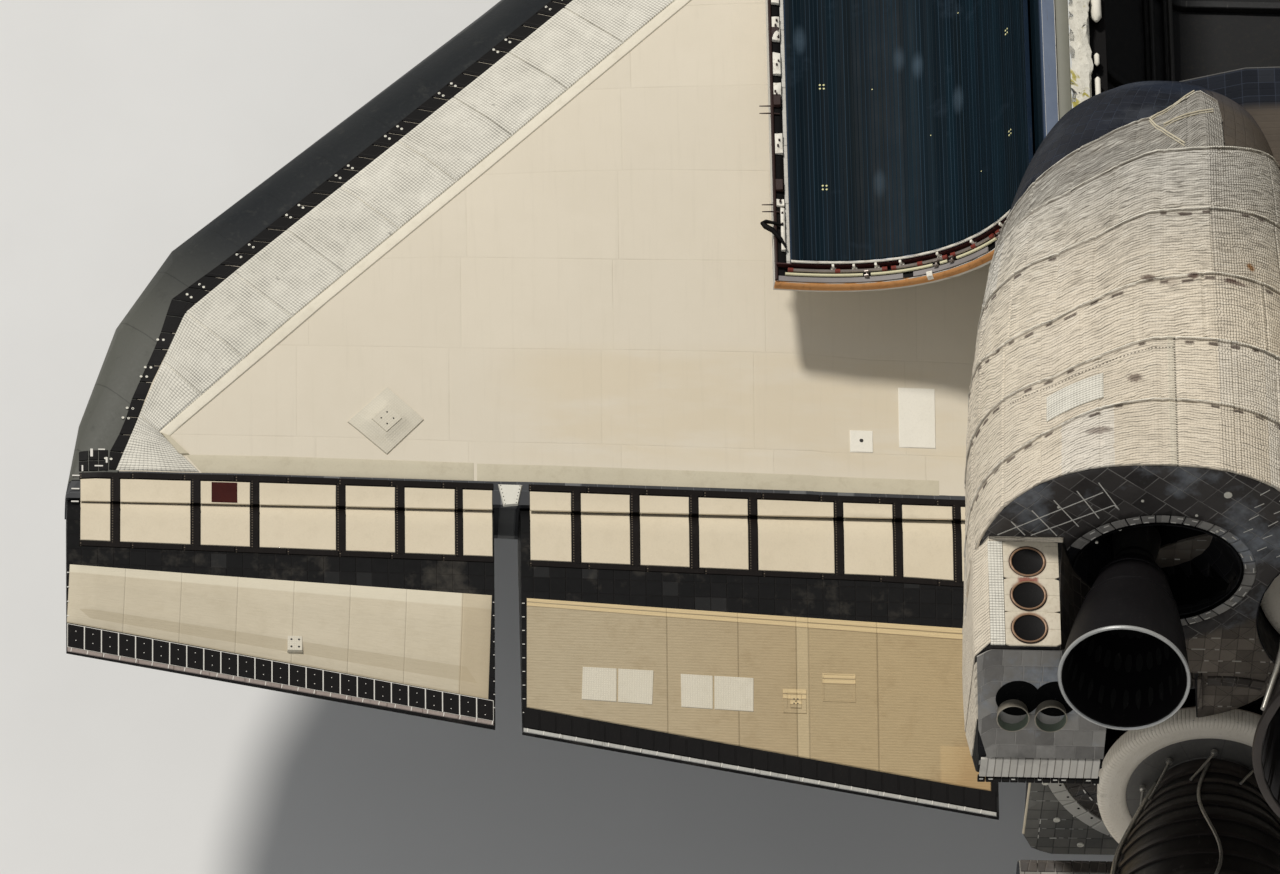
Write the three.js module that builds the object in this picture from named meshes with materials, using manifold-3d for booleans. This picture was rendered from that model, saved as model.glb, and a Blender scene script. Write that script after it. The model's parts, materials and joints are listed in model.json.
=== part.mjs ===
// Winged space shuttle orbiter parked on its landing gear, payload bay doors open.
// Stations are in inches on the vehicle's own datum: x grows aft, y grows to port, z grows up.
// The solids come out in millimetres with +X forward, +Y to port, +Z up, on the floor at z = 0.
import * as THREE from "three";
import { mergeVertices } from "three/addons/utils/BufferGeometryUtils.js";
import Module from "manifold-3d";

const wasm = await Module();
wasm.setup();
const { Manifold, Mesh } = wasm;

// ---------------------------------------------------------------- driving dimensions
const INCH = 25.4;
const PARK_PITCH = 3.6; // degrees nose down when parked
const REF_X = 1172, REF_Z = 290; // main axle station and reference plane
const SHIFT_X = -5587.8, SHIFT_Z = 3073.5; // puts the bounding box centre and the floor at the origin
const FIT = 0.5; // clearance between panels that meet, inches
const BAY = { x0: 576.6, x1: 1306.4, sill: 414, halfIn: 90, floor: 306 };
const HINGE = { y: 101.2, z: 421, open: 175.5 };
const SKIN = 6; // shell thickness of the pressure and aft fuselage, inches
const ELEVON = { x: 1387, y0: 119, y1: 468, z0: 294, z1: 309, r0: 15.5, r1: 7, te0: 1503, te1: 1446.5 };
const FLAP = { x: 1532, z: 291, r: 9, half: 116, te: 1613 };
const WHEEL = { mainX: 1172, mainY: 136, mainR: 22.25, mainW: 16, mainGap: 15.5, noseX: 473, noseR: 16, noseW: 8.8, noseGap: 9.5 };
const ENGINE = { length: 168, exitR: 46.5, dome: 41 };

// ---------------------------------------------------------------- helpers
const P = (x, y, z) => [(REF_X - x) * INCH, y * INCH, (z - REF_Z) * INCH];

function manifoldFrom(verts, tris) {
  let vol = 0;
  const v = (i) => [verts[i * 3], verts[i * 3 + 1], verts[i * 3 + 2]];
  for (let i = 0; i < tris.length; i += 3) {
    const [a, b, c] = [v(tris[i]), v(tris[i + 1]), v(tris[i + 2])];
    vol += a[0] * (b[1] * c[2] - b[2] * c[1]) + a[1] * (b[2] * c[0] - b[0] * c[2]) + a[2] * (b[0] * c[1] - b[1] * c[0]);
  }
  const t = tris.slice();
  if (vol < 0) for (let i = 0; i < t.length; i += 3) [t[i + 1], t[i + 2]] = [t[i + 2], t[i + 1]];
  return new Manifold(new Mesh({ numProp: 3, vertProperties: new Float32Array(verts), triVerts: new Uint32Array(t) }));
}

// A loft through rings of station points [x, y, z], all with the same number of points, closed by a fan at each end.
function loft(rings) {
  const n = rings[0].length, verts = [], tris = [];
  rings.forEach((r) => r.forEach((p) => verts.push(...P(...p))));
  for (let k = 0; k < rings.length - 1; k++)
    for (let i = 0; i < n; i++) {
      const j = (i + 1) % n, a = k * n + i, b = k * n + j, c = (k + 1) * n + j, d = (k + 1) * n + i;
      tris.push(a, b, c, a, c, d);
    }
  [0, rings.length - 1].forEach((k, end) => {
    const m = [0, 1, 2].map((q) => rings[k].reduce((s, p) => s + p[q], 0) / n);
    const hub = verts.length / 3;
    verts.push(...P(...m));
    for (let i = 0; i < n; i++) {
      const a = k * n + i, b = k * n + ((i + 1) % n);
      end ? tris.push(hub, a, b) : tris.push(hub, b, a);
    }
  });
  return manifoldFrom(verts, tris);
}

function solidOf(geometry) {
  const g = geometry.index ? geometry.toNonIndexed() : geometry.clone();
  const bare = new THREE.BufferGeometry().setAttribute("position", g.getAttribute("position"));
  const m = mergeVertices(bare, 1e-3);
  return manifoldFrom(Array.from(m.attributes.position.array), Array.from(m.index.array));
}

// A box between two station corners.
function box(x0, x1, y0, y1, z0, z1) {
  const g = new THREE.BoxGeometry((x1 - x0) * INCH, (y1 - y0) * INCH, (z1 - z0) * INCH);
  g.translate(...P((x0 + x1) / 2, (y0 + y1) / 2, (z0 + z1) / 2));
  return solidOf(g);
}

// A cone or cylinder from station point a to b with radii ra and rb in inches.
function rod(a, b, ra, rb = ra, sides = 16, turn = 0) {
  const A = new THREE.Vector3(...P(...a)), B = new THREE.Vector3(...P(...b));
  const g = new THREE.CylinderGeometry(rb * INCH, ra * INCH, A.distanceTo(B), sides);
  g.rotateY(turn);
  const q = new THREE.Quaternion().setFromUnitVectors(new THREE.Vector3(0, 1, 0), B.clone().sub(A).normalize());
  g.applyQuaternion(q);
  g.translate(...A.add(B).multiplyScalar(0.5).toArray());
  return solidOf(g);
}

// A turned solid: profile of [radius, along] in inches round the line from a towards unit direction dir (station axes).
function turned(profile, a, dir, sides, turn = 0) {
  const pts = profile.map(([r, s]) => new THREE.Vector2(r * INCH, s * INCH));
  const g = new THREE.LatheGeometry(pts, sides);
  g.rotateY(turn);
  const d = new THREE.Vector3(-dir[0], dir[1], dir[2]).normalize();
  g.applyQuaternion(new THREE.Quaternion().setFromUnitVectors(new THREE.Vector3(0, 1, 0), d));
  g.translate(...P(...a));
  return solidOf(g);
}

// A prism in plan: polygon of [x, y] stations between two heights.
function planPrism(poly, z0, z1) {
  const shape = new THREE.Shape(poly.map(([x, y]) => new THREE.Vector2((REF_X - x) * INCH, y * INCH)));
  const g = new THREE.ExtrudeGeometry(shape, { depth: (z1 - z0) * INCH, bevelEnabled: false });
  g.translate(0, 0, (z0 - REF_Z) * INCH);
  return solidOf(g);
}

// A prism along x: polygon of [y, z] stations between two stations.
function crossPrism(poly, x0, x1) {
  return loft([x0, x1].map((x) => poly.map(([y, z]) => [x, y, z])));
}

const mirror = (m) => m.mirror([0, 1, 0]);
const lerp = (a, b, t) => a + (b - a) * t;

function material(color, roughness, metalness = 0) {
  return new THREE.MeshStandardMaterial({ color, roughness, metalness });
}
const M = {
  blanket: material(0xd9d2c2, 0.9), tile: material(0x24262a, 0.75), carbon: material(0x4a4c4c, 0.5),
  radiator: material(0x18293a, 0.25, 0.4), liner: material(0xc9c7bd, 0.85), glass: material(0x15181c, 0.08),
  bell: material(0x1b1a1a, 0.45, 0.6), tyre: material(0x1c1c1c, 0.85), metal: material(0xa9adb0, 0.4, 0.8),
};

const body = new THREE.Group(); // the vehicle in its own axes
function put(name, solid, mat) {
  const m = solid.getMesh(), n = m.numProp, v = new Float32Array(m.numVert * 3);
  for (let i = 0; i < m.numVert; i++) v.set(m.vertProperties.subarray(i * n, i * n + 3), i * 3);
  const g = new THREE.BufferGeometry().setAttribute("position", new THREE.BufferAttribute(v, 3));
  g.setIndex(new THREE.BufferAttribute(new Uint32Array(m.triVerts), 1));
  const mesh = new THREE.Mesh(g, mat);
  mesh.name = name;
  body.add(mesh);
}
function putPair(name, solid, mat) {
  put(name + "_port", solid, mat);
  put(name + "_starboard", mirror(solid), mat);
}

// ---------------------------------------------------------------- fuselage
// Half width, bottom, shoulder, top, bottom corner radius and roundness (2 is an ellipse) at each station.
const FUSELAGE = [
  { x: 238, w: 5, zb: 331, zs: 337, zt: 342, rb: 4, n: 2 },
  { x: 243, w: 15, zb: 320, zs: 336, zt: 351, rb: 9, n: 2 },
  { x: 252, w: 25, zb: 311, zs: 335, zt: 362, rb: 12, n: 2 },
  { x: 266, w: 35, zb: 304, zs: 335, zt: 374, rb: 15, n: 2 },
  { x: 290, w: 49, zb: 296, zs: 337, zt: 389, rb: 17, n: 2 },
  { x: 330, w: 65, zb: 290, zs: 343, zt: 408, rb: 18, n: 2 },
  { x: 378, w: 80, zb: 286, zs: 350, zt: 427, rb: 17, n: 2 },
  { x: 416, w: 88, zb: 284, zs: 358, zt: 441, rb: 15, n: 2 },
  { x: 428, w: 90, zb: 284, zs: 362, zt: 454, rb: 14, n: 2 },
  { x: 458, w: 94, zb: 283, zs: 376, zt: 483, rb: 12, n: 2.1 },
  { x: 482, w: 97, zb: 283, zs: 388, zt: 495, rb: 11, n: 2.2 },
  { x: 516, w: 98.5, zb: 282, zs: 400, zt: 499, rb: 9, n: 2.4 },
  { x: 576, w: 100, zb: 281, zs: 410, zt: 500, rb: 6, n: 2.6 },
  { x: 1307, w: 100, zb: 280, zs: 410, zt: 500, rb: 6, n: 2.6 },
  { x: 1400, w: 104.5, zb: 281, zs: 408, zt: 500, rb: 8, n: 2.5 },
  { x: 1512, w: 113.6, zb: 283, zs: 404, zt: 499, rb: 12, n: 2.4 },
];
function fuselageRow(x) {
  let i = FUSELAGE.findIndex((r) => r.x >= x);
  if (i === 0) i = 1;
  if (i < 0) return { ...FUSELAGE[FUSELAGE.length - 1], x };
  const a = FUSELAGE[i - 1], b = FUSELAGE[i], t = (x - a.x) / (b.x - a.x);
  return Object.fromEntries(Object.keys(a).map((k) => [k, lerp(a[k], b[k], t)]));
}
const ARC = [8, 20, 36, 54, 72].map((d) => (d * Math.PI) / 180);
function fuselageRing(x, inset = 0) {
  const r = fuselageRow(x), w = r.w - inset, zb = r.zb + inset, zt = r.zt - inset, rb = r.rb;
  const half = [[w - rb, zb], [w - 0.3 * rb, zb + 0.3 * rb], [w, zb + rb], [w, r.zs],
    ...ARC.map((a) => [w * Math.cos(a) ** (2 / r.n), r.zs + (zt - r.zs) * Math.sin(a) ** (2 / r.n)])];
  const ring = [[0, zb], ...half, [0, zt], ...half.slice().reverse().map(([y, z]) => [-y, z])];
  return ring.map(([y, z]) => [x, y, z]);
}
function fuselage(x0, x1, inset = 0) {
  const xs = [x0, ...FUSELAGE.map((r) => r.x).filter((x) => x > x0 + 1 && x < x1 - 1), x1];
  return loft(xs.map((x) => fuselageRing(x, inset)));
}

// Nose gear well, shared by the forward fuselage and the nose gear.
const NOSE_WELL = box(404, 500, -23, 23, 270, 308);

put("nose_cap", fuselage(238, 265.7), M.carbon);
put("forward_rcs_module", fuselage(266, 377.7), M.blanket);

// Cabin shell: hollow, with windshield, overhead and bay windows, side hatch and nose gear well cut through.
// Window rows: centre of the pane x, y, z, yaw from the nose, pitch up, width, height, thickness of the cut.
const WINDOWS = [
  { x: 441, y: 15, z: 464, yaw: 6, w: 25, h: 24 },
  { x: 447, y: 44, z: 460, yaw: 34, w: 27, h: 25 },
  { x: 461, y: 68, z: 452, yaw: 62, w: 25, h: 24 },
];
function windowCut(row, side) {
  const g = new THREE.BoxGeometry(60 * INCH, row.w * INCH, row.h * INCH);
  g.rotateY((-28 * Math.PI) / 180);
  g.rotateZ((side * row.yaw * Math.PI) / 180);
  g.translate(...P(row.x, side * row.y, row.z));
  return solidOf(g);
}
const HATCH = { x: 505, z: 358, r: 20 };
let cabin = fuselage(378, 576).subtract(fuselage(392, 569, SKIN + 1).subtract(box(380, 580, -120, 120, 270, 312)));
for (const side of [1, -1]) for (const row of WINDOWS) cabin = cabin.subtract(windowCut(row, side));
cabin = cabin.subtract(box(498, 522, 7, 27, 480, 520)).subtract(box(498, 522, -27, -7, 480, 520));
cabin = cabin.subtract(box(560, 580, 10, 28, 455, 472)).subtract(box(560, 580, -28, -10, 455, 472));
cabin = cabin.subtract(rod([HATCH.x, 80, HATCH.z], [HATCH.x, 120, HATCH.z], HATCH.r + FIT, HATCH.r + FIT, 24));
cabin = cabin.subtract(NOSE_WELL);
put("forward_fuselage", cabin, M.blanket);
const hatchSlice = fuselage(440, 560).subtract(fuselage(439, 561, SKIN));
put("side_hatch", hatchSlice.intersect(rod([HATCH.x, 70, HATCH.z], [HATCH.x, 130, HATCH.z], HATCH.r, HATCH.r, 24)), M.tile);
const glassBand = fuselage(400, 500, SKIN + 1.2).subtract(fuselage(399, 501, SKIN + 2.6));
put("windshield_glass", glassBand.intersect(box(421, 488, -86, 86, 440, 492)), M.glass);

// Payload bay trough: outer shape up to the sill, open along its whole length, with sill rails.
const BAY_SECTION = [[-BAY.halfIn, 560], [-BAY.halfIn, 386], [-78, 338], [-46, BAY.floor], [46, BAY.floor], [78, 338], [BAY.halfIn, 386], [BAY.halfIn, 560]];
const bayVoid = crossPrism(BAY_SECTION, 560, 1320);
const GEAR_WELL = box(1098, 1206, 106, 158, 260, 318);
let mid = fuselage(BAY.x0, BAY.x1).subtract(bayVoid).subtract(box(560, 1320, -130, 130, BAY.sill, 520));
put("mid_fuselage", mid, M.liner);
putPair("sill_rail", box(BAY.x0 + 2, BAY.x1 - 2, 91, 97.5, BAY.sill + 0.1, BAY.sill + 6.4), M.metal);

// Aft fuselage shell, open behind, closed by the base heat shield.
const engines = [
  { name: "main_engine_top", a: [1445, 0, 443], pitch: 16, yaw: 0 },
  { name: "main_engine_port", a: [1468, 46, 342], pitch: 10, yaw: 3.5 },
  { name: "main_engine_starboard", a: [1468, -46, 342], pitch: 10, yaw: -3.5 },
];
const direction = (e) => {
  const p = (e.pitch * Math.PI) / 180, y = (e.yaw * Math.PI) / 180;
  return [Math.cos(p) * Math.cos(y), Math.cos(p) * Math.sin(y), Math.sin(p)];
};
const along = (e, s) => { const d = direction(e); return e.a.map((c, i) => c + d[i] * s); };
let aft = fuselage(1307, 1512).subtract(fuselage(1313, 1520, SKIN));
for (const e of engines) aft = aft.subtract(rod(along(e, 20), along(e, 120), 44, 44, 32));
put("aft_fuselage", aft, M.tile);
let shield = fuselage(1506, 1511.6, SKIN + 0.3);
for (const e of engines) shield = shield.subtract(rod(along(e, 20), along(e, 120), ENGINE.dome + FIT, ENGINE.dome + FIT, 32));
put("base_heat_shield", shield, M.tile);

// ---------------------------------------------------------------- wings
const hingeZ = (y) => lerp(ELEVON.z0, ELEVON.z1, (y - ELEVON.y0) / (ELEVON.y1 - ELEVON.y0));
const hingeR = (y) => lerp(ELEVON.r0, ELEVON.r1, (y - ELEVON.y0) / (ELEVON.y1 - ELEVON.y0));
const edgeX = (y) => lerp(ELEVON.te0, ELEVON.te1, (y - ELEVON.y0) / (ELEVON.y1 - ELEVON.y0));
// Upper heights at shares of the chord, then lower heights, for each spanwise section.
const UP_S = [0.006, 0.03, 0.1, 0.28, 0.52, 0.78], LOW_S = [0.6, 0.2, 0.05, 0.008];
const WING = [
  { y: 100.6, le: 560, zle: 299, up: [303, 308, 314, 327, 344, 338], low: [279, 280, 284, 294] },
  { y: 140, le: 738, zle: 299, up: [303, 308, 316, 332, 343, 334], low: [279, 280, 284, 294] },
  { y: 190, le: 1027, zle: 301, up: [308, 316, 326, 336, 337, 327], low: [281, 282, 287, 294] },
  { y: 310, le: 1147, zle: 301, up: [307, 313, 320, 327, 329, 322], low: [287, 288, 291, 296] },
  { y: 428, le: 1263, zle: 305.5, up: [309.5, 313.5, 317.5, 320.5, 321.5, 318.5], low: [296.5, 296.5, 298.5, 301.5] },
  { y: 449, le: 1300, zle: 307, up: [310, 313, 316, 318.5, 319, 317.3], low: [299, 299, 301, 304] },
  { y: 463, le: 1346, zle: 308.5, up: [310.3, 312, 313.8, 315.3, 316, 315.8], low: [302, 302.3, 304, 306.8] },
  { y: 468, le: 1378, zle: 309.2, up: [309.5, 310, 311, 312.5, 314, 315.3], low: [303.5, 306, 308, 308.9] },
];
function wingRing(s) {
  const r = hingeR(s.y), zh = hingeZ(s.y), xr = ELEVON.x - 0.66 * r, L = xr - s.le;
  return [[s.le, s.y, s.zle], ...UP_S.map((u, i) => [s.le + u * L, s.y, s.up[i]]), [xr, s.y, zh + r],
    [xr, s.y, zh - r], ...LOW_S.map((u, i) => [s.le + u * L, s.y, s.low[i]])];
}
const wingFull = loft(WING.map(wingRing));
const cove = rod([ELEVON.x, 100, hingeZ(100)], [ELEVON.x, 480, hingeZ(480)], hingeR(100) + FIT, hingeR(480) + FIT, 28);
// Plan outline of the carbon leading edge: the edge itself and its line 22 inches behind.
const EDGE_BACK = [[1003, 150], [1041.5, 173], [1275, 407.5], [1312, 430.5], [1352, 447], [1374, 449]];
const edgeRegion = planPrism([[960, 150], [930, 260], [1150, 520], [1374, 520], ...EDGE_BACK.slice().reverse()], 240, 360);
const edgeGap = planPrism([[960, 149.6], [929, 260], [1149, 521], [1374.4, 521], ...EDGE_BACK.slice().reverse().map(([x, y]) => [x + 0.4, y - 0.4])], 239, 361);
const wing = wingFull.subtract(cove).subtract(edgeGap).subtract(GEAR_WELL).subtract(fuselage(1290, 1512, -0.15));
putPair("wing", wing, M.blanket);
putPair("leading_edge", wingFull.subtract(cove).intersect(edgeRegion), M.carbon);

function elevon(y0, y1) {
  return loft([y0, y1].map((y) => {
    const r = hingeR(y), z = hingeZ(y), te = edgeX(y), zt = z - 0.2 * r;
    const nose = [90, 120, 150, 180, 210, 240, 270].map((d) => {
      const a = (d * Math.PI) / 180;
      return [ELEVON.x + r * Math.cos(a), y, z + r * Math.sin(a)];
    });
    return [...nose, [te, y, zt - 0.7], [te, y, zt + 0.7]];
  }));
}
putPair("elevon_inboard", elevon(122, 298.6), M.blanket);
putPair("elevon_outboard", elevon(308.6, 467.5), M.blanket);

// ---------------------------------------------------------------- body flap
put("body_flap", loft([-FLAP.half, FLAP.half].map((y) => [
  ...[90, 120, 150, 180, 210, 240, 270].map((d) => {
    const a = (d * Math.PI) / 180;
    return [FLAP.x + FLAP.r * Math.cos(a), y, FLAP.z + FLAP.r * Math.sin(a)];
  }), [FLAP.te, y, 286], [FLAP.te, y, 287.5]])), M.tile);

// ---------------------------------------------------------------- vertical tail
const RUD = { lean: 0.667, z0: 566, z1: 792 };
const rudX = (z) => 1483.5 + (z - 560) * RUD.lean;
const finR = (z) => lerp(13, 5.5, (z - 500) / 316);
const finTE = (z) => 1545.5 + (z - 500) * 0.4937;
const finLE = (z) => 1277 + (z - 500);
const norm = Math.hypot(RUD.lean, 1), HU = [RUD.lean / norm, 1 / norm], HV = [1 / norm, -RUD.lean / norm];
// Point in the hinge frame: foot on the hinge line at height z, v behind it, w to port.
const hingePoint = (z, v, w) => [rudX(z) + HV[0] * v, w, z + HV[1] * v];
const chordV = (z) => (finTE(z) - rudX(z)) / 1.106;
function finRing(z) {
  const le = finLE(z), te = finTE(z), r = finR(z), c = te - le, xr = rudX(z);
  const half = [[le, 1], [le + 0.06 * c, 0.36 * r], [le + 0.3 * c, 0.82 * r], [xr - 2 * r, r], [xr, r]];
  return [...half.map(([x, y]) => [x, y, z]), [te, 0.9, z], [te, -0.9, z], ...half.reverse().map(([x, y]) => [x, -y, z])];
}
const rudderBay = loft([RUD.z0 - 1.2, RUD.z1 + 1.2].map((z) => {
  const r = finR(z), v0 = -1.08 * r, v1 = 130;
  return [hingePoint(z, v0, 40), hingePoint(z, v0, -40), hingePoint(z, v1, -40), hingePoint(z, v1, 40)];
}));
// The chute housing at the foot of the trailing edge, blended into the fin.
const chuteRing = (x, w, z0, z1) => [[0.5, z1], [1, z1 - 4], [1, z0], [-1, z0], [-1, z1 - 4], [-0.5, z1]].map(([k, z]) => [x, k * w, z]);
const chute = loft([chuteRing(1420, 12, 501, 548), chuteRing(1470, 19, 501, 546), chuteRing(1540, 20, 501, 541), chuteRing(1556, 17, 506, 535)]);
const tailClear = fuselage(1260, 1512.4, -0.4);
const engineClear = rod(along(engines[0], 40), along(engines[0], 150), 41.8, 41.8, 32);
const fin = loft([503, 816].map(finRing)).add(chute).subtract(rudderBay).subtract(tailClear).subtract(engineClear);
put("vertical_fin", fin, M.blanket);
const TUBE = 0.8;
put("rudder_torque_tube", rod(hingePoint(RUD.z0 - 0.8, 0, 0), hingePoint(RUD.z1 + 0.8, 0, 0), finR(RUD.z0) * TUBE, finR(RUD.z1) * TUBE, 20), M.metal);
putPair("speedbrake_panel", loft([RUD.z0, RUD.z1].map((z) => {
  const r = finR(z), rt = r * TUBE + 0.35, c = chordV(z);
  const arc = [2, 20, 40, 60, 76].map((d) => (d * Math.PI) / 180);
  return [...arc.map((a) => hingePoint(z, rt * Math.cos(a) + 0.1, Math.max(0.3, rt * Math.sin(a)))), hingePoint(z, 0.22 * r, r), hingePoint(z, c, 0.9), hingePoint(z, c, 0.3)];
})), M.blanket);

// ---------------------------------------------------------------- orbital manoeuvring pods
// Centre, half width and half height of each section; the aft face leans back towards its foot.
const POD = [
  { x: 1309, yc: 70, zc: 460, hw: 26, hh: 30, lean: 0 },
  { x: 1330, yc: 73, zc: 466, hw: 41, hh: 46, lean: 0 },
  { x: 1365, yc: 77, zc: 472, hw: 51, hh: 59, lean: 0 },
  { x: 1410, yc: 81, zc: 476, hw: 58, hh: 66, lean: 0 },
  { x: 1460, yc: 82.5, zc: 478, hw: 62.5, hh: 68, lean: 0 },
  { x: 1531, yc: 83.2, zc: 478, hw: 64.2, hh: 67, lean: 0.14 },
];
function podRing(s) {
  const ring = [];
  for (let i = 0; i < 20; i++) {
    const a = (i * 18 * Math.PI) / 180, k = 2 / 2.5;
    const c = Math.cos(a), q = Math.sin(a);
    const y = s.hw * Math.sign(c) * Math.abs(c) ** k, z = s.hh * Math.sign(q) * Math.abs(q) ** k;
    ring.push([s.x - s.lean * z, s.yc + y, s.zc + z]);
  }
  return ring;
}
// Thruster housing behind the outer side of the pod: station, foot and head of its inboard side, outboard side, bottom, top.
const STING = [[1490, 92, 112, 145, 438, 506.5], [1545, 97, 117, 147.5, 438, 507], [1573, 98, 117.5, 147.5, 441, 506], [1590, 99, 116, 144, 447, 459]];
const stingRing = ([x, yb, yt, y1, z0, z1]) => [[yb + 4, z0], [y1 - 8, z0], [y1, lerp(z0, z1, 0.13)], [y1, lerp(z0, z1, 0.86)], [y1 - 5, z1],
  [yt, z1], [yt - 5, lerp(z1, z0, 0.22)], [yb, lerp(z1, z0, 0.55)]].map(([y, z]) => [x, y, z]);
const omsEngine = { a: [1512, 86.5, 488], pitch: 15.8, yaw: 6.5 };
// Opening round the nozzle, wider than it is high: station, centre y and z, half width, half height.
const OPENING = [[1500, 84, 486, 17, 17], [1527, 80, 490, 30, 24.5], [1562, 80, 495, 31, 25.5]];
const openingRing = ([x, yc, zc, a, b]) => Array.from({ length: 24 }, (_, i) => [x, yc + a * Math.cos((i * Math.PI) / 12), zc + b * Math.sin((i * Math.PI) / 12)]);
let pod = loft(POD.map(podRing)).subtract(loft(OPENING.map(openingRing))).add(loft(STING.map(stingRing)));
pod = pod.subtract(tailClear).subtract(engineClear).subtract(box(1200, 1700, -100, 18, 380, 600));
pod = pod.subtract(turned([[0, 0], [11, 0], [22, 36], [25.5, 80], [0, 80]], omsEngine.a, direction(omsEngine), 24));
pod = pod.subtract(box(1505, 1700, 60, 98, 380, 437));
putPair("oms_pod", pod.decompose().sort((a, b) => b.volume() - a.volume())[0], M.blanket);
const omsBell = [[0, 3], [9, 3], [7, 16], [12, 28], [16.6, 44], [20.2, 60], [23.5, 82.5], [22.5, 82.5], [19.2, 60], [15.6, 44], [10.5, 28], [5, 20], [0, 20]];
putPair("oms_nozzle", turned(omsBell, omsEngine.a, direction(omsEngine), 28), M.bell);

// ---------------------------------------------------------------- main engines
const bellProfile = [[0, 4], [14, 4], [16, 30], [ENGINE.dome - 9, 52], [ENGINE.dome, 62], [ENGINE.dome, 68], [18, 66],
  [25, 84], [33, 108], [40.3, 138], [ENGINE.exitR, ENGINE.length], [ENGINE.exitR - 1.6, ENGINE.length], [38.4, 138], [31, 108], [22.8, 84], [11, 62], [0, 58]];
for (const e of engines) put(e.name, turned(bellProfile, e.a, direction(e), 32), M.bell);

// ---------------------------------------------------------------- payload bay doors and radiators
// Built closed, then swung open about the hinge line.
function doorSection(inner, outer, from, to, steps, lap = 0) {
  const pts = (t) => {
    const line = Array.from({ length: steps + 1 }, (_, i) => {
      const a = (lerp(from, to, i / steps) * Math.PI) / 180;
      return [(100 - t) * Math.cos(a) ** (2 / 2.6), 410 + (90 - t) * Math.sin(a) ** (2 / 2.6)];
    });
    return lap ? [...line, [-lap, 500 - t]] : line;
  };
  return [...pts(outer), ...pts(inner).reverse()];
}
function quadLoft(poly, x0, x1) {
  const shape = new THREE.Shape(poly.map(([y, z]) => new THREE.Vector2(y * INCH, (z - REF_Z) * INCH)));
  const g = new THREE.ExtrudeGeometry(shape, { depth: (x1 - x0) * INCH, bevelEnabled: false });
  g.rotateX(Math.PI / 2).rotateZ(Math.PI / 2); // local x to y, local y to z, depth to x
  g.translate((REF_X - x1) * INCH, 0, 0);
  return solidOf(g);
}
function swing(solid) {
  const o = P(0, HINGE.y, HINGE.z);
  return solid.translate([0, -o[1], -o[2]]).rotate([-HINGE.open, 0, 0]).translate([0, o[1], o[2]]);
}
// The port door stops 3.2 inches short of the centreline and the starboard door laps over to meet it.
const door = (...top) => swing(quadLoft(doorSection(5, 0, 4, ...top), BAY.x0 + 1, BAY.x1 - 1));
put("payload_door_port", door(89.35, 13), M.blanket);
put("payload_door_starboard", mirror(door(89.93, 13, 2.75)), M.blanket);
const RADIATOR = { gap: 7, t: 1.6, from: 11, to: 87.35 };
for (const [name, x0, x1] of [["radiator_forward", 584, 938], ["radiator_aft", 942, 1298]])
  putPair(name, swing(quadLoft(doorSection(RADIATOR.gap + RADIATOR.t, RADIATOR.gap, RADIATOR.from, RADIATOR.to, 10), x0, x1)), M.radiator);

// ---------------------------------------------------------------- landing gear
const pitch = (PARK_PITCH * Math.PI) / 180;
const floorZ = (x) => REF_Z - SHIFT_Z / INCH / Math.cos(pitch) + (REF_X - x) * Math.tan(pitch); // station height of the floor under x
const axleZ = (x, r) => floorZ(x) + r / Math.cos(pitch);
const SIDES = 32, FLAT = Math.PI / SIDES; // half a facet, so that the wheel stands on a flat
function tyre(x, y, r, w) {
  const zc = axleZ(x, r);
  const prof = [[r * 0.52, -w * 0.36], [r * 0.86, -w * 0.5], [r, -w * 0.3], [r, w * 0.3], [r * 0.86, w * 0.5], [r * 0.52, w * 0.36], [r * 0.52, -w * 0.36]];
  const k = 1 / Math.cos(FLAT); // flats at the true radius
  return turned(prof.map(([a, b]) => [a * k, b]), [x, y, zc], [0, 1, 0], SIDES, FLAT - pitch);
}
function axle(x, y, r, w, gap) {
  const zc = axleZ(x, r), a = gap + w * 0.3, q = r * 0.5;
  return turned([[0, -a], [q, -a], [q, -a + w * 0.6], [r * 0.14, -a + w * 0.6], [r * 0.14, a - w * 0.6], [q, a - w * 0.6], [q, a], [0, a]], [x, y, zc], [0, 1, 0], 24);
}
const mz = axleZ(WHEEL.mainX, WHEEL.mainR), nz = axleZ(WHEEL.noseX, WHEEL.noseR);
for (const [side, s] of [["port", 1], ["starboard", -1]]) {
  const y = s * WHEEL.mainY;
  put("main_tyre_outboard_" + side, tyre(WHEEL.mainX, y + s * WHEEL.mainGap, WHEEL.mainR, WHEEL.mainW), M.tyre);
  put("main_tyre_inboard_" + side, tyre(WHEEL.mainX, y - s * WHEEL.mainGap, WHEEL.mainR, WHEEL.mainW), M.tyre);
  put("main_axle_" + side, axle(WHEEL.mainX, y, WHEEL.mainR, WHEEL.mainW, WHEEL.mainGap), M.metal);
}
put("nose_tyre_port", tyre(WHEEL.noseX, WHEEL.noseGap, WHEEL.noseR, WHEEL.noseW), M.tyre);
put("nose_tyre_starboard", tyre(WHEEL.noseX, -WHEEL.noseGap, WHEEL.noseR, WHEEL.noseW), M.tyre);
put("nose_axle", axle(WHEEL.noseX, 0, WHEEL.noseR, WHEEL.noseW, WHEEL.noseGap), M.metal);

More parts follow.
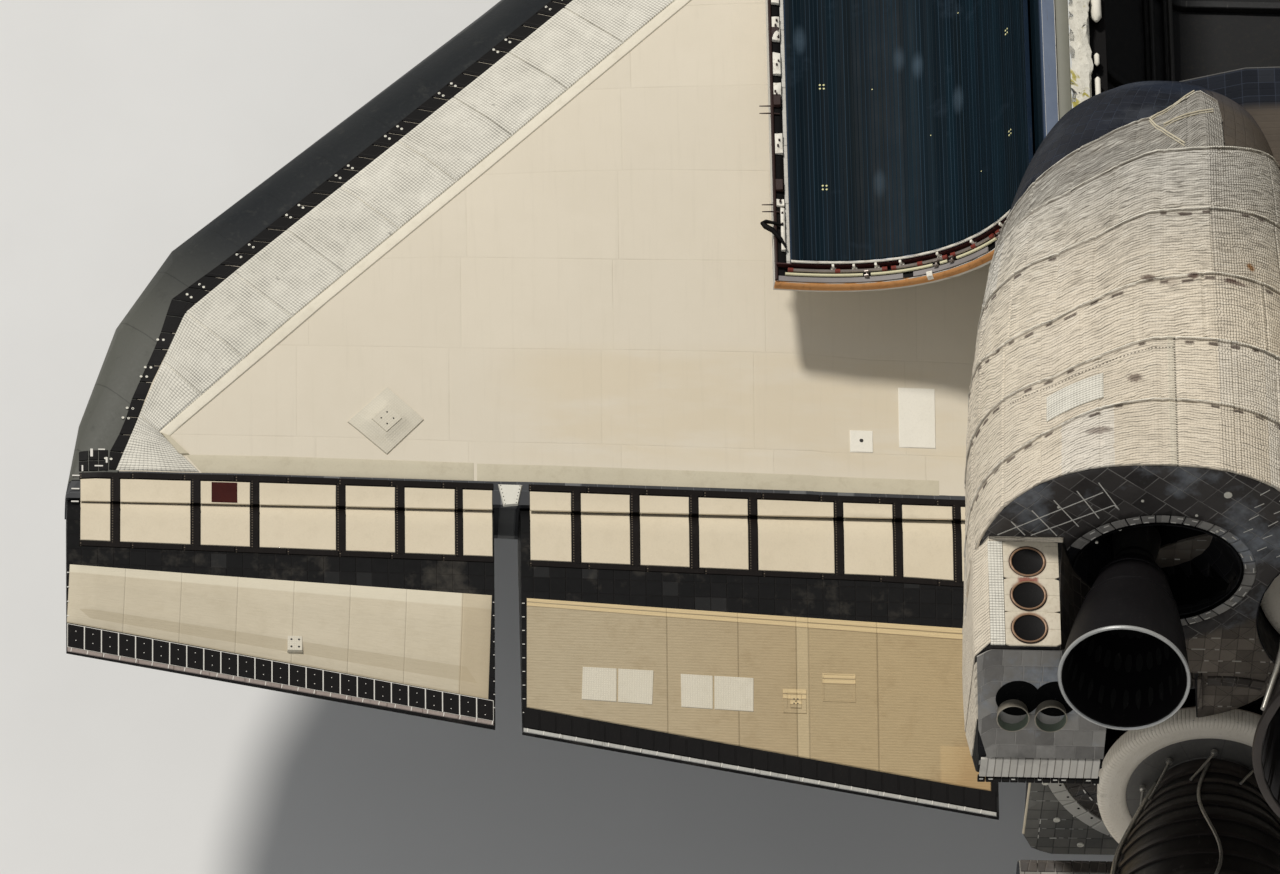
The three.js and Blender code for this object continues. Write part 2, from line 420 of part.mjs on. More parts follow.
// Main leg: strut with a collar round the axle, drag brace forward and side brace.
const collar = (x, y, z, bore, out, half) => rod([x, y - half, z], [x, y + half, z], out, out, 20).subtract(rod([x, y - half - 1, z], [x, y + half + 1, z], bore, bore, 24));
const mainTop = 317.6;
let leg = rod([WHEEL.mainX, WHEEL.mainY, mz + 4.4], [WHEEL.mainX, WHEEL.mainY, mz + 46], 4.2, 4.2, 16)
  .add(rod([WHEEL.mainX, WHEEL.mainY, mz + 44], [WHEEL.mainX, WHEEL.mainY, mainTop], 6.2, 6.2, 16))
  .add(collar(WHEEL.mainX, WHEEL.mainY, mz, 3.6, 6, 3.6))
  .add(rod([WHEEL.mainX - 2, WHEEL.mainY, mz + 52], [1110, WHEEL.mainY, mainTop - 4], 2.6, 2.6, 10))
  .add(rod([WHEEL.mainX, WHEEL.mainY - 2, mz + 56], [WHEEL.mainX, 114, mainTop - 4], 2.2, 2.2, 10))
  .add(rod([WHEEL.mainX, 110, mainTop - 3], [WHEEL.mainX, 154, mainTop - 3], 3, 3, 10))
  .add(rod([WHEEL.mainX + 5.2, WHEEL.mainY, mz + 6], [WHEEL.mainX + 12, WHEEL.mainY, mz + 26], 1.6, 1.6, 8))
  .add(rod([WHEEL.mainX + 12, WHEEL.mainY, mz + 25], [WHEEL.mainX + 5, WHEEL.mainY, mz + 47], 1.6, 1.6, 8));
putPair("main_gear_leg", leg, M.metal);

// Nose leg: the upper cylinder is fixed, the lower one turns with the wheels.
const noseTop = 307.6, turnZ = nz + 34;
put("nose_gear_leg", rod([WHEEL.noseX, 0, turnZ + 0.3], [WHEEL.noseX, 0, noseTop], 4.6, 4.6, 16)
  .add(rod([WHEEL.noseX, 0, turnZ + 16], [416, 0, noseTop - 4], 2.2, 2.2, 10))
  .add(rod([WHEEL.noseX, -19, noseTop - 3], [WHEEL.noseX, 19, noseTop - 3], 2.6, 2.6, 10)), M.metal);
put("nose_gear_fork", rod([WHEEL.noseX, 0, nz + 2.8], [WHEEL.noseX, 0, turnZ], 3.1, 3.1, 16)
  .add(rod([WHEEL.noseX, 0, turnZ - 5], [WHEEL.noseX, 0, turnZ], 5.4, 5.4, 16))
  .add(collar(WHEEL.noseX, 0, nz, 2.6, 4.4, 2.6))
  .add(rod([WHEEL.noseX + 3.4, 0, nz + 5], [WHEEL.noseX + 8, 0, nz + 17], 1.2, 1.2, 8))
  .add(rod([WHEEL.noseX + 8, 0, nz + 16], [WHEEL.noseX + 4, 0, turnZ - 3], 1.2, 1.2, 8)), M.metal);

// Gear doors, hanging open.
const hang = (x0, x1, y, z1, z0, tilt, t) => loft([x0, x1].map((x) => [[y, z1], [y + t, z1], [y + t + tilt, z0], [y + tilt, z0]].map(([a, b]) => [x, a, b])));
putPair("main_gear_door", hang(1100, 1204, 158.8, 279, 226, 12, 2.6), M.tile);
putPair("nose_gear_door", hang(407, 498, 23.6, 282, 254, 4, 1.8), M.tile);

// ---------------------------------------------------------------- park attitude
body.rotation.y = pitch;
body.position.set(SHIFT_X, 0, SHIFT_Z);
const orbiter = new THREE.Group();
orbiter.add(body);
export default orbiter;
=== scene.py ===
import json, math, random
import bpy, bmesh
import numpy as np
from mathutils import Vector, Matrix
from mathutils.bvhtree import BVHTree

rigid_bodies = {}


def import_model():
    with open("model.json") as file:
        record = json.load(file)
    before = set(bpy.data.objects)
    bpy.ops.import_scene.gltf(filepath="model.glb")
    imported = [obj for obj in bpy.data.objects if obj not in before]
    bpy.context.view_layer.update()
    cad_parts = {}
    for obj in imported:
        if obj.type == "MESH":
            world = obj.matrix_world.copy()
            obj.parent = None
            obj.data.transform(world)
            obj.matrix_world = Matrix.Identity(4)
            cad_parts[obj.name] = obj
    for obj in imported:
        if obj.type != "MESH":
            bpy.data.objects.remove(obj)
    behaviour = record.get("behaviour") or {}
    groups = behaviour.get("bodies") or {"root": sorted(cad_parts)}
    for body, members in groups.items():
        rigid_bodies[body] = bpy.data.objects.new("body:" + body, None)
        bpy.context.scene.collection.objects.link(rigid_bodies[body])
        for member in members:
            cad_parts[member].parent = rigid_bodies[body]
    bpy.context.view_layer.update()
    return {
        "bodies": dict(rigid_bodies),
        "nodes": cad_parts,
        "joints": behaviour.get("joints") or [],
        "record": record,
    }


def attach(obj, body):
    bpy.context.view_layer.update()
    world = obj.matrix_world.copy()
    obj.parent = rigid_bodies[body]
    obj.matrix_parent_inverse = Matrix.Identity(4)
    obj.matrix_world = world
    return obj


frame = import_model()
NODES = frame["nodes"]
SIDES = (("port", 1), ("starboard", -1))

# ------------------------------------------------------------------ the vehicle's own stations, in inches
IN = 0.0254
PITCH = math.radians(3.6)
REF_X, REF_Z = 1172.0, 290.0
SHIFT = (-5.5878, 3.0735)
CP, SP = math.cos(PITCH), math.sin(PITCH)


def T(x, y, z):
    """Station inches to row metres, for numbers or arrays."""
    X, Z = (REF_X - np.asarray(x, float)) * IN, (np.asarray(z, float) - REF_Z) * IN
    Y = np.asarray(y, float) * IN
    X, Y, Z = np.broadcast_arrays(X, Y, Z)
    return np.stack([X * CP + Z * SP + SHIFT[0], Y, -X * SP + Z * CP + SHIFT[1]], -1)


def back_to_station(p):
    p = np.asarray(p, float)
    a, c = p[..., 0] - SHIFT[0], p[..., 2] - SHIFT[1]
    return np.stack([REF_X - (a * CP - c * SP) / IN, p[..., 1] / IN, REF_Z + (a * SP + c * CP) / IN], -1)


def srgb(r, g, b):
    f = lambda v: v / 255 / 12.92 if v / 255 <= 0.04045 else ((v / 255 + 0.055) / 1.055) ** 2.4
    return (f(r), f(g), f(b), 1.0)


# ------------------------------------------------------------------ camera, at the photograph's viewing angle
def make_camera():
    az, el, roll = (math.radians(v) for v in (6.11006826, 57.9075207, 6.25468075))
    target, distance, scale = Vector((-10.04367457, 6.44383755, 4.0)), 180.0, 105.51799192
    back = Vector((-math.cos(az) * math.cos(el), math.sin(az) * math.cos(el), math.sin(el)))
    right = (-back).cross(Vector((0, 0, 1))).normalized()
    up = right.cross(-back)
    c, s = math.cos(roll), math.sin(roll)
    r0, r1 = c * right + s * up, -s * right + c * up
    data = bpy.data.cameras.new("camera")
    data.sensor_fit, data.sensor_width = "HORIZONTAL", 36.0
    data.lens = scale * distance / 1280 * 36
    data.clip_start, data.clip_end = 1.0, 1500.0
    cam = bpy.data.objects.new("camera", data)
    place = target + back * distance
    cam.matrix_world = Matrix(((r0.x, r1.x, back.x, place.x), (r0.y, r1.y, back.y, place.y), (r0.z, r1.z, back.z, place.z), (0, 0, 0, 1)))
    bpy.context.scene.collection.objects.link(cam)
    bpy.context.scene.camera = cam


make_camera()


# ------------------------------------------------------------------ node graphs
class Sock:
    """A socket with arithmetic, so that a pattern reads as a formula."""

    def __init__(self, g, s):
        self.g, self.s = g, s

    def __add__(self, o): return self.g.m("ADD", self, o)
    __radd__ = __add__
    def __sub__(self, o): return self.g.m("SUBTRACT", self, o)
    def __rsub__(self, o): return self.g.m("SUBTRACT", o, self)
    def __mul__(self, o): return self.g.m("MULTIPLY", self, o)
    __rmul__ = __mul__
    def __truediv__(self, o): return self.g.m("DIVIDE", self, o)
    def __neg__(self): return self.g.m("MULTIPLY", self, -1.0)
    def abs(self): return self.g.m("ABSOLUTE", self)
    def sin(self): return self.g.m("SINE", self)
    def floor(self): return self.g.m("FLOOR", self)
    def fract(self): return self.g.m("FRACT", self)
    def pow(self, o): return self.g.m("POWER", self, o)
    def min(self, o): return self.g.m("MINIMUM", self, o)
    def max(self, o): return self.g.m("MAXIMUM", self, o)
    def clamp(self): return self.g.m("ADD", self, 0.0, clamp=True)
    def above(self, edge, soft=0.05): return self.g.ramp01(self, edge - soft, edge + soft)
    def below(self, edge, soft=0.05): return self.g.ramp01(self, edge + soft, edge - soft)
    def between(self, a, b, soft=0.05): return self.above(a, soft) * self.below(b, soft)


class Graph:
    def __init__(self, name, **fixed):
        self.mat = bpy.data.materials.new(name)
        self.mat.use_nodes = True
        self.nt = self.mat.node_tree
        self.nt.nodes.clear()
        self.out = self.nt.nodes.new("ShaderNodeOutputMaterial")
        self.shader = self.nt.nodes.new("ShaderNodeBsdfPrincipled")
        self.nt.links.new(self.shader.outputs[0], self.out.inputs[0])
        for k, v in fixed.items():
            self.shader.inputs[k.replace("_", " ")].default_value = v
        self.cache = {}

    def put(self, socket, v):
        if isinstance(v, Sock):
            self.nt.links.new(v.s, socket)
        else:
            socket.default_value = v

    def m(self, op, a, b=None, c=None, clamp=False):
        n = self.nt.nodes.new("ShaderNodeMath")
        n.operation, n.use_clamp = op, clamp
        for i, v in enumerate((a, b, c)):
            if v is not None:
                self.put(n.inputs[i], v)
        return Sock(self, n.outputs[0])

    def ramp01(self, v, a, b):
        n = self.nt.nodes.new("ShaderNodeMapRange")
        n.interpolation_type = "SMOOTHSTEP"
        self.put(n.inputs["Value"], v)
        n.inputs["From Min"].default_value, n.inputs["From Max"].default_value = (a, b) if a < b else (b, a)
        n.inputs["To Min"].default_value, n.inputs["To Max"].default_value = (0, 1) if a < b else (1, 0)
        return Sock(self, n.outputs["Result"])

    def object(self):
        if "object" not in self.cache:
            self.cache["object"] = Sock(self, self.nt.nodes.new("ShaderNodeTexCoord").outputs["Object"])
        return self.cache["object"]

    def station_vector(self):
        """Vector of (1172 - x, y, z) in inches on the vehicle's own axes."""
        if "sv" not in self.cache:
            n = self.nt.nodes.new("ShaderNodeMapping")
            n.vector_type = "POINT"
            self.put(n.inputs["Vector"], self.object())
            n.inputs["Scale"].default_value = (1 / IN,) * 3
            n.inputs["Rotation"].default_value = (0, -PITCH, 0)
            a, c = SHIFT
            n.inputs["Location"].default_value = (-(a * CP - c * SP) / IN, 0, REF_Z - (a * SP + c * CP) / IN)
            self.cache["sv"] = Sock(self, n.outputs[0])
        return self.cache["sv"]

    def split(self, v):
        n = self.nt.nodes.new("ShaderNodeSeparateXYZ")
        self.put(n.inputs[0], v)
        return [Sock(self, o) for o in n.outputs]

    def station(self):
        if "st" not in self.cache:
            a, y, z = self.split(self.station_vector())
            self.cache["st"] = (REF_X - a, y, z)
        return self.cache["st"]

    def vec(self, x, y, z=0.0):
        n = self.nt.nodes.new("ShaderNodeCombineXYZ")
        for i, v in enumerate((x, y, z)):
            self.put(n.inputs[i], v)
        return Sock(self, n.outputs[0])

    def attr(self, name):
        """x, y, z of a mesh attribute that holds a piece's own pattern coordinates."""
        n = self.nt.nodes.new("ShaderNodeAttribute")
        n.attribute_name = name
        return self.split(Sock(self, n.outputs["Vector"]))

    def normal(self):
        return self.split(Sock(self, self.nt.nodes.new("ShaderNodeNewGeometry").outputs["True Normal"]))

    def noise(self, v, scale, detail=3.0, rough=0.55, distort=0.0, color=False):
        n = self.nt.nodes.new("ShaderNodeTexNoise")
        self.put(n.inputs["Vector"], v)
        n.inputs["Scale"].default_value = scale
        n.inputs["Detail"].default_value = detail
        n.inputs["Roughness"].default_value = rough
        n.inputs["Distortion"].default_value = distort
        return Sock(self, n.outputs["Color" if color else "Fac"])

    def voronoi(self, v, scale, feature="F1", out="Distance", randomness=1.0):
        n = self.nt.nodes.new("ShaderNodeTexVoronoi")
        n.feature = feature
        self.put(n.inputs["Vector"], v)
        n.inputs["Scale"].default_value = scale
        n.inputs["Randomness"].default_value = randomness
        return Sock(self, n.outputs[out])

    def white(self, v):
        n = self.nt.nodes.new("ShaderNodeTexWhiteNoise")
        n.noise_dimensions = "3D"
        self.put(n.inputs["Vector"], v)
        return Sock(self, n.outputs["Value"])

    def mix(self, f, a, b):
        n = self.nt.nodes.new("ShaderNodeMix")
        n.data_type = "RGBA"
        self.put(n.inputs["Factor"], f)
        for key, v in (("A", a), ("B", b)):
            s = [i for i in n.inputs if i.name == key and i.type == "RGBA"][0]
            self.put(s, v)
        return Sock(self, [o for o in n.outputs if o.type == "RGBA"][0])

    def tint(self, color, f, amount=1.0):
        """color made lighter or darker by the factor f round 1."""
        n = self.nt.nodes.new("ShaderNodeMix")
        n.data_type, n.blend_type = "RGBA", "MULTIPLY"
        self.put(n.inputs["Factor"], amount)
        a, b = [i for i in n.inputs if i.type == "RGBA"]
        self.put(a, color)
        self.put(b, self.vec(f, f, f))
        return Sock(self, [o for o in n.outputs if o.type == "RGBA"][0])

    # distance in inches to the nearest line of a family, and masks made from it
    def to_line(self, u, period, at=0.0):
        w = ((u - at) / period).fract()
        return (0.5 - (w - 0.5).abs()) * period

    def line(self, u, period, width, at=0.0, soft=None):
        soft = width * 0.4 if soft is None else soft
        return self.to_line(u, period, at).below(width / 2, soft)

    def cell(self, u, v, pu, pv, au=0.0, av=0.0, seed=0.0):
        return self.white(self.vec(((u - au) / pu).floor(), ((v - av) / pv).floor(), seed))

    def bump(self, height, strength=0.6, distance=0.01, base=None):
        n = self.nt.nodes.new("ShaderNodeBump")
        n.inputs["Strength"].default_value = strength
        n.inputs["Distance"].default_value = distance
        self.put(n.inputs["Height"], height)
        if base is not None:
            self.put(n.inputs["Normal"], base)
        return Sock(self, n.outputs[0])

    def finish(self, color, rough=None, bump=None, metal=None):
        self.put(self.shader.inputs["Base Color"], color)
        if rough is not None:
            self.put(self.shader.inputs["Roughness"], rough)
        if metal is not None:
            self.put(self.shader.inputs["Metallic"], metal)
        if bump is not None:
            self.put(self.shader.inputs["Normal"], bump)
        return self.mat


# ------------------------------------------------------------------ mesh helpers
def mesh_piece(name, verts, faces, body, slot, mat, smooth=35.0, coords=None, extra_mats=(), face_mats=None):
    """A mesh in row metres that rides on a body. coords is the piece's own pattern coordinate for each vertex."""
    me = bpy.data.meshes.new(name)
    me.from_pydata([tuple(v) for v in np.asarray(verts, float)], [], [tuple(f) for f in faces])
    me.validate()
    if coords is not None:
        a = me.attributes.new("own", "FLOAT_VECTOR", "POINT")
        a.data.foreach_set("vector", np.asarray(coords, np.float32).ravel())
    ob = bpy.data.objects.new(name, me)
    bpy.context.scene.collection.objects.link(ob)
    for mm in (mat, *extra_mats):
        me.materials.append(mm)
    if face_mats is not None:
        me.polygons.foreach_set("material_index", np.asarray(face_mats, np.int32))
    bm = bmesh.new()
    bm.from_mesh(me)
    bmesh.ops.recalc_face_normals(bm, faces=bm.faces)
    if smooth:
        for f in bm.faces:
            f.smooth = True
        for e in bm.edges:
            if len(e.link_faces) == 2 and e.calc_face_angle(0) > math.radians(smooth):
                e.smooth = False
    bm.to_mesh(me)
    bm.free()
    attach(ob, body)
    return ob


def soften(node, angle=32.0):
    """Smooth shading on a CAD node, sharp where its faces meet at more than angle. Only its shading normals change."""
    me = NODES[node].data
    co = np.array([v.co for v in me.vertices], float).reshape(-1, 3)
    _, key = np.unique(np.round(co, 5), axis=0, return_inverse=True)
    key = key.ravel()
    normals = np.array([p.normal for p in me.polygons], float)
    around, weight = {}, {}
    for p in me.polygons:
        vs = list(p.vertices)
        for i, v in enumerate(vs):
            a, b = co[vs[i - 1]] - co[v], co[vs[(i + 1) % len(vs)]] - co[v]
            w = math.acos(max(-1.0, min(1.0, float(a @ b) / (float(np.linalg.norm(a) * np.linalg.norm(b)) + 1e-12))))
            around.setdefault(key[v], []).append((p.index, w))
    limit = math.cos(math.radians(angle))
    out = []
    for p in me.polygons:
        for v in p.vertices:
            n = np.zeros(3)
            for f, w in around[key[v]]:
                if normals[f] @ normals[p.index] > limit:
                    n += normals[f] * w
            out.append(tuple(n / (np.linalg.norm(n) + 1e-12)))
    me.polygons.foreach_set("use_smooth", np.ones(len(me.polygons), bool))
    me.normals_split_custom_set(out)


def paint(node, *mats):
    me = NODES[node].data
    me.materials.clear()
    for mm in mats:
        me.materials.append(mm)


def grid_faces(nu, nv, wrap_u=False, base=0):
    """Quads of a grid with nu by nv points, row by row."""
    out = []
    for j in range(nv - 1):
        for i in range(nu if wrap_u else nu - 1):
            a, b = base + j * nu + i, base + j * nu + (i + 1) % nu
            out.append((a, b, b + nu, a + nu))
    return out


# ------------------------------------------------------------------ floor and light
def make_stage():
    g = Graph("studio_floor", Roughness=0.85)
    n = g.noise(g.object(), 0.35, 4, 0.6)
    g.finish(g.mix(n, srgb(214, 213, 210), srgb(226, 225, 222)), 0.85)
    nx = 60
    xs = np.linspace(-190, 190, nx)
    verts = [(x, y, -0.004) for y in xs for x in xs]
    me = bpy.data.meshes.new("floor")
    me.from_pydata(verts, [], grid_faces(nx, nx))
    me.materials.append(g.mat)
    ob = bpy.data.objects.new("floor", me)
    bpy.context.scene.collection.objects.link(ob)

    world = bpy.data.worlds.new("studio")
    bpy.context.scene.world = world
    world.use_nodes = True
    bg = world.node_tree.nodes["Background"]
    bg.inputs[0].default_value = (0.93, 0.96, 1.0, 1)
    bg.inputs[1].default_value = 0.27

    def sun(name, towards, strength, angle, color):
        d = bpy.data.lights.new(name, "SUN")
        d.energy, d.angle, d.color = strength, math.radians(angle), color
        o = bpy.data.objects.new(name, d)
        o.rotation_euler = Vector(towards).to_track_quat("Z", "Y").to_euler()
        o.location = (0, 0, 60)
        bpy.context.scene.collection.objects.link(o)

    sun("key", (0.50, 0.34, 0.79), 2.72, 8, (1.0, 0.975, 0.935))
    sun("fill", (-0.7, 0.35, 0.62), 0.45, 40, (0.97, 0.98, 1.0))
    v = bpy.context.scene.view_settings
    v.view_transform, v.look, v.exposure, v.gamma = "Standard", "None", 0.0, 1.0


make_stage()


# ------------------------------------------------------------------ materials
MATS = {}


def fabric_bump(g, scale=1.0):
    """Woven glass cloth over batting: fine weave, soft puckers and dents."""
    v = g.station_vector()
    return g.noise(v, 0.9 * scale, 4, 0.6) * 0.5 + g.noise(v, 0.12 * scale, 3, 0.5) * 0.9


def mat_felt():
    """Coated felt blankets on the wing's upper side."""
    g = Graph("wing_felt", Roughness=0.85)
    x, y, z = g.station()
    sv = g.station_vector()
    big, mid, fine = g.noise(sv, 0.008, 4, 0.6), g.noise(sv, 0.05, 4, 0.6), g.noise(sv, 1.3, 3, 0.6)
    ay = y.abs()
    # sheets about 40 x 28 inches; their joints wander by rows
    row = (x / 38.7).floor()
    shift = g.white(g.vec(row, 3.0, 1.0)) * 30.0
    seam_x = g.line(x, 38.7, 0.35, soft=0.3)
    seam_y = g.line(ay + shift, 57.0, 0.3, soft=0.3)
    seam = seam_x.max(seam_y) * (mid * 1.6 - 0.35).clamp()
    sheet = g.cell(x, ay + shift, 38.7, 57.0, seed=2.0)
    c = g.mix(big, srgb(206, 195, 174), srgb(221, 211, 192))
    c = g.tint(c, sheet * 0.035 + 0.9825)
    c = g.mix((mid - 0.5).abs() * 0.4, c, srgb(192, 181, 156))
    aft = x.between(1316, 1361, 6) * (g.noise(g.vec(x * 0.05, ay * 0.012, 4.0), 1.0, 4, 0.65)).above(0.45, 0.12) * ay.below(300, 20)
    c = g.mix(aft * 0.35, c, srgb(205, 186, 150))
    c = g.mix(seam * 0.35, c, srgb(170, 158, 134))
    c = g.mix(fine * 0.16, c, srgb(200, 192, 172))
    streak = g.noise(g.vec(x * 0.02, ay * 0.35, 1.0), 1.0, 3, 0.7).above(0.62, 0.1)
    c = g.mix(streak * 0.10, c, srgb(180, 170, 150))
    # underside and lower leading edge are dark tiles
    under = g.tile_color(x, ay)
    nz = g.normal()[2]
    low = nz.below(-0.25, 0.03).max((x - 1370.4).above(0.0, 0.1)).max((x - 1006.0).below(0.0, 0.5) * nz.below(0.55, 0.03))
    c = g.mix(low, c, under[0])
    h = fine * 0.12 + mid * 0.25 - seam * 0.5
    rough = 0.85 - low * 0.25
    return g.finish(c, rough, g.bump(h * (1.0 - low) + under[1] * low, 0.5, 0.012))


def tile_color(g, u, v, size=6.0, dark=None, light=None, grout=None, width=0.28, seed=5.0, odds=0.55):
    """Colour and height of silica tiles with their gaps."""
    dark, light = dark or srgb(26, 27, 29), light or srgb(52, 54, 57)
    grout = grout or srgb(96, 97, 98)
    gap = g.line(u, size, width).max(g.line(v, size, width))
    r = g.cell(u, v, size, size, seed=seed)
    n = g.noise(g.station_vector(), 0.25, 4, 0.65)
    c = g.mix(r * 0.65 + n * 0.35, dark, light)
    odd = g.cell(u, v, size, size, seed=seed + 7).above(0.955, 0.005)
    c = g.mix(odd * odds, c, srgb(120, 120, 118))
    c = g.mix(gap * 0.75, c, grout)
    return c, (1.0 - gap) * 0.6 + r * 0.25


Graph.tile_color = tile_color


def mat_blanket(name, a, b, px=27.0, pz=30.0, belly=True):
    """White quilted blankets on the fuselage and fin, dark tiles below the side line."""
    g = Graph(name, Roughness=0.88, **{"Specular IOR Level": 0.2})
    x, y, z = g.station()
    sv = g.station_vector()
    big, mid = g.noise(sv, 0.01, 4, 0.6), g.noise(sv, 0.07, 4, 0.65)
    seam = g.line(x, px, 0.4, soft=0.3).max(g.line(z, pz, 0.4, soft=0.3))
    quilt = g.line(x, 3.0, 0.35, soft=0.5).max(g.line(z, 3.0, 0.35, soft=0.5))
    sheet = g.cell(x, z, px, pz, seed=1.0)
    c = g.mix(big, a, b)
    c = g.tint(c, sheet * 0.07 + 0.965)
    c = g.mix(seam * 0.5, c, srgb(120, 116, 106))
    c = g.mix(quilt * 0.10, c, srgb(150, 146, 134))
    stain = (mid - 0.58).clamp() * 2.2
    c = g.mix(stain * 0.5, c, srgb(150, 140, 120))
    h = quilt * -0.5 + seam * -0.8 + mid * 0.5
    rough = None
    if belly:
        line = g.ramp01(x, 300, 520) * -26.0 + 344.0
        low = (z - line).below(0.0, 0.4)
        t, th = g.tile_color(x, y.abs() + z * 0.7)
        c = g.mix(low, c, t)
        h = h * (1.0 - low) + th * low
        rough = 0.88 - low * 0.3
        # the payload bay's lining and frames, painted near-black as shade; the real lining is pale cloth
        ay = y.abs()
        bay = x.between(577.0, 1306.5, 0.1) * ay.below(99.2, 0.1) * z.above(300.0, 0.3)
        frame = g.line(x, 56.0, 5.0, soft=0.4)
        inner = g.mix(frame * 0.7 + mid * 0.3, srgb(4, 4, 4), srgb(12, 12, 12))
        inner = g.mix(g.line(x, 28.0, 0.6, soft=0.3) * 0.5, inner, srgb(20, 19, 17))
        c = g.mix(bay, c, inner)
        # dark tiles and scorched brown cloth on top, between the pods and ahead of the fin
        crown = x.between(1306.4, 1377.0, 1.5) * z.above(450.0, 2.0)
        t3, h3 = g.tile_color(x, ay, 6.0, srgb(14, 17, 24), srgb(28, 32, 40), srgb(50, 56, 68), 0.22, odds=0.1)
        brown = g.mix(big * 0.5 + mid * 0.5, srgb(52, 47, 43), srgb(100, 90, 78))
        c = g.mix(crown, c, g.mix(x.above(1325.0, 3.0), t3, brown))
        # inside the pods' aft openings: painted near-black shade
        c = g.mix(x.above(1488.0, 1.0) * ay.above(36.0, 0.5) * z.above(452.0, 0.5), c, g.mix(mid, srgb(4, 4, 4), srgb(12, 12, 12)))
    return g.finish(c, rough, g.bump(h, 0.55, 0.012))


def mat_tiles(name, dark, light, grout, size=6.0, rough=0.55, width=0.28, odds=0.55):
    g = Graph(name, Roughness=rough, **{"Specular IOR Level": 0.1})
    x, y, z = g.station()
    nx, ny, nz = g.normal()
    up = nz.abs().above(0.55, 0.02)
    fore = nx.abs().above(0.55, 0.02) * (1.0 - up)
    u = x * (1.0 - fore) + y * fore
    v = y * up + z * (1.0 - up)
    c, h = g.tile_color(u, v, size, dark, light, grout, width, odds=odds)
    dirt = g.noise(g.station_vector(), 0.06, 5, 0.65)
    c = g.mix((dirt - 0.55).clamp() * 1.6, c, srgb(104, 98, 88))
    return g.finish(c, g.noise(g.station_vector(), 0.3, 3) * 0.3 + (rough - 0.12), g.bump(h, 0.6, 0.012))


def mat_carbon(name, a, b):
    """Reinforced carbon with its silicon carbide coat: mottled grey with a faint brown-green cast."""
    g = Graph(name, Roughness=0.5, **{"Specular IOR Level": 0.14})
    x, y, z = g.station()
    sv = g.station_vector()
    n, m = g.noise(sv, 0.03, 5, 0.6), g.noise(sv, 0.8, 4, 0.6)
    c = g.mix(n, a, b)
    if "edge" in name:
        run = (x + y.abs()) * 0.70711
        c = g.mix(g.ramp01(run, 1165.0, 1242.0).pow(1.5) * 0.9 + n * 0.1, srgb(17, 21, 25), srgb(86, 86, 79))
        cuts = g.line(run, 26.8, 0.3, at=1209.0, soft=0.25)
        c = g.mix(cuts * 0.55, c, srgb(16, 17, 17))
        c = g.mix((g.noise(sv, 0.1, 4, 0.7) - 0.56).clamp() * 0.7, c, srgb(110, 108, 98))
    c = g.mix((m - 0.5).clamp() * (0.2 if "edge" in name else 0.7), c, srgb(104, 106, 100))
    c = g.mix((g.noise(sv, 0.15, 3, 0.7) - 0.6).clamp() * 2.0, c, srgb(34, 33, 30))
    return g.finish(c, m * 0.25 + 0.38, g.bump(m, 0.25, 0.006))


def mat_metal(name, a, b, rough=0.4, metal=0.8, scale=1.0):
    g = Graph(name, Metallic=metal)
    sv = g.object()
    n, m = g.noise(sv, 3.0 * scale, 4, 0.6), g.noise(sv, 40.0 * scale, 3, 0.6)
    c = g.mix(n, a, b)
    scuff = g.noise(g.vec(*[s * k for s, k in zip(g.split(sv), (4.0, 30.0, 30.0))]), scale, 3, 0.7).above(0.66, 0.05)
    c = g.mix(scuff * 0.4, c, srgb(90, 88, 84))
    return g.finish(c, m * 0.2 + rough - 0.1, g.bump(m, 0.2, 0.004))


def mat_cloth(name, a, b, dirt=None, scale=1.0, rough=0.85):
    g = Graph(name, Roughness=rough)
    o = g.object()
    n, m, f = g.noise(o, 1.2 * scale, 4, 0.6), g.noise(o, 9.0 * scale, 4, 0.65), g.noise(o, 60.0 * scale, 2, 0.5)
    c = g.mix(n, a, b)
    c = g.mix((m - 0.52).clamp() * 2.0, c, dirt or srgb(150, 140, 118))
    return g.finish(c, None, g.bump(m * 0.6 + f * 0.3, 0.5, 0.01))


def mat_plain(name, a, b, rough=0.6, scale=1.0, metal=0.0, spec=0.35):
    """Painted or coated surface with grime and small scratches."""
    g = Graph(name, Metallic=metal, **{"Specular IOR Level": spec})
    o = g.object()
    n, m = g.noise(o, 2.0 * scale, 5, 0.65), g.noise(o, 30.0 * scale, 4, 0.6)
    c = g.mix(n, a, b)
    c = g.mix((m - 0.6).clamp() * (1.4 if spec > 0.1 else 0.3), c, srgb(120, 116, 108))
    return g.finish(c, n * 0.2 + rough - 0.1, g.bump(m, 0.25, 0.005))


